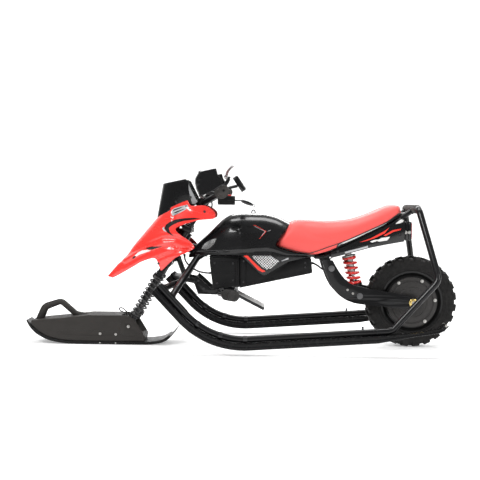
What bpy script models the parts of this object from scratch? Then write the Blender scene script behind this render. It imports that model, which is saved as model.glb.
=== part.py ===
"""Electric snow scooter: front ski on a sprung fork, tubular frame with side runners, hub motor wheel.

Metres, +Z up. X runs from the ski's tip to the tail, Y to the rider's right, and the floor is Z = 0.
"""
import math

import bmesh
import bpy
from mathutils import Matrix, Vector

# Clearance between pieces that touch
GAP = 0.0003
WALL = 0.003
CENTRE_SHIFT = 0.0044
UP = Vector((0.0, 0.0, 1.0))
ACROSS = Vector((0.0, 1.0, 0.0))

# Rear wheel with its hub motor
AXLE_X = 0.672
TYRE_RADIUS = 0.180
TYRE_HALF_WIDTH = 0.047
TREAD_DEPTH = 0.007
TREAD_LUGS = 14
RIM_RADIUS = 0.119
RIM_FLANGE = 0.006
HUB_RADIUS = 0.099
HUB_HALF_WIDTH = 0.052
AXLE_RADIUS = 0.008
AXLE_NUT_RADIUS = 0.017
AXLE_NUT_HEIGHT = 0.010

# Steering and fork, along the steering axis from the ski's pivot
RAKE = math.radians(30.5)
SKI_PIVOT_X = -0.448
SKI_PIVOT_Z = 0.072
LEG_Y = 0.048
STANCHION_RADIUS = 0.0135
STANCHION_BORE = 0.0095
SLIDER_RADIUS = 0.009
SLIDER_TOP = 0.262
EYE_RADIUS = 0.015
EYE_WIDTH = 0.020
PIVOT_PIN_RADIUS = 0.006
SPRING_LOW = 0.054
SPRING_HIGH = 0.230
FORK_COIL_RADIUS = 0.0182
FORK_WIRE = 0.0028
FORK_CURLS = 8
COLLAR_RADIUS = 0.0215
COLLAR_HEIGHT = 0.008
STANCHION_LOW = 0.125
LOWER_YOKE_AT = 0.285
YOKE_THICKNESS = 0.024
YOKE_HALF_LENGTH = 0.072
YOKE_DEPTH = 0.040
HEAD_LOW = 0.318
HEAD_HIGH = 0.432
HEAD_RADIUS = 0.027
HEAD_BORE = 0.0205
STEERER_RADIUS = 0.0135
STEM_SIDES = 14
BEARING_BORE = (STEERER_RADIUS + GAP) / math.cos(math.pi / STEM_SIDES)
BEARING_HEIGHT = 0.012
UPPER_YOKE_AT = 0.438
BAR_AT = 0.570

# Ski
SKI_HALF_WIDTH = 0.0625
SKI_WALL = 0.004
BASE_HALF_WIDTH = 0.066
BASE_THICKNESS = 0.012
HANDLE_RADIUS = 0.0125

# Frame tubes
RUNNER_Y = 0.270
RUNNER_RADIUS = 0.0125
RUNNER_FRONT = (-0.305, 0.258)
RUNNER_KNEE = (-0.111, 0.051)
RUNNER_REAR = (0.502, 0.0935)
RUNNER_BEND = 0.30
SKID_HEIGHT = 0.026
SKID_HALF_WIDTH = 0.024
SKID_TAIL = [(0.556, 0.0842), (0.640, 0.0925), (0.725, 0.1085), (0.752, 0.1270),
             (0.764, 0.1210), (0.733, 0.0960), (0.640, 0.0800)]
ARCH_X = -0.226
ARCH_Z = 0.260
ARCH_KNEE_Y = 0.085
BACKBONE_RADIUS = 0.019
BACKBONE_REAR = 0.325
RAIL_RADIUS = 0.010
RAIL_Y = 0.066
TIE_RADIUS = 0.007
LAMP_TIE_FORE = 0.030
LAMP_HALF_WIDTH = 0.080
LAMP_DEPTH = 0.0315
LAMP_LOW = 0.424
LAMP_TOP = 0.500
HOOP_TOP = (0.672, 0.548)
HOOP_TOP_Y = 0.150
HOOP_BEND_AT = (0.730, 0.262, 0.287)
DOWN_RADIUS = 0.0125

# Boxes under the backbone
BOX_HALF_WIDTH = 0.085
BOX_TOP = 0.3520
LID_THICKNESS = 0.003
BACKBONE_Z = BOX_TOP + LID_THICKNESS + 2 * GAP + BACKBONE_RADIUS

# Tank cover and side panels
TANK_HALF_WIDTH = 0.116
PANEL_RECESS = 0.004

# Foot pegs and brake plate
PEG_BAR_X = -0.085
PEG_BAR_Z = 0.213
PEG_END_Z = 0.219
BRAKE_PIN_X = -0.024
BRAKE_PIN_Z = 0.211
BRAKE_PIN_RADIUS = 0.004
KNUCKLE_RADIUS = 0.0085
PEG_BAR_RADIUS = 0.010
PEG_RADIUS = 0.021
PEG_END = (-0.028, 0.252)
PEG_LENGTH = 0.085
BRACKET_Y = 0.075
BRAKE_HALF_WIDTH = 0.070
BRAKE_LENGTH = 0.128
BRAKE_SLOPE = math.radians(27)
BRAKE_THICKNESS = 0.006

# Rear suspension
ARM_PIVOT_X = 0.350
ARM_PIVOT_Z = 0.312
ARM_INNER = 0.0715
ARM_THICKNESS = 0.006
LUG_THICKNESS = 0.006
SHOCK_TOP_X = 0.416
SHOCK_TOP_Z = 0.392
SHOCK_FOOT_X = 0.462
SHOCK_FOOT_Z = 0.205
SHOCK_PIN_RADIUS = 0.007
SHOCK_BOLT_RADIUS = 0.0055
SHOCK_EYE_RADIUS = 0.013
SHOCK_EYE_WIDTH = 0.022
SHOCK_COIL_RADIUS = 0.0240
SHOCK_WIRE = 0.0042
SHOCK_CURLS = 5
SHOCK_SEAT_RADIUS = 0.0285
SHOCK_ROD_RADIUS = 0.006
SHOCK_TUBE_RADIUS = 0.014

# Handlebar
BAR_RADIUS = 0.011
GRIP_RADIUS = 0.0170
GRIP_INNER_Y = 0.195
GRIP_OUTER_Y = 0.305
BAR_SHAPE = [(-0.1575, 0.0, 0.5640), (-0.1500, 0.045, 0.5660), (-0.0900, 0.115, 0.6010), (-0.0690, 0.298, 0.6100)]

FINISHES = {
    "black_steel": ((0.012, 0.012, 0.013), 0.28, 0.6),
    "black_plastic": ((0.020, 0.020, 0.021), 0.45, 0.0),
    "gloss_black": ((0.010, 0.010, 0.011), 0.18, 0.0),
    "red_plastic": ((0.75, 0.035, 0.030), 0.30, 0.0),
    "red_vinyl": ((0.78, 0.060, 0.050), 0.50, 0.0),
    "red_spring": ((0.72, 0.030, 0.025), 0.30, 0.2),
    "rubber": ((0.018, 0.018, 0.018), 0.80, 0.0),
    "steel": ((0.55, 0.55, 0.56), 0.30, 1.0),
    "brass": ((0.72, 0.55, 0.22), 0.30, 1.0),
    "smoked": ((0.025, 0.030, 0.032), 0.12, 0.0),
    "red_lens": ((0.55, 0.010, 0.010), 0.15, 0.0),
    "cell_blue": ((0.05, 0.12, 0.35), 0.40, 0.0),
}

RAKE_UP = Vector((math.sin(RAKE), 0.0, math.cos(RAKE)))
RAKE_FORE = Vector((-math.cos(RAKE), 0.0, math.sin(RAKE)))
SKI_PIVOT = Vector((SKI_PIVOT_X, 0.0, SKI_PIVOT_Z))
AXLE = Vector((AXLE_X, 0.0, TYRE_RADIUS))
ARM_PIVOT = Vector((ARM_PIVOT_X, 0.0, ARM_PIVOT_Z))
SHOCK_TOP = Vector((SHOCK_TOP_X, 0.0, SHOCK_TOP_Z))
SHOCK_FOOT = Vector((SHOCK_FOOT_X, 0.0, SHOCK_FOOT_Z))


# Scene and finishes

def clear_scene():
    for item in list(bpy.data.objects):
        bpy.data.objects.remove(item, do_unlink=True)


def new_collection(name):
    group = bpy.data.collections.new(name)
    bpy.context.scene.collection.children.link(group)
    return group


def make_finish(name, colour, roughness, metallic):
    finish = bpy.data.materials.new(name)
    finish.use_nodes = True
    shader = finish.node_tree.nodes["Principled BSDF"]
    shader.inputs["Base Color"].default_value = (*colour, 1.0)
    shader.inputs["Roughness"].default_value = roughness
    shader.inputs["Metallic"].default_value = metallic
    return finish


clear_scene()
PARTS = new_collection("electric_snow_scooter")
WORKBENCH = new_collection("workbench")
MATERIALS = {name: make_finish(name, *values) for name, values in FINISHES.items()}


# Mesh helpers: every mesh is made in world coordinates

def mesh_of(form):
    mesh = bpy.data.meshes.new("form")
    form.to_mesh(mesh)
    form.free()
    return mesh


def tidy(mesh, distance=0.00001):
    """Weld what lies together and turn the faces outwards."""
    form = bmesh.new()
    form.from_mesh(mesh)
    bmesh.ops.remove_doubles(form, verts=form.verts, dist=distance)
    bmesh.ops.dissolve_degenerate(form, edges=form.edges, dist=distance)
    bmesh.ops.recalc_face_normals(form, faces=form.faces)
    form.to_mesh(mesh)
    form.free()
    return mesh


def evaluated(data, modifiers=(), matrix=None):
    """The mesh that an object with this data and these modifiers shows."""
    item = bpy.data.objects.new("form", data)
    WORKBENCH.objects.link(item)
    for kind, settings in modifiers:
        step = item.modifiers.new(kind, kind)
        for key, value in settings.items():
            setattr(step, key, value)
    view = bpy.context.evaluated_depsgraph_get()
    view.update()
    mesh = bpy.data.meshes.new_from_object(item.evaluated_get(view))
    bpy.data.objects.remove(item, do_unlink=True)
    if matrix is not None:
        mesh.transform(matrix)
    return mesh


def combine(base, tool, operation):
    cutter = bpy.data.objects.new("cutter", tool)
    cutter.hide_render = True
    cutter.display_type = "WIRE"
    WORKBENCH.objects.link(cutter)
    settings = {"operation": operation, "object": cutter, "solver": "EXACT"}
    result = evaluated(base, [("BOOLEAN", settings)])
    bpy.data.objects.remove(cutter, do_unlink=True)
    return tidy(result)


def joined(*meshes):
    result = meshes[0]
    for other in meshes[1:]:
        result = combine(result, other, "UNION")
    return result


def carved(base, *tools):
    for tool in tools:
        base = combine(base, tool, "DIFFERENCE")
    return base


def mirrored(mesh):
    other = mesh.copy()
    other.transform(Matrix.Scale(-1.0, 4, ACROSS))
    other.flip_normals()
    return other


def rod(start, end, radius, sides=16):
    start = Vector(start)
    end = Vector(end)
    form = bmesh.new()
    turn = (end - start).to_track_quat("Z", "Y").to_matrix().to_4x4()
    place = Matrix.Translation((start + end) / 2) @ turn
    bmesh.ops.create_cone(form, cap_ends=True, segments=sides, radius1=radius, radius2=radius,
                          depth=(end - start).length, matrix=place)
    return mesh_of(form)


def bore(start, end, radius, sides=12):
    """A cutter whose flats clear a round of this radius."""
    return rod(start, end, (radius + GAP) / math.cos(math.pi / sides), sides)


def box(low, high, turn=None, edge=0.0):
    low = Vector(low)
    high = Vector(high)
    form = bmesh.new()
    bmesh.ops.create_cube(form, size=1.0)
    bmesh.ops.scale(form, vec=high - low, verts=form.verts)
    if edge:
        bmesh.ops.bevel(form, geom=form.edges, offset=edge, segments=2, profile=0.5, affect="EDGES")
    place = Matrix.Translation((low + high) / 2)
    if turn is not None:
        place = place @ turn
    bmesh.ops.transform(form, matrix=place, verts=form.verts)
    return mesh_of(form)


def tube(points, radius, resolution=2):
    curve = bpy.data.curves.new("route", "CURVE")
    curve.dimensions = "3D"
    curve.bevel_depth = radius
    curve.bevel_resolution = resolution
    curve.use_fill_caps = True
    spline = curve.splines.new("POLY")
    spline.points.add(len(points) - 1)
    for spot, point in zip(spline.points, points):
        spot.co = (*point, 1.0)
    mesh = tidy(evaluated(curve))
    bpy.data.curves.remove(curve)
    return mesh


def plate(outline, low_y, high_y, holes=(), edge=0.0):
    """A flat piece cut to an outline in X and Z, standing between two Y values."""
    curve = bpy.data.curves.new("outline", "CURVE")
    curve.dimensions = "2D"
    curve.fill_mode = "BOTH"
    curve.extrude = (high_y - low_y) / 2
    for loop in (outline, *holes):
        spline = curve.splines.new("POLY")
        spline.points.add(len(loop) - 1)
        spline.use_cyclic_u = True
        for spot, point in zip(spline.points, loop):
            spot.co = (point[0], point[1], 0.0, 1.0)
    stand = Matrix.Translation((0.0, (low_y + high_y) / 2, 0.0)) @ Matrix.Rotation(math.pi / 2, 4, "X")
    mesh = tidy(evaluated(curve, matrix=stand))
    bpy.data.curves.remove(curve)
    if edge:
        bevel = {"width": edge, "segments": 1, "limit_method": "ANGLE", "angle_limit": math.radians(50)}
        mesh = tidy(evaluated(mesh, [("BEVEL", bevel)]))
    return mesh


def turned(profile, centre, axis, steps=32, closed=False):
    """A profile of radius and height pairs turned about an axis."""
    form = bmesh.new()
    spots = [form.verts.new((radius, 0.0, height)) for radius, height in profile]
    for first, second in zip(spots, spots[1:]):
        form.edges.new((first, second))
    if closed:
        form.edges.new((spots[-1], spots[0]))
    screw = {"angle": 2 * math.pi, "steps": steps, "render_steps": steps, "axis": "Z",
             "use_merge_vertices": True, "merge_threshold": 0.00005}
    place = Matrix.Translation(centre) @ Vector(axis).to_track_quat("Z", "Y").to_matrix().to_4x4()
    return tidy(evaluated(mesh_of(form), [("SCREW", screw)], place))


def sheet(rows):
    form = bmesh.new()
    grid = [[form.verts.new(point) for point in row] for row in rows]
    for lower, upper in zip(grid, grid[1:]):
        for index in range(len(lower) - 1):
            form.faces.new((lower[index], lower[index + 1], upper[index + 1], upper[index]))
    return mesh_of(form)


def thickened(mesh, thickness, side=-1.0):
    solidify = {"thickness": thickness, "offset": side, "use_even_offset": True}
    return tidy(evaluated(mesh, [("SOLIDIFY", solidify)]))


def loft(rings):
    form = bmesh.new()
    loops = [[form.verts.new(point) for point in loop] for loop in rings]
    for first, second in zip(loops, loops[1:]):
        count = len(first)
        for index in range(count):
            after = (index + 1) % count
            form.faces.new((first[index], first[after], second[after], second[index]))
    form.faces.new(loops[0])
    form.faces.new(loops[-1])
    return tidy(mesh_of(form))


def between(low, high, share):
    return low + (high - low) * share


def along(table, x):
    """The value of a table of positions and values at x, in straight runs."""
    for (first, low), (second, high) in zip(table, table[1:]):
        if x <= second:
            return between(low, high, max(0.0, (x - first) / (second - first)))
    return table[-1][1]


def bent_path(corners, radii, step=math.radians(13)):
    """The centre line of a tube bent at its inner corners."""
    corners = [Vector(corner) for corner in corners]
    points = [corners[0]]
    for before, corner, after, radius in zip(corners, corners[1:], corners[2:], radii):
        inward = (before - corner).normalized()
        onward = (after - corner).normalized()
        turn = math.pi - inward.angle(onward)
        reach = radius * math.tan(turn / 2)
        centre = corner + (inward + onward).normalized() * (radius / math.cos(turn / 2))
        first = corner + inward * reach - centre
        axis = first.cross(corner + onward * reach - centre).normalized()
        steps = max(2, math.ceil(turn / step))
        for index in range(steps + 1):
            points.append(centre + Matrix.Rotation(turn * index / steps, 3, axis) @ first)
    points.append(corners[-1])
    return points


def smooth_path(corners, count):
    """A smooth curve through chosen points, for cables."""
    knots = [Vector(corner) for corner in corners]
    knots = [2 * knots[0] - knots[1]] + knots + [2 * knots[-1] - knots[-2]]
    points = []
    for index in range(count):
        place = index / (count - 1) * (len(knots) - 3)
        leg = min(int(place), len(knots) - 4)
        share = place - leg
        a, b, c, d = knots[leg:leg + 4]
        points.append(0.5 * (2 * b + (c - a) * share + (2 * a - 5 * b + 4 * c - d) * share ** 2
                             + (3 * b - a - 3 * c + d) * share ** 3))
    return points


def offset_path(points, distance):
    """A path in X and Z moved sideways; positive lies on the left of the way along it."""
    moved = []
    for index, point in enumerate(points):
        before = points[max(index - 1, 0)]
        after = points[min(index + 1, len(points) - 1)]
        run = (Vector(after) - Vector(before)).normalized()
        moved.append(Vector((point[0] - run[1] * distance, point[1] + run[0] * distance)))
    return moved


def circle_outline(x, z, radius, count=16):
    return [(x + radius * math.cos(2 * math.pi * index / count),
             z + radius * math.sin(2 * math.pi * index / count)) for index in range(count)]


def helix(foot, top, radius, curls, wire, points=8):
    """A spring's wire: curls about the line from foot to top, with straight ends square to the seats."""
    foot = Vector(foot)
    top = Vector(top)
    rise = top - foot
    lean = rise.normalized()
    side = lean.cross(ACROSS).normalized()
    tail = 2 * wire
    climb = rise.length - 2 * tail - 2 * wire
    count = curls * points
    route = []
    for index in range(count + 1):
        turn = 2 * math.pi * index / points
        out = side * math.cos(turn) + ACROSS * math.sin(turn)
        route.append(foot + lean * (tail + wire + climb * index / count) + out * radius)
    route.insert(0, route[0] - lean * (tail + wire))
    route.append(route[-1] + lean * (tail + wire))
    return route


def least_gap(route, wire, points=8):
    """The least clearance between one curl and the next."""
    coil = route[1:-1]
    least = min((coil[index] - coil[other]).length
                for index in range(len(coil)) for other in range(index + points // 2, len(coil)))
    return least - 2 * wire


# Bodies: each moving one hangs on an empty at its joint

def add_root():
    """The whole scooter hangs on this empty, which centres it over the origin."""
    root = bpy.data.objects.new("scooter_root", None)
    PARTS.objects.link(root)
    root.location = (CENTRE_SHIFT, 0.0, 0.0)
    return root


ROOT = add_root()


def add_pivot(name, location, parent=None):
    pivot = bpy.data.objects.new(name, None)
    PARTS.objects.link(pivot)
    hang(pivot, location, parent)
    return pivot


def hang(item, location, parent=None):
    """Place an item by where it stands in the scooter's own coordinates."""
    item.parent = parent or ROOT
    item.location = Vector(location) - (parent_place(parent) if parent else Vector())


def parent_place(item):
    place = Vector(item.location)
    while item.parent is not ROOT:
        item = item.parent
        place += Vector(item.location)
    return place


def add_part(name, mesh, finish, pivot=None, angle=35):
    mesh.name = name
    mesh.materials.clear()
    mesh.materials.append(MATERIALS[finish])
    mesh.shade_smooth()
    mesh.set_sharp_from_angle(angle=math.radians(angle))
    item = bpy.data.objects.new(name, mesh)
    PARTS.objects.link(item)
    item.parent = pivot or ROOT
    if pivot is not None:
        mesh.transform(Matrix.Translation(-parent_place(pivot)))
    return item


def add_mover(name, mesh, finish, origin, parent=None, angle=35):
    """A body of one piece: its own origin lies on its joint."""
    item = add_part(name, mesh, finish, None, angle)
    mesh.transform(Matrix.Translation(-Vector(origin)))
    hang(item, origin, parent)
    return item


def on_axis(height, fore=0.0, side=0.0):
    """A point by its height along the steering axis, forward of it and to the right."""
    return SKI_PIVOT + RAKE_UP * height + RAKE_FORE * fore + ACROSS * side


# Frame

RUNNER_LINE = [(point.x, point.z) for point in
               bent_path([(RUNNER_FRONT[0], 0, RUNNER_FRONT[1]), (RUNNER_KNEE[0], 0, RUNNER_KNEE[1]),
                          (RUNNER_REAR[0], 0, RUNNER_REAR[1])], [RUNNER_BEND], math.radians(9))]
ARCH_END = (RUNNER_FRONT[0] + 0.015, RUNNER_Y - 0.008, RUNNER_FRONT[1] - 0.012)
ARCH_SHAPE = [(ARCH_END[0], -ARCH_END[1], ARCH_END[2]), (ARCH_X, -ARCH_KNEE_Y, ARCH_Z),
              (ARCH_X, ARCH_KNEE_Y, ARCH_Z), ARCH_END]

# The seat's side view: position along X, underside and top
SEAT_UNDER = [(0.129, 0.401), (0.165, 0.389), (0.218, 0.376), (0.272, 0.367), (0.319, 0.377), (0.402, 0.413),
              (0.484, 0.452), (0.557, 0.488), (0.599, 0.512), (0.625, 0.534)]
SEAT_OVER = [(0.129, 0.401), (0.145, 0.428), (0.164, 0.458), (0.182, 0.480), (0.199, 0.494), (0.225, 0.498),
             (0.252, 0.497), (0.326, 0.493), (0.412, 0.499), (0.455, 0.509), (0.497, 0.524), (0.557, 0.550),
             (0.585, 0.560), (0.605, 0.562), (0.621, 0.554), (0.625, 0.534)]
SEAT_WIDTH = [(0.129, 0.086), (0.164, 0.096), (0.252, 0.104), (0.326, 0.112), (0.412, 0.114), (0.497, 0.106),
              (0.557, 0.097), (0.599, 0.087), (0.621, 0.072), (0.625, 0.060)]
PAN_THICKNESS = 0.004
PAN_FRONT = 0.338
PAN_REAR = 0.556
RAIL_DROP = 3 * GAP + PAN_THICKNESS + RAIL_RADIUS


def runner_tube_mesh(radius=RUNNER_RADIUS):
    return tube([(x, -RUNNER_Y, z) for x, z in RUNNER_LINE], radius, 2)


def hoop_path(side_y=RUNNER_Y):
    foot = Vector((RUNNER_REAR[0], -side_y, RUNNER_REAR[1]))
    before = RUNNER_LINE[-2]
    run = Vector((RUNNER_REAR[0] - before[0], 0.0, RUNNER_REAR[1] - before[1])).normalized()
    start = foot + run * GAP
    near = [start, foot + run * 0.055, Vector((HOOP_BEND_AT[0], -HOOP_BEND_AT[1], HOOP_BEND_AT[2])),
            Vector((HOOP_TOP[0], -HOOP_TOP_Y, HOOP_TOP[1]))]
    far = [Vector((point.x, -point.y, point.z)) for point in reversed(near)]
    return bent_path(near + far, [0.040, 0.045, 0.035, 0.035, 0.045, 0.040], math.radians(22))


def rail_path():
    under = [(x, z) for x, z in SEAT_UNDER if x > 0.33]
    line = offset_path(under, -RAIL_DROP)
    start = Vector((0.320, RAIL_Y, BACKBONE_Z - 0.018))
    top = Vector((HOOP_TOP[0], RAIL_Y, HOOP_TOP[1]))
    middle = [Vector((point[0], RAIL_Y, point[1])) for point in line[:-2]]
    run = (top - middle[-1]).normalized()
    return [start] + middle + [top - run * (RUNNER_RADIUS + GAP)]


def lamp_tie():
    """The middle of the rear tie, on the rails' last stretch."""
    start, end = rail_path()[-2:]
    spot = start.lerp(end, (HOOP_TOP[0] - LAMP_TIE_FORE - start.x) / (end.x - start.x))
    return Vector((spot.x, 0.0, spot.z))


def main_frame():
    head = rod(on_axis(HEAD_LOW), on_axis(HEAD_HIGH), HEAD_RADIUS, 20)
    spine = tube(spine_path(), BACKBONE_RADIUS, 2)
    # The bore is wide between the two bearings, which hold the steerer's stem
    low_bearing = HEAD_LOW + BEARING_HEIGHT
    high_bearing = HEAD_HIGH - BEARING_HEIGHT
    bore = turned([(0.0, HEAD_HIGH + 0.02), (BEARING_BORE, HEAD_HIGH + 0.02), (BEARING_BORE, high_bearing),
                   (HEAD_BORE, high_bearing - 0.002), (HEAD_BORE, low_bearing + 0.002),
                   (BEARING_BORE, low_bearing), (BEARING_BORE, HEAD_LOW - 0.02), (0.0, HEAD_LOW - 0.02)],
                  SKI_PIVOT, RAKE_UP, 14)
    strut_head = on_axis(HEAD_LOW + 0.018, -0.020)
    strut_run = (strut_head - Vector((ARCH_X, 0, ARCH_Z))).normalized()
    strut = rod(strut_head, Vector((ARCH_X, 0, ARCH_Z)) + strut_run * 0.003, 0.0105, 12)
    junction = box((0.284, -RAIL_Y - 0.006, BACKBONE_Z - 0.026), (0.342, RAIL_Y + 0.006, BACKBONE_Z - 0.012))
    lug_outline = [(0.300, BACKBONE_Z - 0.022), (0.342, BACKBONE_Z - 0.022)]
    lug_outline += [(ARM_PIVOT_X + 0.016 * math.cos(angle), ARM_PIVOT_Z + 0.016 * math.sin(angle))
                    for angle in [math.radians(30 - 30 * index) for index in range(8)]]
    lug = plate(lug_outline, ARM_INNER - 0.0055 - LUG_THICKNESS, ARM_INNER - 0.0055)
    shock_bar = rod((SHOCK_TOP_X, -RAIL_Y, SHOCK_TOP_Z), (SHOCK_TOP_X, RAIL_Y, SHOCK_TOP_Z), SHOCK_PIN_RADIUS, 12)
    rail = tube(rail_path(), RAIL_RADIUS, 2)
    ties = [rod((spot.x, -RAIL_Y, spot.z), (spot.x, RAIL_Y, spot.z), TIE_RADIUS, 12)
            for spot in (rail_path()[-2], lamp_tie())]
    solid = joined(spine, head, strut, junction, lug, mirrored(lug), rail, mirrored(rail), shock_bar, *ties)
    pin_bore = rod((ARM_PIVOT_X, -0.1, ARM_PIVOT_Z), (ARM_PIVOT_X, 0.1, ARM_PIVOT_Z), PIVOT_PIN_RADIUS + GAP, 12)
    arch = tube(bent_path(ARCH_SHAPE, [0.10, 0.10]), DOWN_RADIUS + GAP, 2)
    return carved(solid, bore, pin_bore, arch)


def front_arch():
    runner = runner_tube_mesh(RUNNER_RADIUS + GAP)
    return carved(tube(bent_path(ARCH_SHAPE, [0.10, 0.10]), DOWN_RADIUS, 2), runner, mirrored(runner))


def spine_path():
    neck = on_axis((HEAD_LOW + HEAD_HIGH) / 2, -0.012)
    return bent_path([neck, (-0.165, 0, BACKBONE_Z), (BACKBONE_REAR, 0, BACKBONE_Z)], [0.06])


def down_tube(radius=DOWN_RADIUS):
    path = bent_path([(-0.130, -0.014, BACKBONE_Z + 0.001), (-0.180, -0.040, 0.346), (-0.262, -RUNNER_Y, 0.211)],
                     [0.05], math.radians(24))
    return tube(path, radius, 2)


def side_frame():
    """The left runner tube with the down tube welded to its front."""
    down = carved(down_tube(), tube(spine_path(), BACKBONE_RADIUS + GAP, 2))
    return joined(runner_tube_mesh(), down)


def skid():
    top = offset_path(RUNNER_LINE, -(RUNNER_RADIUS + GAP))
    under = offset_path(RUNNER_LINE, -(RUNNER_RADIUS + GAP + SKID_HEIGHT))
    outline = [tuple(point) for point in top] + SKID_TAIL + [tuple(point) for point in reversed(under)]
    return plate(outline, -RUNNER_Y - SKID_HALF_WIDTH, -RUNNER_Y + SKID_HALF_WIDTH)


def peg_path():
    end = Vector((PEG_END[0], -PEG_END[1], PEG_END_Z))
    knee = Vector((PEG_BAR_X, -0.130, PEG_BAR_Z))
    return [end, knee, Vector((knee.x, -knee.y, knee.z)), Vector((end.x, -end.y, end.z))]


def peg_frame():
    """The bar that carries the foot pegs, with cheeks to the arch and the brake plate's pin."""
    bar = tube(bent_path(peg_path(), [0.03, 0.03], math.radians(22)), PEG_BAR_RADIUS, 2)
    outline = [(-0.190, 0.254), (-0.178, 0.278), (-0.124, 0.240), (-0.119, 0.2215), (-0.070, 0.2235),
               (BRAKE_PIN_X + 0.004, BRAKE_PIN_Z + 0.007), (BRAKE_PIN_X + 0.004, BRAKE_PIN_Z - 0.007),
               (-0.075, 0.203), (-0.173, 0.206)]
    cheek = plate(outline, -BRACKET_Y - 0.003, -BRACKET_Y + 0.003)
    strut = rod((ARCH_X + 0.006, -BRACKET_Y, ARCH_Z - 0.001), (-0.178, -BRACKET_Y, 0.255), 0.009, 12)
    pin = rod((BRAKE_PIN_X, -BRACKET_Y, BRAKE_PIN_Z), (BRAKE_PIN_X, BRACKET_Y, BRAKE_PIN_Z), BRAKE_PIN_RADIUS, 12)
    solid = joined(bar, cheek, strut, mirrored(cheek), mirrored(strut), pin)
    return carved(solid, tube(bent_path(ARCH_SHAPE, [0.10, 0.10]), DOWN_RADIUS + GAP, 2))


def foot_peg():
    end, knee = peg_path()[:2]
    run = (end - knee).normalized()
    tip = end + run * 0.006
    start = tip - run * PEG_LENGTH
    profile = [(0.0, 0.0), (PEG_RADIUS - 0.004, 0.0), (PEG_RADIUS, 0.004)]
    ribs = 3
    pitch = (PEG_LENGTH - 0.012) / ribs
    for index in range(ribs):
        low = 0.006 + pitch * index
        profile += [(PEG_RADIUS, low + 0.6 * pitch), (PEG_RADIUS - 0.003, low + 0.75 * pitch),
                    (PEG_RADIUS, low + pitch)]
    profile += [(PEG_RADIUS, PEG_LENGTH - 0.002), (PEG_RADIUS - 0.004, PEG_LENGTH), (0.0, PEG_LENGTH)]
    solid = turned(profile, start, run, 12)
    return carved(solid, bore(start - run * 0.01, end + run * GAP, PEG_BAR_RADIUS))


# Covers and boxes

# Stations along the tank: position, lower edge, crown and half width
TANK_STATIONS = [(-0.212, 0.345, 0.356, 0.022), (-0.193, 0.348, 0.384, 0.036), (-0.165, 0.353, 0.412, 0.048),
                 (-0.136, 0.358, 0.439, 0.064), (-0.098, 0.360, 0.477, 0.083), (-0.070, 0.361, 0.502, 0.096),
                 (-0.040, 0.362, 0.517, 0.106), (0.000, 0.362, 0.523, TANK_HALF_WIDTH),
                 (0.078, 0.362, 0.522, TANK_HALF_WIDTH), (0.124, 0.362, 0.514, 0.114),
                 (0.160, 0.361, 0.500, 0.111), (0.200, 0.360, 0.478, 0.107), (0.280, 0.3595, 0.420, 0.100)]


def tank_section(low, high, half_width, count=11, power=2.7):
    points = []
    for index in range(count):
        turn = math.pi * index / (count - 1)
        across = math.copysign(abs(math.cos(turn)) ** (2 / power), math.cos(turn))
        points.append((-half_width * across, low + (high - low) * math.sin(turn) ** (2 / 2.2)))
    return points


def seat_block(clearance):
    """The space that the seat takes, seen from the side, a little enlarged."""
    under = [tuple(point) for point in offset_path(SEAT_UNDER, -clearance)]
    over = [tuple(point) for point in offset_path(SEAT_OVER, clearance)]
    return plate([(under[0][0] - clearance, under[0][1])] + under + list(reversed(over[:-1])), -0.3, 0.3)


def tank_cover():
    rows = [[(x, y, z) for y, z in tank_section(low, high, half_width)]
            for x, low, high, half_width in TANK_STATIONS]
    shell = thickened(sheet(rows), WALL)
    frame = [tube(spine_path(), BACKBONE_RADIUS + 0.001, 2), down_tube(DOWN_RADIUS + 0.001)]
    shell = carved(shell, seat_block(0.001), *frame, mirrored(frame[1]))
    return joined(shell, tank_ring())


PANEL_OUTLINE = [(0.004, 0.352), (0.012, 0.3612), (0.150, 0.3612), (0.255, 0.3585), (0.178, 0.343),
                 (0.093, 0.292), (0.075, 0.297)]
GRILLE_OUTLINE = [(0.034, 0.350), (0.060, 0.356), (0.120, 0.354), (0.145, 0.341), (0.090, 0.305)]


def side_panel():
    outer = TANK_HALF_WIDTH - WALL - 2 * GAP
    solid = plate(PANEL_OUTLINE, -outer, -BOX_HALF_WIDTH - GAP)
    return carved(solid, plate(GRILLE_OUTLINE, -outer - 0.01, -outer + PANEL_RECESS))


def tray(outline, floor):
    """A box open at the top: its outline with a pocket that leaves walls all round."""
    inner = plate(floor, -BOX_HALF_WIDTH + WALL, BOX_HALF_WIDTH - WALL)
    return carved(plate(outline, -BOX_HALF_WIDTH, BOX_HALF_WIDTH, edge=0.003), inner)


CONTROLLER_OUTLINE = [(-0.129, BOX_TOP), (-0.113, 0.226), (-0.010, 0.241), (-0.010, BOX_TOP)]
CONTROLLER_POCKET = [(-0.125, BOX_TOP + 0.01), (-0.110, 0.230), (-0.013, 0.245), (-0.013, BOX_TOP + 0.01)]
BATTERY_OUTLINE = [(-0.010 + GAP, BOX_TOP), (-0.010 + GAP, 0.232), (0.275, 0.294), (0.269, BOX_TOP)]
BATTERY_POCKET = [(-0.006, BOX_TOP + 0.01), (-0.006, 0.2362), (0.2715, 0.2965), (0.266, BOX_TOP + 0.01)]
BATTERY_BLOCK = [(-0.0055, BOX_TOP - 0.006), (-0.0055, 0.2367), (0.262, 0.2948), (0.259, BOX_TOP - 0.006)]
CONTROLLER_BLOCK = [(-0.105, 0.300), (-0.103, 0.2316), (-0.018, 0.2448), (-0.018, 0.300)]


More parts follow.
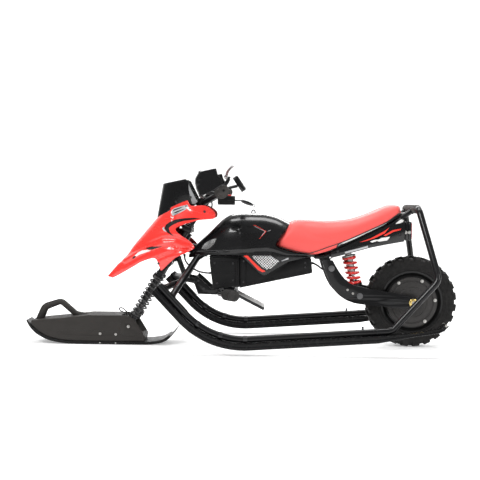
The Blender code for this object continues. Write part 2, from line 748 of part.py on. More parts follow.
def brake_plate():
    """The ribbed plate that a foot presses, hung on a pin at its front edge."""
    hinge = Vector((BRAKE_PIN_X, 0, BRAKE_PIN_Z))
    slope = Matrix.Rotation(BRAKE_SLOPE, 4, "Y")
    blade = box((0.004, -BRAKE_HALF_WIDTH, -BRAKE_THICKNESS), (BRAKE_LENGTH, BRAKE_HALF_WIDTH, 0.0), edge=0.001)
    ribs = [box((0.014 + 0.018 * index, -BRAKE_HALF_WIDTH + 0.006, -0.001),
                (0.018 + 0.018 * index, BRAKE_HALF_WIDTH - 0.006, 0.003)) for index in range(6)]
    knuckle = rod((0, -BRAKE_HALF_WIDTH, 0), (0, BRAKE_HALF_WIDTH, 0), KNUCKLE_RADIUS, 12)
    bore = rod((0, -0.1, 0), (0, 0.1, 0), BRAKE_PIN_RADIUS + GAP, 12)
    solid = carved(joined(blade, *ribs, knuckle), bore)
    solid.transform(Matrix.Translation(hinge) @ slope)
    return solid, hinge


# Ski

SKI_UNDER = [(-0.862, 0.090), (-0.842, 0.063), (-0.818, 0.042), (-0.790, 0.025), (-0.757, 0.012), (-0.716, 0.004),
             (-0.660, 0.0), (-0.513, 0.0), (-0.323, 0.0), (-0.300, 0.006), (-0.280, 0.024), (-0.254, 0.064)]
SKI_TOP_LINE = [(-0.838, 0.090), (-0.701, 0.104), (-0.607, 0.115), (-0.453, 0.115), (-0.417, 0.103), (-0.371, 0.035)]


def ski_base():
    over = []
    for index, point in enumerate(offset_path(SKI_UNDER, BASE_THICKNESS)):
        tail = index >= len(SKI_UNDER) - 3
        over.append(tuple(offset_path(SKI_UNDER, BASE_THICKNESS / 2)[index]) if tail else tuple(point))
    return plate(SKI_UNDER + list(reversed(over)), -BASE_HALF_WIDTH, BASE_HALF_WIDTH, edge=0.002)


def ski_outline(inset=0.0):
    floor = [tuple(point) for point in offset_path(SKI_UNDER, BASE_THICKNESS + GAP)]
    floor = [point for point in floor if point[0] < -0.40 and point[1] < 0.080]
    rear = (-0.386, BASE_THICKNESS + GAP)
    top = [(x, z + inset) for x, z in SKI_TOP_LINE]
    return floor + [rear] + list(reversed(top))


def ski_body():
    """The hollow body with its carrying handle, open below and over the fork's foot."""
    solid = plate(ski_outline(), -SKI_HALF_WIDTH, SKI_HALF_WIDTH, edge=0.003)
    inner = SKI_HALF_WIDTH - SKI_WALL
    hollow = plate([(-0.790, -0.02), (-0.790, 0.086), (-0.701, 0.098), (-0.607, 0.109), (-0.515, 0.109),
                    (-0.515, -0.02)], -inner, inner)
    pocket = plate([(-0.505, 0.040), (-0.505, 0.200), (-0.300, 0.200), (-0.300, 0.040)], -inner, inner)
    pin = rod(SKI_PIVOT - ACROSS * 0.1, SKI_PIVOT + ACROSS * 0.1, PIVOT_PIN_RADIUS + GAP, 12)
    return joined(carved(solid, hollow, pocket, pin), handle_loop())


def handle_loop():
    path = bent_path([(-0.819, 0, 0.070), (-0.816, 0, 0.112), (-0.727, 0, 0.163), (-0.640, 0, 0.096)],
                     [0.016, 0.022], math.radians(18))
    return tube(path, HANDLE_RADIUS, 2)


def ski_axle():
    reach = SKI_HALF_WIDTH + 0.002
    pin = rod(SKI_PIVOT - ACROSS * reach, SKI_PIVOT + ACROSS * reach, PIVOT_PIN_RADIUS - GAP, 12)
    head = rod(SKI_PIVOT - ACROSS * (SKI_HALF_WIDTH + GAP), SKI_PIVOT - ACROSS * (reach + 0.004), 0.009, 8)
    return joined(pin, head, mirrored(head))


# Fork and steering

def stanchion():
    side = -LEG_Y
    top = UPPER_YOKE_AT + YOKE_THICKNESS + 0.006
    solid = joined(rod(on_axis(STANCHION_LOW, side=side), on_axis(top, side=side), STANCHION_RADIUS, 14),
                   rod(on_axis(SPRING_HIGH + GAP, side=side), on_axis(SPRING_HIGH + COLLAR_HEIGHT, side=side),
                       COLLAR_RADIUS, 14))
    bore = rod(on_axis(STANCHION_LOW - 0.01, side=side), on_axis(SLIDER_TOP + 0.060, side=side), STANCHION_BORE, 14)
    return carved(solid, bore)


def yoke(at, half_length=YOKE_HALF_LENGTH):
    turn = Matrix.Rotation(RAKE, 4, "Y")
    centre = on_axis(at + YOKE_THICKNESS / 2)
    half = Vector((YOKE_DEPTH / 2, half_length, YOKE_THICKNESS / 2))
    solid = box(-half, half, edge=0.005)
    solid.transform(Matrix.Translation(centre) @ turn)
    legs = [rod(on_axis(at - 0.01, side=side), on_axis(at + YOKE_THICKNESS + 0.01, side=side),
                STANCHION_RADIUS + GAP, 14) for side in (-LEG_Y, LEG_Y)]
    return carved(solid, *legs)


def cowl_bracket(yoke_at, at, fore):
    """An arm from a yoke with a cross rod that ends at the cowl's inner faces."""
    spot = on_axis(at, fore)
    reach = cowl_half_width(spot.x, spot.z) - COWL_THICKNESS * 1.25 - GAP
    root = on_axis(yoke_at + YOKE_THICKNESS / 2, YOKE_DEPTH / 2 - 0.004)
    arm = tube([root, root + RAKE_FORE * 0.016, spot], 0.006, 2)
    return joined(arm, rod(spot - ACROSS * reach, spot + ACROSS * reach, 0.005, 12))


def bar_clamp():
    half = Vector((0.021, 0.026, 0.022))
    solid = box(-half, half, edge=0.004)
    solid.transform(Matrix.Translation(on_axis(BAR_AT)) @ Matrix.Rotation(RAKE, 4, "Y"))
    corners = BAR_LEFT[:-1] + BAR_RIGHT[1:]
    bar = tube(bent_path(corners, [0.05, 0.03, 0.03, 0.05], math.radians(18)), BAR_RADIUS + GAP, 2)
    return carved(solid, bar)


def steerer():
    """The stem, welded to the lower yoke at its foot and to the bar clamp at its top."""
    stem = rod(on_axis(LOWER_YOKE_AT + 0.004), on_axis(BAR_AT - 0.016), STEERER_RADIUS, 14)
    return joined(yoke(LOWER_YOKE_AT), stem, bar_clamp(), cowl_bracket(LOWER_YOKE_AT, 0.335, 0.052))


def upper_yoke():
    bore = rod(on_axis(UPPER_YOKE_AT - 0.01), on_axis(UPPER_YOKE_AT + YOKE_THICKNESS + 0.01),
               STEERER_RADIUS + GAP, 14)
    return joined(carved(yoke(UPPER_YOKE_AT), bore), cowl_bracket(UPPER_YOKE_AT, 0.462, 0.050))


def fork_slider():
    side = -LEG_Y
    shaft = rod(on_axis(0.004, side=side), on_axis(SLIDER_TOP, side=side), SLIDER_RADIUS, 14)
    centre = SKI_PIVOT + ACROSS * side
    eye = rod(centre - ACROSS * EYE_WIDTH / 2, centre + ACROSS * EYE_WIDTH / 2, EYE_RADIUS, 16)
    seat = rod(on_axis(SPRING_LOW - COLLAR_HEIGHT, side=side), on_axis(SPRING_LOW - GAP, side=side),
               COLLAR_RADIUS, 14)
    pin = rod(centre - ACROSS * 0.02, centre + ACROSS * 0.02, PIVOT_PIN_RADIUS, 12)
    return carved(joined(shaft, eye, seat), pin)


def fork_spring(side):
    route = helix(on_axis(SPRING_LOW, side=side), on_axis(SPRING_HIGH, side=side),
                  FORK_COIL_RADIUS, FORK_CURLS, FORK_WIRE)
    return route, tube(route, FORK_WIRE, 1)


# Cowl and windshield: a nose section swept up a raked line and trimmed to its side view

COWL_TIP = Vector((-0.531, 0.0, 0.274))
COWL_BROW = Vector((-0.340, 0.0, 0.502))
COWL_RUN = (COWL_BROW - COWL_TIP).normalized()
COWL_IN = Vector((COWL_RUN.z, 0.0, -COWL_RUN.x))
COWL_WIDTH = [(-0.02, 0.005), (0.0, 0.012), (0.05, 0.034), (0.11, 0.058), (0.18, 0.082), (0.26, 0.099), (0.50, 0.104)]
COWL_DEPTH = [(-0.02, 0.020), (0.05, 0.050), (0.15, 0.085), (0.30, 0.125), (0.50, 0.140)]
COWL_OUTLINE = [(-0.540, 0.275), (-0.500, 0.345), (-0.440, 0.405), (-0.395, 0.446), (-0.345, 0.500),
                (-0.341, 0.505), (-0.287, 0.533), (-0.283, 0.544), (-0.222, 0.571), (-0.212, 0.566),
                (-0.200, 0.552), (-0.152, 0.554), (-0.130, 0.546), (-0.109, 0.529), (-0.106, 0.512),
                (-0.117, 0.502), (-0.172, 0.496), (-0.235, 0.477), (-0.261, 0.459), (-0.235, 0.434),
                (-0.210, 0.418), (-0.188, 0.395), (-0.192, 0.384), (-0.214, 0.371), (-0.256, 0.351),
                (-0.281, 0.331), (-0.315, 0.298), (-0.323, 0.306), (-0.337, 0.340), (-0.358, 0.344),
                (-0.404, 0.326), (-0.447, 0.300), (-0.510, 0.264), (-0.524, 0.262)]
COWL_THICKNESS = 0.003


def nose_sheet(start, run, inward, width, depth, lengths, back, count=5):
    """Rows of U sections: round at the front line, straight to the back on both sides."""
    rows = []
    for length in lengths:
        half = along(width, length)
        deep = along(depth, length)
        row = [(back, -half), (between(deep, back, 0.5), -half)]
        for index in range(-count, count + 1):
            turn = math.pi / 2 * index / count
            row.append((deep * (1 - math.cos(turn)), half * math.sin(turn)))
        row += [(between(deep, back, 0.5), half), (back, half)]
        rows.append([start + run * length + inward * into + ACROSS * across for into, across in row])
    return sheet(rows)


def cowl_half_width(x, z):
    place = Vector((x, 0.0, z)) - COWL_TIP
    length = place.dot(COWL_RUN)
    into = place.dot(COWL_IN)
    half = along(COWL_WIDTH, length)
    deep = along(COWL_DEPTH, length)
    return half * math.sqrt(max(0.0, 1 - max(0.0, 1 - into / deep) ** 2))


def cowl():
    lengths = [-0.016 + 0.041 * index for index in range(12)]
    surface = nose_sheet(COWL_TIP, COWL_RUN, COWL_IN, COWL_WIDTH, COWL_DEPTH, lengths, 0.36)
    shell = thickened(surface, COWL_THICKNESS)
    return combine(shell, plate(COWL_OUTLINE, -0.2, 0.2), "INTERSECT")


SHIELD_FOOT = Vector((-0.339, 0.0, 0.510))
SHIELD_TOP = Vector((-0.317, 0.0, 0.637))
SHIELD_WIDTH = [(0.0, 0.072), (0.15, 0.078)]
SHIELD_DEPTH = [(0.0, 0.160), (0.15, 0.130)]
SHIELD_SEAT = [point for point in COWL_OUTLINE if point[1] > 0.499 and point[0] < -0.195]
SHIELD_OUTLINE = [(x, z + 2 * GAP) for x, z in SHIELD_SEAT]
SHIELD_OUTLINE += [(-0.188, 0.556), (-0.174, 0.572), (-0.214, 0.650), (-0.226, 0.656), (-0.316, 0.638),
                   (-0.350, 0.631)]
SHIELD_THICKNESS = 0.003


def windshield():
    run = (SHIELD_TOP - SHIELD_FOOT).normalized()
    inward = Vector((run.z, 0.0, -run.x))
    lengths = [-0.01 + 0.034 * index for index in range(7)]
    surface = nose_sheet(SHIELD_FOOT, run, inward, SHIELD_WIDTH, SHIELD_DEPTH, lengths, 0.24)
    return combine(thickened(surface, SHIELD_THICKNESS), plate(SHIELD_OUTLINE, -0.2, 0.2), "INTERSECT")


# Handlebar group

BAR_LEFT = [Vector((x, -y, z)) for x, y, z in reversed(BAR_SHAPE)]
BAR_RIGHT = [Vector((x, y, z)) for x, y, z in BAR_SHAPE]
GRIP_RUN = (BAR_RIGHT[3] - BAR_RIGHT[2]).normalized()


def bar_spot(y):
    """The bar's centre where its straight end run has this Y."""
    start = BAR_RIGHT[2]
    spot = start + GRIP_RUN * ((abs(y) - start.y) / GRIP_RUN.y)
    return Vector((spot.x, math.copysign(spot.y, y), spot.z))


def handlebar():
    corners = BAR_LEFT[:-1] + BAR_RIGHT[1:]
    return tube(bent_path(corners, [0.05, 0.03, 0.03, 0.05], math.radians(18)), BAR_RADIUS, 2)


def grip_mesh(side):
    start = bar_spot(side * GRIP_INNER_Y)
    end = bar_spot(side * GRIP_OUTER_Y)
    run = (end - start).normalized()
    length = (end - start).length
    profile = [(0.0, 0.0), (0.026, 0.0), (0.026, 0.005), (GRIP_RADIUS, 0.008), (GRIP_RADIUS, length - 0.010),
               (GRIP_RADIUS + 0.003, length - 0.007), (GRIP_RADIUS + 0.003, length - 0.002), (0.006, length),
               (0.0, length)]
    solid = turned(profile, start, run, 14)
    return carved(solid, bore(start - run * 0.01, bar_spot(side * 0.2985), BAR_RADIUS))


LEVER_PIVOT = Vector((-0.062, -0.186, 0.662))
LEVER_HALF = 0.0055
LEVER_PIN = 0.003


def lever_perch():
    """A collar on the bar with a post and the pin that the lever turns on."""
    spot = bar_spot(-0.184)
    run = Vector((GRIP_RUN.x, -GRIP_RUN.y, GRIP_RUN.z))
    collar = rod(spot - run * 0.009, spot + run * 0.009, 0.0185, 16)
    seat = LEVER_PIVOT - RAKE_FORE * (LEVER_HALF + GAP)
    disc = rod(seat, seat - RAKE_FORE * 0.008, 0.0080, 14)
    pin = rod(seat - RAKE_FORE * 0.004, LEVER_PIVOT + RAKE_FORE * (LEVER_HALF + 0.001), LEVER_PIN, 10)
    post = tube([spot, Vector((-0.062, -0.180, 0.640)), seat - RAKE_FORE * 0.0045], 0.0070, 2)
    clear = rod(seat, seat + RAKE_FORE * 0.03, 0.02, 14)
    solid = joined(carved(joined(collar, post), clear), disc, pin)
    return carved(solid, bore(bar_spot(-0.14), bar_spot(-0.21), BAR_RADIUS))


def brake_lever():
    route = [LEVER_PIVOT, LEVER_PIVOT + Vector((0.004, -0.026, 0.018)), Vector((-0.046, -0.250, 0.694)),
             Vector((-0.036, -0.290, 0.700))]
    blade = tube(smooth_path(route, 9), 0.0052, 2)
    reach = RAKE_FORE * LEVER_HALF
    boss = rod(LEVER_PIVOT - reach, LEVER_PIVOT + reach, 0.0078, 14)
    return carved(joined(blade, boss), bore(LEVER_PIVOT - 3 * reach, LEVER_PIVOT + 3 * reach, LEVER_PIN, 10))


SWITCH_Y = -0.158


def switch_box():
    spot = bar_spot(SWITCH_Y)
    top = spot.z - BAR_RADIUS - 2 * GAP
    body = box((spot.x - 0.010, SWITCH_Y - 0.014, top - 0.034), (spot.x + 0.056, SWITCH_Y + 0.013, top), edge=0.004)
    well = bore((spot.x + 0.035, SWITCH_Y, top - 0.010), (spot.x + 0.035, SWITCH_Y, top + 0.01), 0.0075, 14)
    root = Vector((spot.x + 0.054, SWITCH_Y, top - 0.017))
    stalk = rod(root, root + Vector((0.026, 0, -0.008)), 0.0020, 8)
    toggle = rod(root + Vector((0.024, 0, -0.0075)), root + Vector((0.056, 0, -0.020)), 0.0052, 10)
    return joined(carved(body, well), stalk, toggle), Vector((spot.x + 0.035, SWITCH_Y, top))


def display():
    turn = Matrix.Rotation(math.radians(-34), 4, "Y")
    half = Vector((0.011, 0.034, 0.033))
    solid = box(-half, half, edge=0.003)
    solid.transform(Matrix.Translation((-0.014, -0.045, 0.640)) @ turn)
    clamp = on_axis(BAR_AT + 0.022 + GAP, 0.0, -0.012)
    stem = tube([clamp, clamp + RAKE_UP * 0.014, Vector((-0.060, -0.040, 0.622)), Vector((-0.018, -0.045, 0.634))],
                0.006, 2)
    return joined(solid, stem)


def hand_guard():
    """A curved shield round the front of the hand on a stay from the bar."""
    rows = []
    for share in (0.0, 0.25, 0.5, 0.75, 1.0):
        z = between(0.598, 0.690, share)
        lean = 0.040 * share * share - 0.010
        inner = between(-0.205, -0.150, math.sin(math.pi * min(1.0, 0.15 + share) / 2))
        row = []
        for step in range(9):
            place = step / 8
            y = between(inner, -0.322, min(1.0, place * 1.18))
            wrap = max(0.0, place - 0.72) / 0.28
            x = -0.168 + lean + 0.018 * (1 - place) + 0.075 * wrap ** 1.4 * (0.55 + 0.45 * share)
            row.append((x, y, z - 0.018 * (1 - share) * (1 - place) + 0.010 * wrap * (1 - share)))
        rows.append(row)
    shell = thickened(sheet(rows), WALL)
    run = Vector((GRIP_RUN.x, -GRIP_RUN.y, GRIP_RUN.z))
    spot = bar_spot(-0.136)
    collar = rod(spot - run * 0.006, spot + run * 0.006, 0.0165, 14)
    stay = tube([spot, Vector((-0.135, -0.146, 0.604)), Vector((-0.1615, -0.190, 0.618))], 0.0055, 2)
    bar = bore(bar_spot(-0.110), bar_spot(-0.16), BAR_RADIUS + GAP)
    return carved(joined(shell, stay, collar), bar)


# Wheel and rear suspension

def tyre():
    """A ring of closed sections: the tread's blocks alternate from side to side."""
    rim = RIM_RADIUS + GAP
    wide = TYRE_HALF_WIDTH
    deep = TREAD_DEPTH
    rings = []
    count = TREAD_LUGS * 4
    for index in range(count):
        left = index % 4 in (0, 1)
        low = TYRE_RADIUS - (0.0 if left else deep)
        high = TYRE_RADIUS - (deep if left else 0.0)
        wall_low = wide - (0.0 if left else 0.003)
        wall_high = wide - (0.003 if left else 0.0)
        profile = [(rim, -wide + 0.010), (rim + 0.012, -wide + 0.004), (rim + 0.034, -wall_low),
                   (low - 0.013, -wall_low + 0.002), (low - 0.003, -wide * 0.78), (low, -wide * 0.36),
                   (low, -0.004), (high, 0.004), (high, wide * 0.36), (high - 0.003, wide * 0.78),
                   (high - 0.013, wall_high - 0.002), (rim + 0.034, wall_high), (rim + 0.012, wide - 0.004),
                   (rim, wide - 0.010)]
        turn = 2 * math.pi * index / count + (0.006 if index % 2 else -0.006)
        out = Vector((math.cos(turn), 0.0, math.sin(turn)))
        rings.append([AXLE + out * radius + ACROSS * y for radius, y in profile])
    form = bmesh.new()
    loops = [[form.verts.new(point) for point in loop] for loop in rings]
    for first, second in zip(loops, loops[1:] + loops[:1]):
        for spot in range(len(first)):
            after = (spot + 1) % len(first)
            form.faces.new((first[spot], first[after], second[after], second[spot]))
    return tidy(mesh_of(form))


def hub_motor():
    """The motor's drum with its covers, and the rim that the tyre sits on."""
    wide = HUB_HALF_WIDTH
    bore = AXLE_RADIUS + GAP
    flange = RIM_RADIUS + RIM_FLANGE
    half = TYRE_HALF_WIDTH - 0.011
    side = [(bore, wide), (0.024, wide), (0.028, wide - 0.004), (HUB_RADIUS - 0.016, wide - 0.006),
            (HUB_RADIUS - 0.013, wide - 0.004), (HUB_RADIUS, wide - 0.006), (HUB_RADIUS, half - 0.008),
            (RIM_RADIUS - 0.006, half - 0.002), (RIM_RADIUS - 0.003, half + 0.006), (flange - 0.009, half + 0.006),
            (RIM_RADIUS, half)]
    profile = side + [(radius, -height) for radius, height in reversed(side)]
    drum = turned(profile, AXLE, ACROSS, 20, closed=True)
    for index in range(6):
        turn = math.radians(5 + 60 * index)
        spot = AXLE + Vector((math.cos(turn), 0.0, math.sin(turn))) * (HUB_RADIUS - 0.0065)
        face = HUB_HALF_WIDTH - 0.007
        bolt = rod(spot - ACROSS * face, spot - ACROSS * (face + 0.0055), 0.0045, 6)
        drum = joined(drum, bolt, mirrored(bolt))
    return drum


ARM_UNDER = [(-0.040, 0.035), (-0.030, 0.003), (-0.019, -0.025), (-0.006, -0.056), (0.014, -0.088), (0.046, -0.116),
             (0.087, -0.134), (0.131, -0.141)]
ARM_OVER = [(0.133, -0.075), (0.077, -0.059), (0.049, -0.036), (0.025, -0.004), (0.004, 0.032)]


def arm_outline():
    """The arm's side view: a curved plate at the pivot, then a straight bar to the axle."""
    low = [(ARM_PIVOT_X + x, ARM_PIVOT_Z + z) for x, z in ARM_UNDER]
    high = [(ARM_PIVOT_X + x, ARM_PIVOT_Z + z) for x, z in ARM_OVER]
    tip = [(AXLE.x + 0.026 * math.cos(angle), AXLE.z + 0.026 * math.sin(angle))
           for angle in [math.radians(-96 + 24 * index) for index in range(9)]]
    return low + tip + high


def arm_holes():
    return [circle_outline(ARM_PIVOT_X, ARM_PIVOT_Z, PIVOT_PIN_RADIUS + GAP, 12),
            circle_outline(SHOCK_FOOT_X, SHOCK_FOOT_Z, SHOCK_BOLT_RADIUS + GAP, 12),
            circle_outline(AXLE.x, AXLE.z, AXLE_RADIUS + GAP, 14)]


def swing_arm():
    """Both plates, welded to a cross tube ahead of the tyre."""
    side = plate(arm_outline(), -ARM_INNER - ARM_THICKNESS, -ARM_INNER, arm_holes())
    spot = Vector((ARM_PIVOT_X + 0.052, 0.0, ARM_PIVOT_Z - 0.088))
    reach = ARM_INNER + 0.002
    return joined(side, rod(spot - ACROSS * reach, spot + ACROSS * reach, 0.012, 14), mirrored(side))


def pivot_bolt(spot, radius, reach, head_radius):
    """A bolt across both arms with a head on each side."""
    shank = rod(spot - ACROSS * (reach + 0.001), spot + ACROSS * (reach + 0.001), radius, 12)
    head = rod(spot - ACROSS * reach, spot - ACROSS * (reach + 0.006), head_radius, 6)
    return joined(shank, head, mirrored(head))


def axle_nut():
    face = ARM_INNER + ARM_THICKNESS + GAP
    flange = rod(AXLE - ACROSS * face, AXLE - ACROSS * (face + 0.003), AXLE_NUT_RADIUS, 12)
    nut = rod(AXLE - ACROSS * (face + 0.002), AXLE - ACROSS * (face + AXLE_NUT_HEIGHT), 0.0135, 6)
    return joined(flange, nut)


def axle():
    """The motor's fixed axle with a shoulder inside each arm and a nut outside it."""
    reach = ARM_INNER + ARM_THICKNESS + AXLE_NUT_HEIGHT + 0.004
    shaft = rod(AXLE - ACROSS * reach, AXLE + ACROSS * reach, AXLE_RADIUS, 14)
    collar = rod(AXLE - ACROSS * (HUB_HALF_WIDTH + GAP), AXLE - ACROSS * (ARM_INNER - GAP), 0.014, 14)
    nut = axle_nut()
    return joined(shaft, collar, mirrored(collar), nut, mirrored(nut))


SHOCK_RUN = (SHOCK_TOP - SHOCK_FOOT).normalized()
SHOCK_SPRING_LOW = 0.044
SHOCK_SPRING_HIGH = 0.154


def shock_point(height):
    return SHOCK_FOOT + SHOCK_RUN * height


def shock_eye(spot, bore):
    half = ACROSS * SHOCK_EYE_WIDTH / 2
    return rod(spot - half, spot + half, SHOCK_EYE_RADIUS, 16), rod(spot - 2 * half, spot + 2 * half, bore, 12)


def shock_body():
    eye, bore = shock_eye(SHOCK_TOP, SHOCK_PIN_RADIUS + GAP)
    can = rod(shock_point(0.092), shock_point(0.186), SHOCK_TUBE_RADIUS, 16)
    seat = rod(shock_point(SHOCK_SPRING_HIGH + GAP), shock_point(SHOCK_SPRING_HIGH + 0.006), SHOCK_SEAT_RADIUS, 20)
    hollow = rod(shock_point(0.080), shock_point(0.150), SHOCK_ROD_RADIUS + GAP, 14)
    return carved(joined(can, eye, seat), bore, hollow)


def shock_rod():
    eye, bore = shock_eye(SHOCK_FOOT, SHOCK_PIN_RADIUS + GAP)
    shaft = rod(shock_point(0.006), shock_point(0.128), SHOCK_ROD_RADIUS, 14)
    base = rod(shock_point(0.012), shock_point(0.036), 0.012, 14)
    seat = rod(shock_point(SHOCK_SPRING_LOW - 0.012), shock_point(SHOCK_SPRING_LOW - GAP), SHOCK_SEAT_RADIUS, 20)
    return carved(joined(shaft, base, eye, seat), bore)


def shock_spring():
    route = helix(shock_point(SHOCK_SPRING_LOW), shock_point(SHOCK_SPRING_HIGH), SHOCK_COIL_RADIUS,
                  SHOCK_CURLS, SHOCK_WIRE)
    return route, tube(route, SHOCK_WIRE, 1)


# Seat and tail

def seat_cushion():
    """A crowned saddle: its sides swell above the seam and draw in below it."""
    stations = [0.131, 0.140, 0.152, 0.166, 0.184, 0.205, 0.235, 0.272, 0.300, 0.326, 0.369, 0.412, 0.455, 0.497,
                0.530, 0.557, 0.580, 0.599, 0.612, 0.620]
    rings = []
    for x in stations:
        low = along(SEAT_UNDER, x)
        high = along(SEAT_OVER, x)
        half = along(SEAT_WIDTH, x)
        tall = high - low
        hollow = max(0.0, BACKBONE_Z + BACKBONE_RADIUS + 0.003 - low) if x < PAN_FRONT - 0.010 else 0.0
        hollow = min(hollow, tall * 0.55)
        side = [(0.90, 0.0), (0.965, 0.14), (1.0, 0.36), (0.985, 0.58), (0.91, 0.79), (0.76, 0.925), (0.50, 0.985)]
        right = [(half * across, low + tall * up) for across, up in side]
        left = [(-y, z) for y, z in reversed(right)]
        under = [(-0.060, low), (-0.050, low + hollow), (0.050, low + hollow), (0.060, low)]
        rings.append([(x, y, z) for y, z in right + [(0.0, high)] + left + under])
    return loft(rings)


def seat_pan():
    stations = [PAN_FRONT, 0.402, 0.443, 0.484, 0.520, PAN_REAR]
    upper = offset_path([(x, along(SEAT_UNDER, x)) for x in stations], -GAP)
    lower = offset_path([(x, along(SEAT_UNDER, x)) for x in stations], -GAP - PAN_THICKNESS)
    rings = []
    for x, top, foot in zip(stations, upper, lower):
        half = along(SEAT_WIDTH, x) * 0.86
        rings.append([(top[0], -half, top[1]), (top[0], half, top[1]), (foot[0], half, foot[1]),
                      (foot[0], -half, foot[1])])
    return loft(rings)


TAIL_LOWER = [(0.630, 0.434), (0.498, 0.398), (0.394, 0.370), (0.345, 0.360)]
TAIL_UPPER = [(0.345, 0.380), (0.402, 0.405), (0.484, 0.444), (0.557, 0.480), (0.615, 0.513), (0.630, 0.508)]


def tail_cover():
    inner = RAIL_Y + RAIL_RADIUS + GAP
    return plate(TAIL_LOWER + TAIL_UPPER, -inner - 0.014, -inner, edge=0.003)


def tail_lamp():
    """A round-cornered lamp behind the covers, hung by its neck from the last tie between the rails."""
    tie = lamp_tie()
    front = tie.x - 0.36 * LAMP_DEPTH
    shell = box((front, -LAMP_HALF_WIDTH, LAMP_LOW), (front + LAMP_DEPTH, LAMP_HALF_WIDTH, LAMP_TOP), edge=0.010)
    neck = box((tie.x - 0.006, -0.3 * LAMP_HALF_WIDTH, LAMP_TOP - 0.020),
               (tie.x + 0.006, 0.3 * LAMP_HALF_WIDTH, tie.z - TIE_RADIUS - GAP))
    return joined(shell, neck)


def control_cable():
    """From the head tube's lower side to the front of the controller box."""
    route = [(-0.2300, -0.040, 0.3600), (-0.2250, -0.048, 0.335), (-0.205, -0.052, 0.312), (-0.175, -0.050, 0.294),
             (-0.145, -0.045, 0.287), (-0.1215, -0.042, 0.2860)]
    return tube(smooth_path(route, 14), 0.0032, 1)


def motor_cable():
    """From the battery box's rear wall to the lug at the arm's pivot."""
    route = [(0.2724, -0.040, 0.330), (0.283, -0.042, 0.3285), (0.299, -0.047, 0.320), (0.314, -0.052, 0.309),
             (0.329, -0.0555, 0.302), (0.342, -0.0563, 0.300)]
    return tube(smooth_path(route, 12), 0.0034, 1)


def tank_ring():
    """A small bail on the tank's crown."""
    top = 0.5225
    path = bent_path([(0.034, 0, top), (0.037, 0, top + 0.014), (0.047, 0, top + 0.014), (0.050, 0, top)],
                     [0.004, 0.004], math.radians(30))
    return tube(path, 0.0018, 1)


def brake_cable():
    """From the lever's perch down behind the bar to the upper yoke."""
    foot = on_axis(UPPER_YOKE_AT + YOKE_THICKNESS + GAP, -0.004, -0.026)
    route = [Vector((-0.0790, -0.158, 0.6280)), Vector((-0.085, -0.120, 0.634)), Vector((-0.105, -0.078, 0.620)),
             Vector((-0.123, -0.057, 0.580)), Vector((-0.123, -0.047, 0.548)), Vector((-0.154, -0.035, 0.515)),
             foot + RAKE_UP * 0.020, foot + RAKE_UP * 0.008, foot]
    return tube(smooth_path(route, 20), 0.0028, 1)


# Everything in its place

def add_both(name, mesh, finish, pivot=None, angle=35):
    """The left piece and its mirror image on the right."""
    other = mirrored(mesh)
    add_part("left_" + name, mesh, finish, pivot, angle)
    add_part("right_" + name, other, finish, pivot, angle)


def build_chassis():
    add_part("main_frame", main_frame(), "black_steel")
    add_part("front_arch", front_arch(), "black_steel")
    add_both("side_frame", side_frame(), "black_steel")
    add_part("rear_hoop", tube(hoop_path(), RUNNER_RADIUS, 2), "black_steel")
    add_both("skid", skid(), "black_plastic")
    add_part("peg_frame", peg_frame(), "black_steel")
    add_both("foot_peg", foot_peg(), "rubber")
    add_part("tank_cover", tank_cover(), "gloss_black", angle=45)
    add_both("side_panel", side_panel(), "gloss_black")
    add_part("controller_case", tray(CONTROLLER_OUTLINE, CONTROLLER_POCKET), "black_plastic")
    add_part("motor_controller", plate(CONTROLLER_BLOCK, -0.055, 0.055), "steel")
    add_part("battery_case", tray(BATTERY_OUTLINE, BATTERY_POCKET), "black_plastic")
    add_part("battery_pack", plate(BATTERY_BLOCK, -0.072, 0.072), "cell_blue")
    lid = box((-0.129, -BOX_HALF_WIDTH, BOX_TOP + GAP), (0.268, BOX_HALF_WIDTH, BOX_TOP + GAP + LID_THICKNESS))
    add_part("box_lid", lid, "black_plastic")
    add_part("seat_pan", seat_pan(), "black_plastic")
    add_part("seat_cushion", seat_cushion(), "red_vinyl", angle=50)
    add_both("tail_cover", tail_cover(), "gloss_black")
    add_part("tail_lamp", tail_lamp(), "red_lens")
    add_part("control_cable", control_cable(), "rubber")
    add_part("motor_cable", motor_cable(), "rubber")
    blade, hinge = brake_plate()
    add_mover("brake_plate", blade, "steel", hinge)


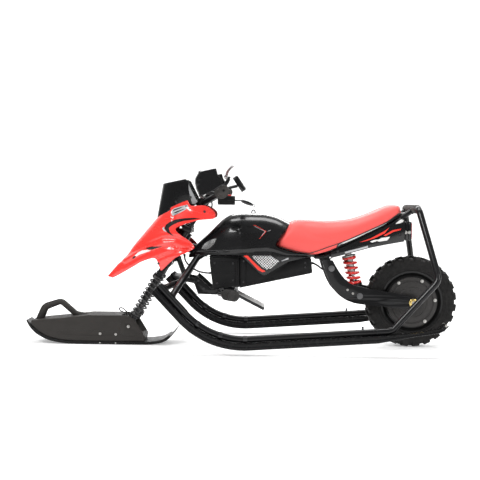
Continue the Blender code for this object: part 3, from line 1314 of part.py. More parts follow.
def build_steering():
    pivot = add_pivot("steering_pivot", on_axis(HEAD_LOW))
    add_part("steerer", steerer(), "black_steel", pivot)
    add_part("upper_yoke", upper_yoke(), "black_steel", pivot)
    add_both("stanchion", stanchion(), "black_steel", pivot)
    add_part("handlebar", handlebar(), "black_steel", pivot)
    add_part("left_grip", grip_mesh(-1), "rubber", pivot)
    add_part("lever_perch", lever_perch(), "black_plastic", pivot)
    add_both("hand_guard", hand_guard(), "gloss_black", pivot)
    add_part("display", display(), "gloss_black", pivot)
    case, button_spot = switch_box()
    add_part("switch_box", case, "black_plastic", pivot)
    add_part("cowl", cowl(), "red_plastic", pivot, 40)
    add_part("windshield", windshield(), "smoked", pivot, 40)
    add_part("brake_cable", brake_cable(), "rubber", pivot)
    add_mover("throttle_grip", grip_mesh(1), "rubber", bar_spot(GRIP_INNER_Y), pivot)
    add_mover("brake_lever", brake_lever(), "steel", LEVER_PIVOT, pivot)
    cap = rod(button_spot - UP * 0.0045, button_spot + UP * 0.005, 0.0075, 14)
    add_mover("stop_button", cap, "red_plastic", button_spot, pivot)
    slide = add_pivot("fork_slide", on_axis(0.0), pivot)
    add_both("fork_slider", fork_slider(), "steel", slide)
    route, mesh = fork_spring(-LEG_Y)
    print("fork springs, least gap", round(least_gap(route, FORK_WIRE) * 1000, 2), "mm")
    add_both("fork_spring", mesh, "black_steel", slide)
    add_part("ski_axle", ski_axle(), "steel", slide)
    ski = add_pivot("ski_pivot", SKI_PIVOT, slide)
    add_part("ski_body", ski_body(), "black_plastic", ski)
    add_part("ski_base", ski_base(), "black_plastic", ski)


def build_rear():
    arm = add_pivot("swing_arm_pivot", ARM_PIVOT)
    add_part("swing_arm", swing_arm(), "black_steel", arm)
    reach = ARM_INNER + ARM_THICKNESS + 2 * GAP
    add_part("arm_bolt", pivot_bolt(ARM_PIVOT, PIVOT_PIN_RADIUS - GAP, reach, 0.011), "steel", arm)
    add_part("shock_bolt", pivot_bolt(SHOCK_FOOT, SHOCK_BOLT_RADIUS, reach, 0.011), "steel", arm)
    add_part("axle", axle(), "brass", arm)
    wheel = add_pivot("wheel_axis", AXLE, arm)
    add_part("tyre", tyre(), "rubber", wheel, 30)
    add_part("hub_motor", hub_motor(), "black_steel", wheel)
    shock = add_mover("shock_body", shock_body(), "steel", SHOCK_TOP)
    stroke = add_pivot("shock_stroke", SHOCK_FOOT, shock)
    add_part("shock_rod", shock_rod(), "steel", stroke)
    route, mesh = shock_spring()
    print("shock spring, least gap", round(least_gap(route, SHOCK_WIRE) * 1000, 2), "mm")
    add_part("shock_spring", mesh, "red_spring", stroke)


build_chassis()
build_steering()
build_rear()
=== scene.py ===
"""Dresses the packed snow scooter: finer tubes, covers, saddle, knobbly tyre and cables on the frame.

Metres. Pieces are made in the scooter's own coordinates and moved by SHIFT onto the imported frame.
"""
from math import ceil, copysign, cos, exp, hypot, pi, radians, sin, sqrt, tan

import bmesh
import bpy
from mathutils import Matrix, Vector, noise
from mathutils.bvhtree import BVHTree


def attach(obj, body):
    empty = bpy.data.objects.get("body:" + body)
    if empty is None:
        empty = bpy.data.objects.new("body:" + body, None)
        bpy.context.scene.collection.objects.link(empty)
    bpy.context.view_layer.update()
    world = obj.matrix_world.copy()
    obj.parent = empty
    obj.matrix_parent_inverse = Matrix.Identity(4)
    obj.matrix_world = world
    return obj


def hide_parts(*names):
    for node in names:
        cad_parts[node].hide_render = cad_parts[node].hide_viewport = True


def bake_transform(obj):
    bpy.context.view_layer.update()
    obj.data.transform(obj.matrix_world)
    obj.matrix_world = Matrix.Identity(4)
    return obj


bl_info = {
    "name": "Snow scooter dressing",
    "version": (1, 0, 0),
    "blender": (4, 5, 0),
    "location": "3D View > Sidebar > Snow scooter",
    "description": "Builds the detailed pieces of an electric snow scooter on its packed frame",
    "category": "Add Mesh",
}

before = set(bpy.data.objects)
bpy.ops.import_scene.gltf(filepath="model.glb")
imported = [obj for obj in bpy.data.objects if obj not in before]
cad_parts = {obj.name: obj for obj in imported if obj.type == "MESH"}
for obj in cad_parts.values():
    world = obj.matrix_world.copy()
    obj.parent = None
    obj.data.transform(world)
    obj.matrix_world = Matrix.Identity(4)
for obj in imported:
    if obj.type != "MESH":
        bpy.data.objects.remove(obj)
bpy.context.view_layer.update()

FINISH = {}
TREES = {}


def mm(*values, each=2):
    """Points from millimetres: X and Z, position and value, or radius and height, one pair after another."""
    values = [round(value / 1000, 6) for value in values]
    return [tuple(values[index:index + each]) for index in range(0, len(values), each)]


def mm3(*values):
    """The same with X, Y and Z for each point."""
    return mm(*values, each=3)


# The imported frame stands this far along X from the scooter's own coordinates
SHIFT = Vector((0.0044, 0.0, 0.0))
UP = Vector((0.0, 0.0, 1.0))
ACROSS = Vector((0.0, 1.0, 0.0))
SIDES = (-1.0, 1.0)

# Steering axis, wheel, rear suspension and other shared places, as in the part's source
RAKE = radians(30.5)
RAKE_UP = Vector((sin(RAKE), 0.0, cos(RAKE)))
RAKE_FORE = Vector((-cos(RAKE), 0.0, sin(RAKE)))
SKI_PIVOT = Vector((-0.448, 0.0, 0.072))
LEG_Y = 0.048
AXLE = Vector((0.672, 0.0, 0.18))
ARM_X, ARM_Z = 0.35, 0.312
ARM_PIVOT = Vector((ARM_X, 0.0, ARM_Z))
SHOCK_TOP = Vector((0.416, 0.0, 0.392))
SHOCK_FOOT = Vector((0.462, 0.0, 0.205))
SHOCK_RUN = (SHOCK_TOP - SHOCK_FOOT).normalized()
BACKBONE_Z = 0.3746
RUNNER_Y = 0.27
HOOP_TOP = (0.672, 0.548)
RAIL_Y = 0.066
LUG_Y = 0.072
STRUT_Y = 0.075
BOX_SIDE = 0.0845
SWITCH_Y = -0.158
SKI_HALF = 0.0625
TIE_X, TIE_Z = 0.402, 0.224

# Side views: position along X, and height
SEAT_UNDER = mm(129, 405, 133, 398, 146, 390.5, 187, 379, 230, 370, 272, 367, 319, 377, 402, 413, 484, 452,
    557, 488, 599, 512, 625, 534)
SEAT_OVER = mm(129, 405, 132, 413, 145, 434, 164, 458, 182, 480, 199, 494, 225, 498, 252, 497, 326, 493, 412, 499,
    455, 509, 497, 524, 557, 550, 585, 560, 605, 562, 621, 554, 625, 534)
SEAT_SEAM = mm(146, 395, 187, 383.5, 230, 374.5, 254.6, 371.5, 285.6, 380, 332, 397.5, 382.8, 416, 444.6, 443.3,
    506.2, 471.6, 559, 497, 598.3, 524.5, 611, 533)
SEAT_BASE_START = 0.366
SEAT_WIDTH = mm(129, 86, 164, 96, 252, 104, 326, 112, 412, 114, 497, 106, 557, 97, 599, 87, 621, 72, 625, 60)
TANK_STATIONS = [(-0.212, 0.345, 0.356, 0.022), (-0.193, 0.348, 0.384, 0.036), (-0.165, 0.353, 0.412, 0.048),
    (-0.136, 0.358, 0.439, 0.064), (-0.098, 0.36, 0.477, 0.083), (-0.07, 0.361, 0.502, 0.096),
    (-0.04, 0.362, 0.517, 0.106), (0.0, 0.362, 0.523, 0.116), (0.078, 0.362, 0.522, 0.116),
    (0.124, 0.362, 0.514, 0.114), (0.16, 0.361, 0.5, 0.111), (0.2, 0.36, 0.478, 0.107), (0.28, 0.3595, 0.42, 0.1)]
COWL_TIP = Vector((-0.531, 0.0, 0.274))
COWL_BROW = Vector((-0.34, 0.0, 0.502))
COWL_WIDTH = mm(-20, 5, 0, 12, 50, 34, 110, 58, 180, 82, 260, 99, 500, 104)
COWL_DEPTH = mm(-20, 20, 50, 50, 150, 85, 300, 125, 500, 140)
COWL_OUTLINE = mm(-540, 275, -500, 345, -440, 405, -395, 446, -345, 500, -341, 505, -287, 533, -283, 544, -222, 571,
    -212, 566, -200, 552, -152, 554, -130, 546, -109, 529, -106, 512, -117, 502, -172, 496, -235, 477, -261, 459,
    -235, 434, -210, 418, -188, 395, -192, 384, -214, 371, -256, 351, -281, 331, -315, 298, -323, 306, -337, 340,
    -358, 344, -404, 326, -447, 300, -510, 264, -524, 262)
SHIELD_FOOT = Vector((-0.339, 0.0, 0.51))
SHIELD_TOP = Vector((-0.317, 0.0, 0.637))
SHIELD_WIDTH = mm(-20, 72, 0, 72, 150, 78, 300, 78)
SHIELD_DEPTH = mm(-20, 160, 0, 160, 150, 130, 300, 130)
SKI_UNDER = mm(-862, 90, -842, 63, -818, 42, -790, 25, -757, 12, -716, 4, -660, 0, -513, 0, -323, 0, -300, 6,
    -280, 24, -254, 64)
SKI_TOP_LINE = mm(-838, 90, -701, 104, -607, 115, -453, 115, -426, 103, -383.5, 33)
BAR_SHAPE = mm3(-157.5, 0, 564, -150, 45, 566, -90, 115, 601, -69, 298, 610)

# Cable routes, the same points as in the part's source
CONTROL_ROUTE = mm3(-230, -40, 360, -225, -48, 335, -205, -52, 312, -175, -50, 294, -145, -45, 287,
    -121.5, -42, 286)
MOTOR_ROUTE = mm3(272.4, -40, 330, 283, -42, 328.5, 299, -47, 320, 314, -52, 309, 329, -55.5, 302, 342, -56.3, 300)


def on_axis(height, fore=0.0, side=0.0):
    """A point by its height along the steering axis, forward of it and to the right."""
    return SKI_PIVOT + RAKE_UP * height + RAKE_FORE * fore + ACROSS * side


BRAKE_FOOT = on_axis(0.4623, -0.004, -0.026)
BRAKE_ROUTE = [(-0.079, -0.158, 0.628), (-0.085, -0.12, 0.634), (-0.105, -0.078, 0.62), (-0.123, -0.057, 0.58),
    (-0.123, -0.047, 0.548), (-0.154, -0.035, 0.515), BRAKE_FOOT + RAKE_UP * 0.02, BRAKE_FOOT + RAKE_UP * 0.008,
    BRAKE_FOOT]


# Shapes in side view and along tables

def smooth_path(corners, count):
    """A smooth curve through chosen points."""
    knots = [Vector(corner) for corner in corners]
    knots = [2 * knots[0] - knots[1]] + knots + [2 * knots[-1] - knots[-2]]
    points = []
    for index in range(count):
        place = index / (count - 1) * (len(knots) - 3)
        leg = min(int(place), len(knots) - 4)
        share = place - leg
        a, b, c, d = knots[leg:leg + 4]
        points.append(0.5 * (2 * b + (c - a) * share + (2 * a - 5 * b + 4 * c - d) * share ** 2 +
            (3 * b - a - 3 * c + d) * share ** 3))
    return points


def smooth_loop(corners, steps=6):
    """A closed smooth outline through chosen points."""
    knots = [Vector(corner) for corner in corners]
    count = len(knots)
    points = []
    for leg in range(count):
        a, b, c, d = (knots[(leg + step) % count] for step in (-1, 0, 1, 2))
        for index in range(steps):
            share = index / steps
            points.append(0.5 * (2 * b + (c - a) * share + (2 * a - 5 * b + 4 * c - d) * share ** 2 +
                (3 * b - a - 3 * c + d) * share ** 3))
    return points


def bent_path(corners, radii, step=radians(6)):
    """The centre line of a tube bent at its inner corners."""
    corners = [Vector(corner) for corner in corners]
    points = [corners[0]]
    for before, corner, after, radius in zip(corners, corners[1:], corners[2:], radii):
        inward = (before - corner).normalized()
        onward = (after - corner).normalized()
        turn = pi - inward.angle(onward)
        reach = radius * tan(turn / 2)
        centre = corner + (inward + onward).normalized() * (radius / cos(turn / 2))
        first = corner + inward * reach - centre
        axis = first.cross(corner + onward * reach - centre).normalized()
        steps = max(2, ceil(turn / step))
        for index in range(steps + 1):
            points.append(centre + Matrix.Rotation(turn * index / steps, 3, axis) @ first)
    points.append(corners[-1])
    return points


def offset_path(points, distance):
    """A path in X and Z moved sideways; positive lies on the left of the way along it."""
    moved = []
    for index, point in enumerate(points):
        before = points[max(index - 1, 0)]
        after = points[min(index + 1, len(points) - 1)]
        run = (Vector(after) - Vector(before)).normalized()
        moved.append(Vector((point[0] - run[1] * distance, point[1] + run[0] * distance)))
    return moved


def between(low, high, share):
    return low + (high - low) * share


def along(table, x):
    """The value of a table of positions and values at x, in straight runs."""
    for (first, low), (second, high) in zip(table, table[1:]):
        if x <= second:
            return between(low, high, max(0.0, (x - first) / (second - first)))
    return table[-1][1]


def eased(table, x):
    """The value of a table at x on a smooth curve that never overshoots it."""
    x = min(max(x, table[0][0]), table[-1][0])
    slopes = [(b[1] - a[1]) / (b[0] - a[0]) for a, b in zip(table, table[1:])]
    knots = [slopes[0]]
    for before, after in zip(slopes, slopes[1:]):
        knots.append(0.0 if before * after <= 0 else 2 * before * after / (before + after))
    knots.append(slopes[-1])
    for index, ((first, low), (second, high)) in enumerate(zip(table, table[1:])):
        if x <= second:
            run = second - first
            t = (x - first) / run
            return ((1 + 2 * t) * (1 - t) ** 2 * low + t * (1 - t) ** 2 * run * knots[index] + t * t * (3 - 2 * t) *
                high + t * t * (t - 1) * run * knots[index + 1])
    return table[-1][1]


def bell(value, middle, spread):
    return exp(-((value - middle) / spread) ** 2)


# Mesh helpers, in the scooter's own coordinates

def mesh_of(form):
    mesh = bpy.data.meshes.new("form")
    form.to_mesh(mesh)
    form.free()
    return mesh


def tidy(mesh, distance=0.00001):
    """Weld what lies together and turn the faces outwards."""
    form = bmesh.new()
    form.from_mesh(mesh)
    bmesh.ops.remove_doubles(form, verts=form.verts, dist=distance)
    bmesh.ops.dissolve_degenerate(form, edges=form.edges, dist=distance)
    bmesh.ops.recalc_face_normals(form, faces=form.faces)
    form.to_mesh(mesh)
    form.free()
    return mesh


def linked(name, data):
    """A new object in the scene."""
    item = bpy.data.objects.new(name, data)
    bpy.context.scene.collection.objects.link(item)
    return item


def shown_mesh(item):
    """The mesh that an object shows; the object itself goes."""
    view = bpy.context.evaluated_depsgraph_get()
    view.update()
    mesh = bpy.data.meshes.new_from_object(item.evaluated_get(view))
    bpy.data.objects.remove(item, do_unlink=True)
    return mesh


def evaluated(data, modifiers=(), matrix=None):
    """The mesh that an object with this data and these modifiers shows."""
    item = linked("form", data)
    for kind, settings in modifiers:
        step = item.modifiers.new(kind, kind)
        for key, value in settings.items():
            setattr(step, key, value)
    mesh = shown_mesh(item)
    if matrix is not None:
        mesh.transform(matrix)
    return mesh


def bevelled(mesh, width, segments=2, angle=35):
    settings = {"width": width, "segments": segments, "limit_method": "ANGLE", "angle_limit": radians(angle)}
    return evaluated(mesh, [("BEVEL", settings)])


def subdivided(mesh, levels=1):
    return evaluated(mesh, [("SUBSURF", {"levels": levels, "render_levels": levels})])


def combine(base, tool, operation):
    cutter = linked("cutter", tool)
    result = evaluated(base, [("BOOLEAN", {"operation": operation, "object": cutter, "solver": "EXACT"})])
    bpy.data.objects.remove(cutter, do_unlink=True)
    return tidy(result)


def mirrored(mesh):
    other = mesh.copy()
    other.transform(Matrix.Scale(-1.0, 4, ACROSS))
    other.flip_normals()
    return other


def pipe(points, radius, sides=24, closed=False, flat=1.0, flat_along=None):
    """A swept tube with round or flattened section; radius may be one number or one for each point."""
    points = [Vector(point) for point in points]
    count = len(points)
    radii = radius if isinstance(radius, (list, tuple)) else [radius] * count
    form = bmesh.new()
    rings = []
    normal = None
    for index, point in enumerate(points):
        before = points[index - 1] if index or closed else points[0]
        after = points[(index + 1) % count] if index < count - 1 or closed else points[-1]
        run = (after - before).normalized()
        if flat_along is not None:
            normal = Vector(flat_along)
        if normal is None:
            normal = ACROSS if abs(run.y) < 0.8 else UP
        normal = (normal - run * normal.dot(run)).normalized()
        side = run.cross(normal)
        ring = []
        for step in range(sides):
            turn = 2 * pi * step / sides
            ring.append(form.verts.new(point + (normal * cos(turn) * flat + side * sin(turn)) * radii[index]))
        rings.append(ring)
    pairs = list(zip(rings, rings[1:])) + ([(rings[-1], rings[0])] if closed else [])
    for first, second in pairs:
        for step in range(sides):
            after = (step + 1) % sides
            form.faces.new((first[step], first[after], second[after], second[step]))
    if not closed:
        form.faces.new(rings[0])
        form.faces.new(rings[-1])
    bmesh.ops.recalc_face_normals(form, faces=form.faces)
    return mesh_of(form)


def rod(start, end, radius, sides=32, edge=0.0):
    """A round bar whose ends may have a small chamfer."""
    start = Vector(start)
    end = Vector(end)
    run = (end - start).normalized()
    if not edge:
        return pipe([start, end], radius, sides)
    points = [start, start + run * edge, end - run * edge, end]
    return pipe(points, [radius - edge, radius, radius, radius - edge], sides)


def turned(profile, centre, axis, steps=64, closed=False):
    """A profile of radius and height pairs turned about an axis."""
    place = Matrix.Translation(centre) @ Vector(axis).to_track_quat("Z", "Y").to_matrix().to_4x4()
    form = bmesh.new()
    columns = []
    for step in range(steps):
        turn = 2 * pi * step / steps
        columns.append([form.verts.new((radius * cos(turn), radius * sin(turn), height))
            for radius, height in profile])
    spans = list(range(len(profile) - 1)) + ([len(profile) - 1] if closed else [])
    for first, second in zip(columns, columns[1:] + columns[:1]):
        for low in spans:
            high = (low + 1) % len(profile)
            form.faces.new((first[low], second[low], second[high], first[high]))
    bmesh.ops.remove_doubles(form, verts=form.verts, dist=0.00001)
    bmesh.ops.recalc_face_normals(form, faces=form.faces)
    form.transform(place)
    return mesh_of(form)


def box(low, high, turn=None, edge=0.0, segments=3):
    low = Vector(low)
    high = Vector(high)
    form = bmesh.new()
    bmesh.ops.create_cube(form, size=1.0)
    bmesh.ops.scale(form, vec=high - low, verts=form.verts)
    if edge:
        bmesh.ops.bevel(form, geom=form.edges, offset=edge, segments=segments, profile=0.5, affect="EDGES")
    place = Matrix.Translation((low + high) / 2)
    if turn is not None:
        place = place @ turn
    bmesh.ops.transform(form, matrix=place, verts=form.verts)
    return mesh_of(form)


def plate(outline, low_y, high_y, holes=(), edge=0.0, segments=2):
    """A flat piece cut to an outline in X and Z, standing between two Y values."""
    curve = bpy.data.curves.new("outline", "CURVE")
    curve.dimensions = "2D"
    curve.fill_mode = "BOTH"
    curve.extrude = (high_y - low_y) / 2
    for loop in (outline, *holes):
        spline = curve.splines.new("POLY")
        spline.points.add(len(loop) - 1)
        spline.use_cyclic_u = True
        for spot, point in zip(spline.points, loop):
            spot.co = (point[0], point[1], 0.0, 1.0)
    stand = Matrix.Translation((0.0, (low_y + high_y) / 2, 0.0)) @ Matrix.Rotation(pi / 2, 4, "X")
    mesh = tidy(evaluated(curve, matrix=stand))
    bpy.data.curves.remove(curve)
    return bevelled(mesh, edge, segments, 50) if edge else mesh


def circle_outline(x, z, radius, count=32):
    return [(x + radius * cos(2 * pi * index / count), z + radius * sin(2 * pi * index / count))
        for index in range(count)]


def sheet(rows):
    form = bmesh.new()
    grid = [[form.verts.new(point) for point in row] for row in rows]
    for lower, upper in zip(grid, grid[1:]):
        for index in range(len(lower) - 1):
            form.faces.new((lower[index], lower[index + 1], upper[index + 1], upper[index]))
    return mesh_of(form)


def thickened(mesh, thickness, side=-1.0):
    return tidy(evaluated(mesh, [("SOLIDIFY", {"thickness": thickness, "offset": side, "use_even_offset": True})]))


def loft(rings, capped=True):
    form = bmesh.new()
    loops = [[form.verts.new(point) for point in loop] for loop in rings]
    for first, second in zip(loops, loops[1:]):
        count = len(first)
        for index in range(count):
            after = (index + 1) % count
            form.faces.new((first[index], first[after], second[after], second[index]))
    if capped:
        form.faces.new(loops[0])
        form.faces.new(loops[-1])
    return tidy(mesh_of(form))


def merged(meshes):
    """Several meshes as one, each with its own finish kept."""
    form = bmesh.new()
    finishes = []
    for mesh in meshes:
        before = len(form.faces)
        form.from_mesh(mesh)
        form.faces.ensure_lookup_table()
        slots = []
        for finish in mesh.materials:
            if finish not in finishes:
                finishes.append(finish)
            slots.append(finishes.index(finish))
        for face in form.faces[before:]:
            face.material_index = slots[min(face.material_index, len(slots) - 1)] if slots else 0
    result = mesh_of(form)
    for finish in finishes:
        result.materials.append(finish)
    return result


def coated(mesh, finish):
    """A mesh with one finish all over."""
    mesh.materials.clear()
    mesh.materials.append(FINISH[finish])
    mesh.polygons.foreach_set("material_index", [0] * len(mesh.polygons))
    return mesh


def node_copy(name, edge=0.0008, segments=2, angle=32):
    """A merged copy of a CAD node with its sharp edges rounded."""
    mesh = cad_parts[name].data.copy()
    mesh.transform(Matrix.Translation(-SHIFT))
    form = bmesh.new()
    form.from_mesh(mesh)
    bmesh.ops.remove_doubles(form, verts=form.verts, dist=0.00001)
    bmesh.ops.dissolve_limit(form, angle_limit=radians(1.0), verts=form.verts, edges=form.edges)
    form.to_mesh(mesh)
    form.free()
    return bevelled(mesh, edge, segments, angle) if edge else mesh


def sticker(outline, target, side, finish, lift=0.0007, cell=0.0035):
    """A thin film cut to an outline in X and Z and laid on a surface from one side."""
    form = bmesh.new()
    face = form.faces.new([form.verts.new((point[0], 0.0, point[1])) for point in outline])
    face.normal_update()
    bmesh.ops.triangulate(form, faces=[face])
    for _ in range(7):
        long_edges = [edge for edge in form.edges if edge.calc_length() > cell]
        if not long_edges:
            break
        bmesh.ops.subdivide_edges(form, edges=long_edges, cuts=1)
        bmesh.ops.triangulate(form, faces=form.faces)
    missed = []
    for vert in form.verts:
        hit, normal = side_hit(target, vert.co.x, vert.co.z, side)
        if hit is None:
            missed.append(vert)
            continue
        if normal.y * side < 0:
            normal = -normal
        vert.co = hit + normal * lift
    bmesh.ops.delete(form, geom=missed, context="VERTS")
    for face in form.faces:
        face.normal_update()
        if face.normal.y * side < 0:
            face.normal_flip()
    return coated(thickened(mesh_of(form), 0.0003, -1.0), finish)


def surface_of(mesh):
    form = bmesh.new()
    form.from_mesh(mesh)
    tree = BVHTree.FromBMesh(form)
    form.free()
    return tree


def add_piece(name, meshes, body, replaces=(), angle=38):
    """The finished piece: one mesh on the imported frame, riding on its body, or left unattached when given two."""
    mesh = merged(meshes)
    mesh.name = name
    mesh.transform(Matrix.Translation(SHIFT))
    mesh.shade_smooth()
    mesh.set_sharp_from_angle(angle=radians(angle))
    item = linked(name, mesh)
    if isinstance(body, str):
        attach(item, body)
    else:
        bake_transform(item)
    if replaces:
        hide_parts(*replaces)
    return item


def add_pair(name, meshes, body, node, angle=38):
    """The left piece, and its mirror image on the right."""
    add_piece("left_" + name, meshes, body, ["left_" + node], angle)
    add_piece("right_" + name, [mirrored(mesh) for mesh in meshes], body, ["right_" + node], angle)


def coats(finish, *meshes):
    return [coated(mesh, finish) for mesh in meshes]


# Finishes: every one reads Object coordinates

class FinishMaker:
    """Builds one finish: colour, roughness and relief from a few patterns."""

    def __init__(self, name, metallic=0.0, coat=0.0, coat_roughness=0.08, ior=1.5, transmission=0.0, specular=0.5):
        self.finish = bpy.data.materials.new(name)
        self.finish.use_nodes = True
        self.tree = self.finish.node_tree
        self.shader = self.tree.nodes["Principled BSDF"]
        self.shader.inputs["Metallic"].default_value = metallic
        self.shader.inputs["Coat Weight"].default_value = coat
        self.shader.inputs["Coat Roughness"].default_value = coat_roughness
        self.shader.inputs["IOR"].default_value = ior
        self.shader.inputs["Specular IOR Level"].default_value = specular
        self.shader.inputs["Transmission Weight"].default_value = transmission
        self.place = self.node("ShaderNodeTexCoord").outputs["Object"]

    def node(self, kind, **settings):
        made = self.tree.nodes.new(kind)
        for key, value in settings.items():
            setattr(made, key, value)
        return made

    def feed(self, socket, value):
        if isinstance(value, bpy.types.NodeSocket):
            self.tree.links.new(value, socket)
        else:
            socket.default_value = value

    def stretched(self, scale=(1.0, 1.0, 1.0), turn=(0.0, 0.0, 0.0), shift=(0.0, 0.0, 0.0)):
        made = self.node("ShaderNodeMapping")
        self.feed(made.inputs["Vector"], self.place)
        made.inputs["Scale"].default_value = scale
        made.inputs["Rotation"].default_value = turn
        made.inputs["Location"].default_value = shift
        return made.outputs["Vector"]

    def cloud(self, scale, detail=3.0, roughness=0.5, place=None):
        made = self.node("ShaderNodeTexNoise")
        self.feed(made.inputs["Vector"], place or self.place)
        made.inputs["Scale"].default_value = scale
        made.inputs["Detail"].default_value = detail
        made.inputs["Roughness"].default_value = roughness
        return made.outputs["Fac"]

    def cells(self, scale, feature="F1", place=None):
        made = self.node("ShaderNodeTexVoronoi", feature=feature)
        self.feed(made.inputs["Vector"], place or self.place)
        made.inputs["Scale"].default_value = scale
        return made.outputs["Distance"]

    def spread(self, value, low, high, to_low=0.0, to_high=1.0):
        made = self.node("ShaderNodeMapRange")
        self.feed(made.inputs["Value"], value)
        for key, number in zip(("From Min", "From Max", "To Min", "To Max"), (low, high, to_low, to_high)):
            made.inputs[key].default_value = number
        return made.outputs["Result"]

    def blend(self, share, first, second):
        made = self.node("ShaderNodeMix", data_type="RGBA")
        factor, colour_a, colour_b = (made.inputs[index] for index in (0, 6, 7))
        self.feed(factor, share)
        for socket, value in ((colour_a, first), (colour_b, second)):
            self.feed(socket, (*value, 1.0) if isinstance(value, (tuple, list)) and len(value) == 3 else value)
        return made.outputs[2]

    def relief(self, *layers):
        """Each layer is a pattern, how strong it is and its depth in metres."""
        normal = None
        for pattern, strength, depth in layers:
            made = self.node("ShaderNodeBump")
            made.inputs["Strength"].default_value = strength
            made.inputs["Distance"].default_value = depth
            self.feed(made.inputs["Height"], pattern)
            if normal is not None:
                self.feed(made.inputs["Normal"], normal)
            normal = made.outputs["Normal"]
        self.feed(self.shader.inputs["Normal"], normal)

    def done(self, colour, roughness):
        self.feed(self.shader.inputs["Base Color"], (*colour, 1.0) if isinstance(colour, tuple) else colour)
        self.feed(self.shader.inputs["Roughness"], roughness)
        return self.finish


def darker(colour, share):
    return tuple(value * share for value in colour)


def powder_coat(name, colour, rough=0.34):
    """Baked powder on steel tube: fine orange peel, a little dust in patches."""
    make = FinishMaker(name, coat=0.32, coat_roughness=0.06, specular=0.12)
    peel = make.cloud(900.0, 2.0)
    dust = make.spread(make.cloud(14.0, 5.0, 0.6), 0.56, 0.78, 0.0, 0.4)
    make.relief((peel, 0.25, 0.0004), (make.cloud(160.0, 2.0), 0.12, 0.0006))
    tone = make.blend(dust, colour, tuple(value + 0.006 for value in colour))
    return make.done(tone, make.spread(make.cloud(35.0, 4.0), 0.3, 0.7, rough - 0.05, rough + 0.12))


def moulded_plastic(name, colour, rough=0.52, grain=1400.0, scuffs=0.35):
    """Injection-moulded plastic with a fine leather grain and pale scuffs."""
    make = FinishMaker(name, specular=0.16)
    long_place = make.stretched((3.0, 60.0, 60.0))
    scuff = make.spread(make.cloud(5.0, 6.0, 0.7, long_place), 0.6, 0.72, 0.0, scuffs)
    tone = make.blend(make.cloud(18.0, 4.0), darker(colour, 0.85), darker(colour, 1.2))
    tone = make.blend(scuff, tone, tuple(value + 0.018 for value in colour))
    make.relief((make.cells(grain), 0.35, 0.0003), (make.cloud(120.0, 3.0), 0.1, 0.0008))
    return make.done(tone, make.spread(make.cloud(60.0, 4.0), 0.3, 0.7, rough - 0.06, rough + 0.1))


def gloss_plastic(name, colour, rough=0.2, coat=0.8, specular=0.5):
    """Polished painted plastic: slow waves in the gloss, swirl marks and a few fine scratches."""
    make = FinishMaker(name, coat=coat, coat_roughness=0.06, specular=specular)
    tone = make.blend(make.cloud(7.0, 3.0), darker(colour, 0.93), darker(colour, 1.06))
    wiped = make.cloud(18.0, 5.0, 0.6, make.stretched((1.0, 1.6, 2.4), (0.3, 0.2, 0.5)))
    make.relief((make.cloud(11.0, 2.0), 0.05, 0.0012), (make.cloud(900.0, 2.0), 0.03, 0.0002))
    return make.done(tone, make.spread(wiped, 0.4, 0.7, rough - 0.03, rough + 0.05))


def seat_vinyl(name, colour):
    """Coated fabric: pebble grain, soft sheen and slight fading in patches."""
    make = FinishMaker(name)
    make.shader.inputs["Sheen Weight"].default_value = 0.25
    make.shader.inputs["Sheen Roughness"].default_value = 0.4
    pebble = make.cells(620.0)
    fold = make.cloud(34.0, 4.0, 0.6, make.stretched((1.0, 2.2, 1.4)))
    tone = make.blend(make.cloud(9.0, 4.0), darker(colour, 0.9), darker(colour, 1.07))
    tone = make.blend(make.spread(pebble, 0.15, 0.55, 0.0, 0.22), tone, darker(colour, 0.6))
    make.relief((fold, 0.16, 0.0016), (pebble, 0.45, 0.0005), (make.cloud(2400.0, 2.0), 0.2, 0.0002))
    return make.done(tone, make.spread(make.cloud(16.0, 4.0), 0.3, 0.7, 0.44, 0.58))


def tyre_rubber(name, colour):
    """Rubber with a dull skin, browned dust in patches and mould marks."""
    make = FinishMaker(name, specular=0.25)
    dust = make.spread(make.cloud(26.0, 6.0, 0.65), 0.48, 0.78, 0.0, 0.4)
    tone = make.blend(make.cloud(60.0, 4.0), darker(colour, 0.75), darker(colour, 1.35))
    tone = make.blend(dust, tone, (0.034, 0.031, 0.029))
    make.relief((make.cloud(300.0, 5.0, 0.6), 0.35, 0.0009), (make.cells(900.0), 0.2, 0.0004))
    return make.done(tone, make.spread(make.cloud(90.0, 4.0), 0.3, 0.7, 0.66, 0.86))


def grip_rubber(name, colour):
    make = FinishMaker(name, specular=0.3)
    tone = make.blend(make.cloud(45.0, 4.0), darker(colour, 0.8), darker(colour, 1.25))
    make.relief((make.cells(1500.0), 0.4, 0.0003), (make.cloud(200.0, 3.0), 0.15, 0.0005))
    return make.done(tone, make.spread(make.cloud(80.0, 3.0), 0.3, 0.7, 0.58, 0.74))


def bright_steel(name, colour, rough=0.3, lines=(1.0, 1.0, 1.0)):
    """Plated or brushed steel: faint drawn lines and dulled patches."""
    make = FinishMaker(name, metallic=1.0)
    drawn = make.cloud(260.0, 4.0, 0.6, make.stretched(lines))
    tone = make.blend(make.cloud(50.0, 5.0), darker(colour, 0.72), darker(colour, 1.08))
    make.relief((drawn, 0.12, 0.0003))
    return make.done(tone, make.spread(make.cloud(70.0, 5.0), 0.3, 0.7, rough - 0.08, rough + 0.16))


def cast_cover(name, colour):
    """The hub's cast cover, painted satin, with a turned face."""
    make = FinishMaker(name, metallic=0.35)
    tone = make.blend(make.cloud(40.0, 5.0), darker(colour, 0.8), darker(colour, 1.2))
    make.relief((make.cloud(700.0, 4.0, 0.6), 0.3, 0.0004), (make.cloud(30.0, 2.0), 0.08, 0.001))
    return make.done(tone, make.spread(make.cloud(90.0, 3.0), 0.3, 0.7, 0.42, 0.56))


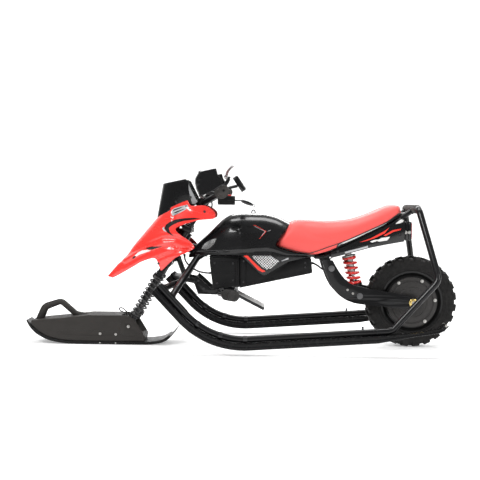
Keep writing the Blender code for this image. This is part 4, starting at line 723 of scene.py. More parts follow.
def clear_tint(name, colour, transmission, rough):
    make = FinishMaker(name, coat=0.25, coat_roughness=0.04, ior=1.49, transmission=transmission, specular=0.25)
    tone = make.blend(make.cloud(12.0, 3.0), darker(colour, 0.9), darker(colour, 1.1))
    make.relief((make.cloud(60.0, 2.0), 0.03, 0.0006))
    return make.done(tone, make.spread(make.cloud(30.0, 5.0), 0.4, 0.7, rough, rough + 0.08))


def film(name, colour, rough=0.28):
    """Printed film, also laid as painted highlights: flat ink under a clear skin with a fine peel."""
    make = FinishMaker(name, coat=0.25, coat_roughness=0.08, specular=0.2)
    tone = make.blend(make.cloud(30.0, 3.0), darker(colour, 0.92), darker(colour, 1.05))
    make.relief((make.cloud(900.0, 2.0), 0.06, 0.0002))
    return make.done(tone, make.spread(make.cloud(40.0, 3.0), 0.3, 0.7, rough - 0.04, rough + 0.08))


def floor_finish(name, colour):
    make = FinishMaker(name)
    make.shader.inputs["Emission Color"].default_value = (1.0, 1.0, 1.0, 1.0)
    make.shader.inputs["Emission Strength"].default_value = 0.3
    tone = make.blend(make.cloud(1.5, 3.0), darker(colour, 0.985), colour)
    make.relief((make.cloud(120.0, 2.0), 0.02, 0.0004))
    return make.done(tone, 0.62)


def make_finishes(colours):
    """All finishes, from the colours that the user may change."""
    red = tuple(colours.cowl_red)
    seat = tuple(colours.seat_red)
    black = tuple(colours.frame_black)
    grey = tuple(colours.ski_grey)
    for key, maker, *values in (("tube", powder_coat, "tube_powder_black", black),
            ("sleeve", grip_rubber, "sleeve_grey_rubber", (0.07, 0.067, 0.065)),
            ("weld", powder_coat, "weld_bead_black", darker(black, 1.3), 0.46),
            ("box", moulded_plastic, "box_black_plastic", (0.006, 0.006, 0.0064), 0.42, 1500.0, 0.12),
            ("ski", moulded_plastic, "ski_grey_plastic", grey, 0.48, 1300.0, 0.3),
            ("ski_sole", moulded_plastic, "ski_sole_black", (0.0055, 0.0055, 0.0055), 0.32, 800.0, 0.4),
            ("skid", moulded_plastic, "skid_black_plastic", (0.005, 0.005, 0.0054), 0.22, 900.0, 0.4),
            ("tank", gloss_plastic, "tank_gloss_black", (0.004, 0.004, 0.0045), 0.28, 0.42, 0.22),
            ("tail", gloss_plastic, "tail_gloss_black", (0.0035, 0.0035, 0.004), 0.14, 0.6, 0.25),
            ("cowl", gloss_plastic, "cowl_gloss_red", red, 0.26, 0.65),
            # The cowl's inside: its red darkened to a quarter, painted shade
            ("cowl_inside", moulded_plastic, "cowl_inside_red", darker(red, 0.25), 0.5),
            ("seat", seat_vinyl, "seat_red_vinyl", seat), ("piping", seat_vinyl, "seat_piping_black",
            (0.02, 0.018, 0.018)), ("thread", grip_rubber, "seat_thread", (0.55, 0.1, 0.08)),
            ("tyre", tyre_rubber, "tyre_black_rubber", (0.007, 0.0066, 0.0064)),
            ("grip", grip_rubber, "grip_grey_rubber", (0.034, 0.031, 0.029)),
            ("peg", grip_rubber, "peg_black_rubber", (0.022, 0.021, 0.02)),
            ("cable", grip_rubber, "cable_black_sheath", (0.012, 0.012, 0.012)),
            ("steel", bright_steel, "bolt_zinc_steel", (0.5, 0.49, 0.47), 0.34),
            ("plate", bright_steel, "brake_plate_steel", (0.86, 0.85, 0.84), 0.5, (1.0, 30.0, 1.0)),
            ("rod", bright_steel, "lever_polished_steel", (0.8, 0.8, 0.8), 0.26, (1.0, 1.0, 0.1)),
            ("dark_steel", bright_steel, "dark_oxide_steel", (0.06, 0.06, 0.062), 0.34),
            ("bolt_grey", bright_steel, "bolt_grey_steel", (0.17, 0.17, 0.175), 0.42),
            ("brass", bright_steel, "axle_nut_yellow_zinc", (0.84, 0.64, 0.24), 0.24),
            ("spring_red", gloss_plastic, "spring_red_enamel", tuple(colours.spring_red), 0.26, 0.6),
            ("spring_black", gloss_plastic, "spring_black_enamel", (0.014, 0.014, 0.014), 0.28, 0.5),
            ("hub", cast_cover, "hub_cast_grey", (0.028, 0.026, 0.025)),
            ("rim", powder_coat, "rim_black_paint", (0.006, 0.006, 0.006), 0.32),
            ("shield", clear_tint, "windshield_smoke", (0.004, 0.0042, 0.0045), 0.1, 0.08),
            ("shield_band", clear_tint, "windshield_clear_band", (0.62, 0.63, 0.64), 0.6, 0.16),
            ("wire", bright_steel, "grille_silver_wire", (0.62, 0.62, 0.62), 0.34),
            ("lens", clear_tint, "lamp_red_lens", (0.55, 0.01, 0.008), 0.25, 0.12),
            ("glass", clear_tint, "display_dark_glass", (0.008, 0.009, 0.01), 0.05, 0.06),
            ("film_black", film, "film_black", (0.006, 0.006, 0.006)),
            ("film_silver", film, "film_silver", (0.42, 0.42, 0.43), 0.34),
            ("film_white", film, "film_white", (0.78, 0.77, 0.75), 0.34),
            ("film_red", film, "film_red", (0.78, 0.045, 0.03)), ("film_grey", film, "film_dark_grey",
            (0.03, 0.031, 0.031), 0.42), ("cell", film, "cell_wrap_blue", (0.05, 0.12, 0.35), 0.4),
            ("floor", floor_finish, "studio_floor", tuple(colours.floor_white))):
        FINISH[key] = maker(*values)


# Geometry Nodes: trees for what repeats

class TreeMaker:
    """Builds one Geometry Nodes tree with named inputs for its sizes."""

    def __init__(self, name, inputs):
        self.tree = bpy.data.node_groups.new(name, "GeometryNodeTree")
        self.tree.interface.new_socket("Geometry", in_out="INPUT", socket_type="NodeSocketGeometry")
        for label, kind, value in inputs:
            socket = self.tree.interface.new_socket(label, in_out="INPUT", socket_type=kind)
            if value is not None:
                socket.default_value = value
        self.tree.interface.new_socket("Finish", in_out="INPUT", socket_type="NodeSocketMaterial")
        self.tree.interface.new_socket("Geometry", in_out="OUTPUT", socket_type="NodeSocketGeometry")
        self.given = self.tree.nodes.new("NodeGroupInput").outputs

    def node(self, kind, links=(), **settings):
        made = self.tree.nodes.new(kind)
        for key, value in settings.items():
            setattr(made, key, value)
        for socket, value in dict(links).items():
            place = made.inputs[socket]
            if isinstance(value, bpy.types.NodeSocket):
                self.tree.links.new(value, place)
            else:
                place.default_value = value
        return made

    def finish(self, geometry):
        """Realize the copies, set the finish and end the tree."""
        real = self.node("GeometryNodeRealizeInstances", {"Geometry": geometry})
        coat = self.node("GeometryNodeSetMaterial", {"Geometry": real.outputs[0], "Material": self.given["Finish"]})
        end = self.tree.nodes.new("NodeGroupOutput")
        self.tree.links.new(coat.outputs[0], end.inputs[0])
        return self.tree


NUMBER = "NodeSocketFloat"
WHOLE = "NodeSocketInt"


def bolt_tree():
    """A round or hexagon head on a washer at every vertex, turned to its facing."""
    make = TreeMaker("bolts_on_points", [("Head Radius", NUMBER, 0.005), ("Head Height", NUMBER, 0.004),
        ("Washer Radius", NUMBER, 0.007), ("Corners", WHOLE, 6)])
    head = make.node("GeometryNodeMeshCylinder", {"Vertices": make.given["Corners"],
        "Radius": make.given["Head Radius"], "Depth": make.given["Head Height"]})
    half = make.node("ShaderNodeMath", {0: make.given["Head Height"], 1: 0.5}, operation="MULTIPLY")
    lift = make.node("ShaderNodeMath", {0: half.outputs[0], 1: 0.0014}, operation="ADD")
    raised = make.node("ShaderNodeCombineXYZ", {"Z": lift.outputs[0]})
    moved = make.node("GeometryNodeTransform", {"Geometry": head.outputs["Mesh"], "Translation": raised.outputs[0]})
    dome_size = make.node("ShaderNodeMath", {0: make.given["Head Radius"], 1: 0.72}, operation="MULTIPLY")
    dome_high = make.node("ShaderNodeMath", {0: make.given["Head Height"], 1: 0.0014}, operation="ADD")
    dome_place = make.node("ShaderNodeCombineXYZ", {"Z": dome_high.outputs[0]})
    dome = make.node("GeometryNodeMeshCone", {"Vertices": 16, "Radius Bottom": dome_size.outputs[0],
        "Radius Top": 0.0016, "Depth": 0.0009})
    dome_moved = make.node("GeometryNodeTransform", {"Geometry": dome.outputs["Mesh"],
        "Translation": dome_place.outputs[0]})
    washer = make.node("GeometryNodeMeshCylinder", {"Vertices": 24, "Radius": make.given["Washer Radius"],
        "Depth": 0.0028})
    both = make.node("GeometryNodeJoinGeometry")
    for part in (moved, dome_moved, washer):
        make.tree.links.new(part.outputs[0], both.inputs[0])
    facing = make.node("GeometryNodeInputNamedAttribute", {"Name": "facing"}, data_type="FLOAT_VECTOR")
    turn = make.node("FunctionNodeAlignRotationToVector", {"Vector": facing.outputs[0]}, axis="Z")
    copies = make.node("GeometryNodeInstanceOnPoints", {"Points": make.given["Geometry"],
        "Instance": both.outputs[0], "Rotation": turn.outputs[0]})
    return make.finish(copies.outputs[0])


def wire_tree():
    """Round wire along every edge chain."""
    make = TreeMaker("wire_on_edges", [("Wire Radius", NUMBER, 0.001), ("Sides", WHOLE, 8)])
    line = make.node("GeometryNodeMeshToCurve", {"Mesh": make.given["Geometry"]})
    ring = make.node("GeometryNodeCurvePrimitiveCircle", {"Resolution": make.given["Sides"],
        "Radius": make.given["Wire Radius"]})
    wire = make.node("GeometryNodeCurveToMesh", {"Curve": line.outputs[0], "Profile Curve": ring.outputs[0],
        "Fill Caps": True})
    return make.finish(wire.outputs[0])


def coil_tree():
    """A coil spring standing on the origin, its ends closed down square."""
    make = TreeMaker("coil_spring", [("Coil Radius", NUMBER, 0.02), ("Wire Radius", NUMBER, 0.003),
        ("Height", NUMBER, 0.1), ("Turns", NUMBER, 8.0)])
    spiral = make.node("GeometryNodeCurveSpiral", {"Resolution": 40, "Rotations": make.given["Turns"],
        "Start Radius": make.given["Coil Radius"], "End Radius": make.given["Coil Radius"],
        "Height": make.given["Height"]})
    ring = make.node("GeometryNodeCurvePrimitiveCircle", {"Resolution": 14, "Radius": make.given["Wire Radius"]})
    wire = make.node("GeometryNodeCurveToMesh", {"Curve": spiral.outputs[0], "Profile Curve": ring.outputs[0],
        "Fill Caps": True})
    seats = make.node("GeometryNodeJoinGeometry")
    make.tree.links.new(wire.outputs[0], seats.inputs[0])
    for factor in (0.0, 1.0):
        flat = make.node("GeometryNodeCurvePrimitiveCircle", {"Resolution": 64,
            "Radius": make.given["Coil Radius"]})
        rise = make.node("ShaderNodeMath", {0: make.given["Height"], 1: factor}, operation="MULTIPLY")
        raised = make.node("ShaderNodeCombineXYZ", {"Z": rise.outputs[0]})
        round_wire = make.node("GeometryNodeCurveToMesh", {"Curve": flat.outputs[0],
            "Profile Curve": ring.outputs[0]})
        moved = make.node("GeometryNodeTransform", {"Geometry": round_wire.outputs[0],
            "Translation": raised.outputs[0]})
        make.tree.links.new(moved.outputs[0], seats.inputs[0])
    return make.finish(seats.outputs[0])


def ring_tree():
    """Ribs of round section, evenly spaced on a line up from the origin."""
    make = TreeMaker("ribs_on_line", [("Rib Radius", NUMBER, 0.017), ("Rib Size", NUMBER, 0.001),
        ("Spacing", NUMBER, 0.005), ("Ribs", WHOLE, 10)])
    step = make.node("ShaderNodeCombineXYZ", {"Z": make.given["Spacing"]})
    line = make.node("GeometryNodeMeshLine", {"Count": make.given["Ribs"], "Offset": step.outputs[0]})
    ring = make.node("GeometryNodeCurvePrimitiveCircle", {"Resolution": 48, "Radius": make.given["Rib Radius"]})
    bead = make.node("GeometryNodeCurvePrimitiveCircle", {"Resolution": 8, "Radius": make.given["Rib Size"]})
    rib = make.node("GeometryNodeCurveToMesh", {"Curve": ring.outputs[0], "Profile Curve": bead.outputs[0]})
    copies = make.node("GeometryNodeInstanceOnPoints", {"Points": line.outputs[0], "Instance": rib.outputs[0]})
    return make.finish(copies.outputs[0])


def wheel_tree():
    """Copies of one block round the Y axis, at a radius, turned about it by a start angle."""
    make = TreeMaker("blocks_round_wheel", [("Radius", NUMBER, 0.17), ("Blocks", WHOLE, 24),
        ("Start Angle", NUMBER, 0.0)])
    ring = make.node("GeometryNodeMeshCircle", {"Vertices": make.given["Blocks"], "Radius": make.given["Radius"]})
    outward = make.node("GeometryNodeInputPosition")
    turn = make.node("FunctionNodeAlignRotationToVector", {"Vector": outward.outputs[0]}, axis="X")
    copies = make.node("GeometryNodeInstanceOnPoints", {"Points": ring.outputs[0],
        "Instance": make.given["Geometry"], "Rotation": turn.outputs[0]})
    tilt = make.node("ShaderNodeCombineXYZ", {"Z": make.given["Start Angle"]})
    spun = make.node("GeometryNodeTransform", {"Geometry": copies.outputs[0], "Rotation": tilt.outputs[0]})
    stand = make.node("GeometryNodeTransform", {"Geometry": spun.outputs[0], "Rotation": (pi / 2, 0.0, 0.0)})
    return make.finish(stand.outputs[0])


def stitch_tree():
    """Short stitches along every edge chain."""
    make = TreeMaker("stitches_on_edges", [("Stitch Length", NUMBER, 0.004), ("Gap", NUMBER, 0.002),
        ("Thread Radius", NUMBER, 0.0005)])
    line = make.node("GeometryNodeMeshToCurve", {"Mesh": make.given["Geometry"]})
    pitch = make.node("ShaderNodeMath", {0: make.given["Stitch Length"], 1: make.given["Gap"]}, operation="ADD")
    spots = make.node("GeometryNodeCurveToPoints", {"Curve": line.outputs[0], "Length": pitch.outputs[0]},
        mode="LENGTH")
    thread = make.node("GeometryNodeMeshCylinder", {"Vertices": 8, "Radius": make.given["Thread Radius"],
        "Depth": make.given["Stitch Length"]})
    turn = make.node("FunctionNodeAlignRotationToVector", {"Vector": spots.outputs["Tangent"]}, axis="Z")
    copies = make.node("GeometryNodeInstanceOnPoints", {"Points": spots.outputs[0], "Instance": thread.outputs[0],
        "Rotation": turn.outputs[0]})
    return make.finish(copies.outputs[0])


def grown(tree, base, finish, place=None, **sizes):
    """The plain mesh that a tree makes on a base mesh; each size goes to the input of its name."""
    item = linked("growing", base or bpy.data.meshes.new("empty"))
    step = item.modifiers.new("grow", "NODES")
    step.node_group = TREES[tree]
    sockets = {socket.name: socket.identifier for socket in TREES[tree].interface.items_tree
        if socket.in_out == "INPUT"}
    for key, value in sizes.items():
        step[sockets[key.replace("_", " ").title()]] = value
    step[sockets["Finish"]] = FINISH[finish]
    mesh = shown_mesh(item)
    if place is not None:
        mesh.transform(place)
    return coated(mesh, finish)


def standing(foot, run):
    """The place of something made upright on the origin."""
    return Matrix.Translation(foot) @ Vector(run).to_track_quat("Z", "Y").to_matrix().to_4x4()


def bolts(spots, finish, head=0.005, height=0.004, washer=0.0075, corners=6):
    """Bolt heads at pairs of place and facing."""
    mesh = bpy.data.meshes.new("bolt_spots")
    mesh.from_pydata([spot for spot, _ in spots], [], [])
    facing = mesh.attributes.new("facing", "FLOAT_VECTOR", "POINT")
    for index, (_, way) in enumerate(spots):
        facing.data[index].vector = way
    return grown("bolts", mesh, finish, head_radius=head, head_height=height, washer_radius=washer, corners=corners)


def lines_mesh(lines):
    """Edge chains through lists of points."""
    points = []
    edges = []
    for line in lines:
        first = len(points)
        points += [tuple(point) for point in line]
        edges += [(first + index, first + index + 1) for index in range(len(line) - 1)]
    mesh = bpy.data.meshes.new("lines")
    mesh.from_pydata(points, edges, [])
    return mesh


def wires(lines, finish, radius, sides):
    """Round wire along lists of points."""
    return grown("wire", lines_mesh(lines), finish, wire_radius=radius, sides=sides)


def side_spots(y, places):
    """Places on both sides at a distance from the middle, each with its outward facing."""
    return [(Vector((x, side * y, z)), ACROSS * side) for side in SIDES for x, z in places]


def side_hit(target, x, z, side, far=0.6):
    """Where a ray from one side meets a surface, and the normal there."""
    return target.ray_cast(Vector((x, side * far, z)), Vector((0.0, -side, 0.0)))[:2]


def laid_spots(target, places, sink):
    """Places on a surface seen from both sides, a little sunk into it."""
    hits = [(side, side_hit(target, x, z, side)[0]) for side in SIDES for x, z in places]
    return [(hit - ACROSS * side * sink, ACROSS * side) for side, hit in hits if hit is not None]


# Frame

RUNNER_LINE = [(point.x, point.z) for point in bent_path(mm3(-305, 0, 258, -111, 0, 51, 502, 0, 93.5), [0.3],
    radians(3))]
ARCH_SHAPE = mm3(-290, -262, 246, -226, -85, 260, -226, 85, 260, -290, 262, 246)
TANK_CREASE = mm(-215, 352, -185, 372, -133, 373.5, -81, 374.5, -23, 378, 40, 383, 95, 387, 129, 379, 178, 364,
    280, 360)


def spine_path():
    return bent_path([on_axis(0.375, -0.012), (-0.165, 0, BACKBONE_Z), (0.325, 0, BACKBONE_Z)], [0.06])


def down_path():
    return bent_path([(-0.13, -0.014, BACKBONE_Z + 0.001), (-0.18, -0.04, 0.346), (-0.262, -RUNNER_Y, 0.211)],
        [0.05])


def rail_path():
    under = [(x, z) for x, z in SEAT_UNDER if x > 0.33]
    line = offset_path(under, -0.0149)
    middle = [Vector((point[0], RAIL_Y, point[1])) for point in line[:-2]]
    top = Vector((HOOP_TOP[0], RAIL_Y, HOOP_TOP[1]))
    run = (top - middle[-1]).normalized()
    corners = [Vector((0.32, RAIL_Y, BACKBONE_Z - 0.018))] + middle + [top - run * 0.0128]
    return corners[:1] + smooth_path(corners[1:-1], 16) + corners[-1:]


def lamp_tie():
    start, end = rail_path()[-2:]
    spot = start.lerp(end, (0.642 - start.x) / (end.x - start.x))
    return Vector((spot.x, 0.0, spot.z))


def hoop_path():
    foot = Vector((0.502, -RUNNER_Y, 0.0935))
    before = RUNNER_LINE[-2]
    run = Vector((0.502 - before[0], 0.0, 0.0935 - before[1])).normalized()
    near = [foot + run * 0.0003, foot + run * 0.055, Vector((0.73, -0.262, 0.287)),
        Vector((HOOP_TOP[0], -0.15, HOOP_TOP[1]))]
    far = [Vector((point.x, -point.y, point.z)) for point in reversed(near)]
    return bent_path(near + far, [0.04, 0.045, 0.035, 0.035, 0.045, 0.04], radians(8))


def peg_path():
    return [Vector((-0.028, -0.252, 0.219)), Vector((-0.085, -0.13, 0.213)), Vector((-0.085, 0.13, 0.213)),
        Vector((-0.028, 0.252, 0.219))]


def weld(centre, axis, radius, size=0.0024):
    """A rippled bead round a joint."""
    place = standing(Vector(centre), axis)
    count = 60
    points = [place @ Vector((radius * cos(2 * pi * step / count), radius * sin(2 * pi * step / count), 0.0))
        for step in range(count)]
    radii = [size * (1.0 + 0.22 * sin(step * 2 * pi / 3.0)) for step in range(count)]
    return coated(pipe(points, radii, 8, closed=True), "weld")


def build_main_frame():
    head_low = on_axis(0.318)
    head_high = on_axis(0.432)
    strut_head = on_axis(0.336, -0.02)
    strut_run = (strut_head - Vector((-0.226, 0, 0.26))).normalized()
    strut_foot = Vector((-0.226, 0, 0.26)) + strut_run * 0.01
    spine = spine_path()
    tubes = [pipe(spine, 0.019, 36), rod(head_low, head_high, 0.027, 48, 0.0015),
        rod(strut_head, strut_foot, 0.0105, 28), pipe(rail_path(), 0.01, 24),
        rod((0.416, -RAIL_Y, 0.392), (0.416, RAIL_Y, 0.392), 0.007, 24),
        box((0.284, -LUG_Y, 0.3486), (0.342, LUG_Y, 0.3626), edge=0.002)]
    tubes.append(mirrored(tubes[3]))
    for spot in (rail_path()[-2], lamp_tie()):
        tubes.append(rod((spot.x, -RAIL_Y, spot.z), (spot.x, RAIL_Y, spot.z), 0.007, 24))
    lug = [(0.3, 0.3526), (0.342, 0.3526)]
    lug += [(0.35 + 0.016 * cos(turn), 0.312 + 0.016 * sin(turn)) for turn in [radians(30 - 14 * index)
        for index in range(16)]]
    plate_left = plate(lug, -LUG_Y, -0.066, edge=0.0008)
    tubes += [plate_left, mirrored(plate_left)]
    parts = coats("tube", *tubes)
    parts += [weld(spine[3], spine[4] - spine[2], 0.0192), weld(strut_head - strut_run * 0.01, strut_run, 0.0108),
        weld(strut_foot + strut_run * 0.004, strut_run, 0.0108)]
    for side in SIDES:
        parts.append(weld((0.322, side * RAIL_Y, 0.3605), (0.3, 0.0, 1.0), 0.0102))
        parts.append(weld((0.342, side * 0.069, 0.35), (0.0, 0.0, 1.0), 0.0068, 0.0018))
        parts.append(weld(lamp_tie() + ACROSS * side * (RAIL_Y - 0.009), ACROSS, 0.0072, 0.0016))
    cups = [rod(on_axis(0.3115), on_axis(0.318), 0.0285, 48, 0.001),
        rod(on_axis(0.432), on_axis(0.4365), 0.0285, 48, 0.001)]
    parts += coats("dark_steel", *cups)
    add_piece("main_frame_tubes", parts, "chassis", ["main_frame"])
    arch = coated(pipe(bent_path(ARCH_SHAPE, [0.1, 0.1]), 0.0125, 28), "tube")
    ends = [weld(Vector((-0.2885, side * 0.2585, 0.2465)), (-0.33, side * 0.94, -0.06), 0.0128) for side in SIDES]
    add_piece("front_arch_tube", [arch] + ends, "chassis", ["front_arch"])


SLEEVE_END = -0.205


def build_side_tubes():
    down = down_path()
    runner = pipe([(x, -RUNNER_Y, z) for x, z in RUNNER_LINE], 0.0125, 32)
    cap = rod((RUNNER_LINE[0][0] - 0.0006, -RUNNER_Y, RUNNER_LINE[0][1] + 0.001),
        (RUNNER_LINE[0][0] + 0.004, -RUNNER_Y, RUNNER_LINE[0][1] - 0.005), 0.0115, 28, 0.001)
    front = [Vector((x, -RUNNER_Y, z)) for x, z in RUNNER_LINE if x < SLEEVE_END]
    sleeve = coated(pipe(front, 0.0142, 32), "tube")
    rim = weld(front[-1], front[-1] - front[-2], 0.0136, 0.0012)
    parts = [coated(runner, "tube"), coated(pipe(down, 0.0125, 28), "tube"), sleeve, rim, coated(cap, "box"),
        weld(down[-1] - (down[-1] - down[-2]).normalized() * 0.012, down[-1] - down[-2], 0.0128),
        weld(down[0].lerp(down[1], 0.55), down[1] - down[0], 0.013)]
    add_pair("side_tubes", parts, "chassis", "side_frame")


def build_hoop():
    path = hoop_path()
    parts = [coated(pipe(path, 0.0125, 32), "tube")]
    top = [point for point in path if point.z > HOOP_TOP[1] - 0.0005]
    first = top[0] + (top[-1] - top[0]).normalized() * 0.012
    last = top[-1] - (top[-1] - top[0]).normalized() * 0.012
    sleeve = rod(first, last, 0.0162, 36, 0.002)
    parts.append(coated(sleeve, "sleeve"))
    ribs = grown("rings", None, "sleeve", standing(first + ACROSS * 0.004, last - first), rib_radius=0.016,
        rib_size=0.0006, spacing=0.006, ribs=int(((last - first).length - 0.008) / 0.006))
    parts.append(ribs)
    rail_end = rail_path()[-1]
    run = (rail_path()[-1] - rail_path()[-2]).normalized()
    for side in SIDES:
        spot = Vector((rail_end.x, side * rail_end.y, rail_end.z)) - run * 0.003
        parts.append(weld(spot, run, 0.0102))
        foot = Vector((path[0].x, side * RUNNER_Y, path[0].z))
        parts.append(weld(foot, path[1] - path[0], 0.0127, 0.0016))
    add_piece("rear_hoop_tube", parts, "chassis", ["rear_hoop"])


SKID_SECTION = [(-0.0225, 0.0), (-0.024, 0.08), (-0.024, 0.36), (-0.0228, 0.42), (-0.0228, 0.5), (-0.024, 0.56),
    (-0.024, 0.9), (-0.0215, 1.0), (-0.006, 1.0), (-0.004, 0.9), (0.004, 0.9), (0.006, 1.0), (0.0215, 1.0),
    (0.024, 0.9), (0.024, 0.56), (0.0228, 0.5), (0.0228, 0.42), (0.024, 0.36), (0.024, 0.08), (0.0225, 0.0)]


def build_skids():
    """The runners' plastic skids: grooved sides, a keel channel below and a tail that turns up."""
    top = offset_path(RUNNER_LINE, -0.0128)
    under = offset_path(RUNNER_LINE, -0.0388)
    pairs = list(zip(top, under))
    tail = [((0.503, 0.0809), (0.505, 0.0546)), ((0.556, 0.0842), (0.572, 0.0668)), ((0.64, 0.0925), (0.64, 0.08)),
        ((0.7, 0.103), (0.704, 0.0905)), ((0.728, 0.1093), (0.736, 0.0975)), ((0.752, 0.127), (0.764, 0.121))]
    high = smooth_path([(x, 0, z) for (x, z), _ in tail], 24)
    low = smooth_path([(x, 0, z) for _, (x, z) in tail], 24)
    pairs = pairs[:-1] + [((a.x, a.z), (b.x, b.z)) for a, b in zip(high, low)]
    rings = []
    for upper, lower in pairs:
        rings.append([Vector((between(upper[0], lower[0], share), -RUNNER_Y + y,
            between(upper[1], lower[1], share))) for y, share in SKID_SECTION])
    solid = coated(bevelled(loft(rings), 0.0006, 2, 30), "skid")
    upper, lower = pairs[int(0.985 * (len(pairs) - 1))]
    middle = Vector(((upper[0] + lower[0]) / 2, 0.0, (upper[1] + lower[1]) / 2 + 0.004))
    spots = [(middle + ACROSS * (-RUNNER_Y + side * 0.0236), ACROSS * side) for side in SIDES]
    heads = bolts(spots, "steel", 0.0034, 0.0018, 0.0048, 20)
    clamps = []
    for place in (0.3, 0.62, 0.93):
        index = int(place * (len(RUNNER_LINE) - 1))
        x, z = RUNNER_LINE[index]
        run = Vector((RUNNER_LINE[index][0] - RUNNER_LINE[index - 1][0], 0,
            RUNNER_LINE[index][1] - RUNNER_LINE[index - 1][1]))
        run.normalize()
        centre = Vector((x, -RUNNER_Y, z))
        clamps.append(coated(rod(centre - run * 0.008, centre + run * 0.008, 0.0138, 32, 0.0008), "dark_steel"))
    x, z = RUNNER_LINE[-1]
    stud = [(Vector((x - 0.052, -RUNNER_Y, z + 0.0128 - 0.0068)), UP)]
    parts = [solid, heads, bolts(stud, "dark_steel", 0.0036, 0.012, 0.0066)] + clamps
    add_pair("skid_runner", parts, "chassis", "skid", 30)


def build_pegs():
    """The bar with the cheeks, and the ribbed foot pegs on its ends."""
    bar = pipe(bent_path(peg_path(), [0.03, 0.03]), 0.01, 28)
    cheek = plate(mm(-190, 254, -178, 278, -150, 254.5, -119, 226, -70, 223.5, -20, 218, -20, 204, -75, 203,
        -173, 206), -0.078, -0.072, edge=0.0012)
    strut = rod((-0.2265, -STRUT_Y, 0.2635), (-0.178, -STRUT_Y, 0.255), 0.009, 24)
    pin = rod((-0.024, -0.079, 0.211), (-0.024, 0.079, 0.211), 0.004, 20)
    parts = coats("tube", bar, cheek, mirrored(cheek), strut, mirrored(strut), pin)
    parts += [weld((-0.085, side * 0.079, 0.213), ACROSS, 0.0102, 0.0018) for side in SIDES]
    parts += [weld((-0.1865, side * STRUT_Y, 0.2565), (0.98, 0, -0.17), 0.0092, 0.0018) for side in SIDES]
    spots = side_spots(0.0775, ((-0.15, 0.226), (-0.172, 0.258)))
    parts.append(bolts(spots, "dark_steel", 0.0034, 0.0022, 0.005))
    add_piece("peg_bar", parts, "chassis", ["peg_frame"])
    end, knee = peg_path()[:2]
    run = (end - knee).normalized()
    length = 0.085
    start = end + run * 0.006 - run * length
    profile = [(0.0098, 0.0), (0.016, 0.0), (0.019, 0.0015), (0.02, 0.004), (0.02, length - 0.008),
        (0.021, length - 0.006), (0.021, length - 0.002), (0.0195, length), (0.006, length),
        (0.005, length - 0.002), (0.0, length - 0.002)]
    core = coated(turned(profile, start, run, 48), "peg")
    ribs = grown("rings", None, "peg", standing(start + run * 0.008, run), rib_radius=0.0196, rib_size=0.0014,
        spacing=0.0052, ribs=13)
    add_pair("foot_peg_rubber", [core, ribs], "chassis", "foot_peg")


def build_brake_plate(details):
    """The ribbed plate, its side flanges and knuckle."""
    place = Matrix.Translation((-0.024, 0.0, 0.211)) @ Matrix.Rotation(radians(27), 4, "Y")
    blade = box((0.004, -0.07, -0.004), (0.128, 0.07, -0.001), edge=0.0008)
    flange = box((0.004, -0.07, -0.011), (0.128, -0.0675, 0.0006), edge=0.0008)
    lip = box((0.1255, -0.069, -0.0058), (0.128, 0.069, -0.0012), edge=0.0008)
    knuckle = rod((0, -0.07, 0), (0, 0.07, 0), 0.0085, 28, 0.001)
    lines = []
    for index in range(details.plate_ribs):
        y = between(-0.062, 0.062, index / (details.plate_ribs - 1))
        lines.append([(0.009, y, -0.0004), (0.123, y, -0.0004)])
    ribs = wires(lines, "plate", 0.0021, 10)
    parts = [coated(blade, "dark_steel"), coated(knuckle, "dark_steel"), ribs]
    parts += coats("dark_steel", flange, mirrored(flange), lip)
    for mesh in parts:
        mesh.transform(place)
    add_piece("brake_plate_ribbed", parts, "brake", ["brake_plate"])


# Covers, boxes and seat

def tank_rows():
    rows = []
    low_line = [(x, low) for x, low, _, _ in TANK_STATIONS]
    high_line = [(x, high) for x, _, high, _ in TANK_STATIONS]
    wide_line = [(x, wide) for x, _, _, wide in TANK_STATIONS]
    count = 121
    for station in range(91):
        x = between(-0.212, 0.28, station / 90)
        low = eased(low_line, x)
        high = eased(high_line, x)
        wide = eased(wide_line, x)
        crease = min(eased(TANK_CREASE, x), high - 0.004)
        row = []
        for index in range(count):
            turn = pi * index / (count - 1)
            across = copysign(abs(cos(turn)) ** (2 / 2.7), cos(turn))
            z = low + (high - low) * sin(turn) ** (2 / 2.2)
            step = min(1.0, max(0.0, (crease - z) / 0.003 + 0.5))
            tuck = 0.003 * step * step * (3 - 2 * step)
            swell = 0.0016 * bell(z, crease + 0.007, 0.006)
            y = -across * (wide - tuck + (swell if abs(across) > 0.8 else 0.0) * min(1.0, wide / 0.1) - 0.0016)
            row.append((x, y, z))
        rows.append(row)
    return rows


def seat_block(clearance):
    under = [tuple(point) for point in offset_path(SEAT_UNDER, -clearance)]
    over = [tuple(point) for point in offset_path(SEAT_OVER, clearance)]
    return plate([(under[0][0] - clearance, under[0][1])] + under + list(reversed(over[:-1])), -0.3, 0.3)


def laid_line(points, target, side, lift=0.0006, step=0.004):
    """A line in X and Z laid on a surface from one side."""
    line = []
    for first, second in zip(points, points[1:]):
        first = Vector(first)
        second = Vector(second)
        count = max(1, int((second - first).length / step))
        for index in range(count + 1):
            spot = first.lerp(second, index / count)
            hit, normal = side_hit(target, spot.x, spot.y, side)
            if hit is not None and (not line or (hit - line[-1]).length > 0.0005):
                line.append(hit + normal * (lift if normal.y * side > 0 else -lift))
    return line


CHEVRON = mm(46.4, 475, 89, 455.3, 73.5, 437.2, 72.7, 438, 86.8, 455.2, 46, 474.1)
CHEVRON_RED = mm(42, 479, 52.3, 477.5, 92.5, 455.3, 65.5, 426.2, 64.7, 427.1, 90.3, 455.2, 51.8, 476.6, 42, 478)
DASH = mm(97.6, 456.6, 109.4, 460.9, 109.1, 459.8, 98, 455.5)
NOSE_VENT = mm(-162, 384.4, -153.4, 402.1, -125.5, 419.9, -101, 427.2, -104.4, 413.1, -121.7, 388.4, -139.1, 380,
    -156.7, 380)


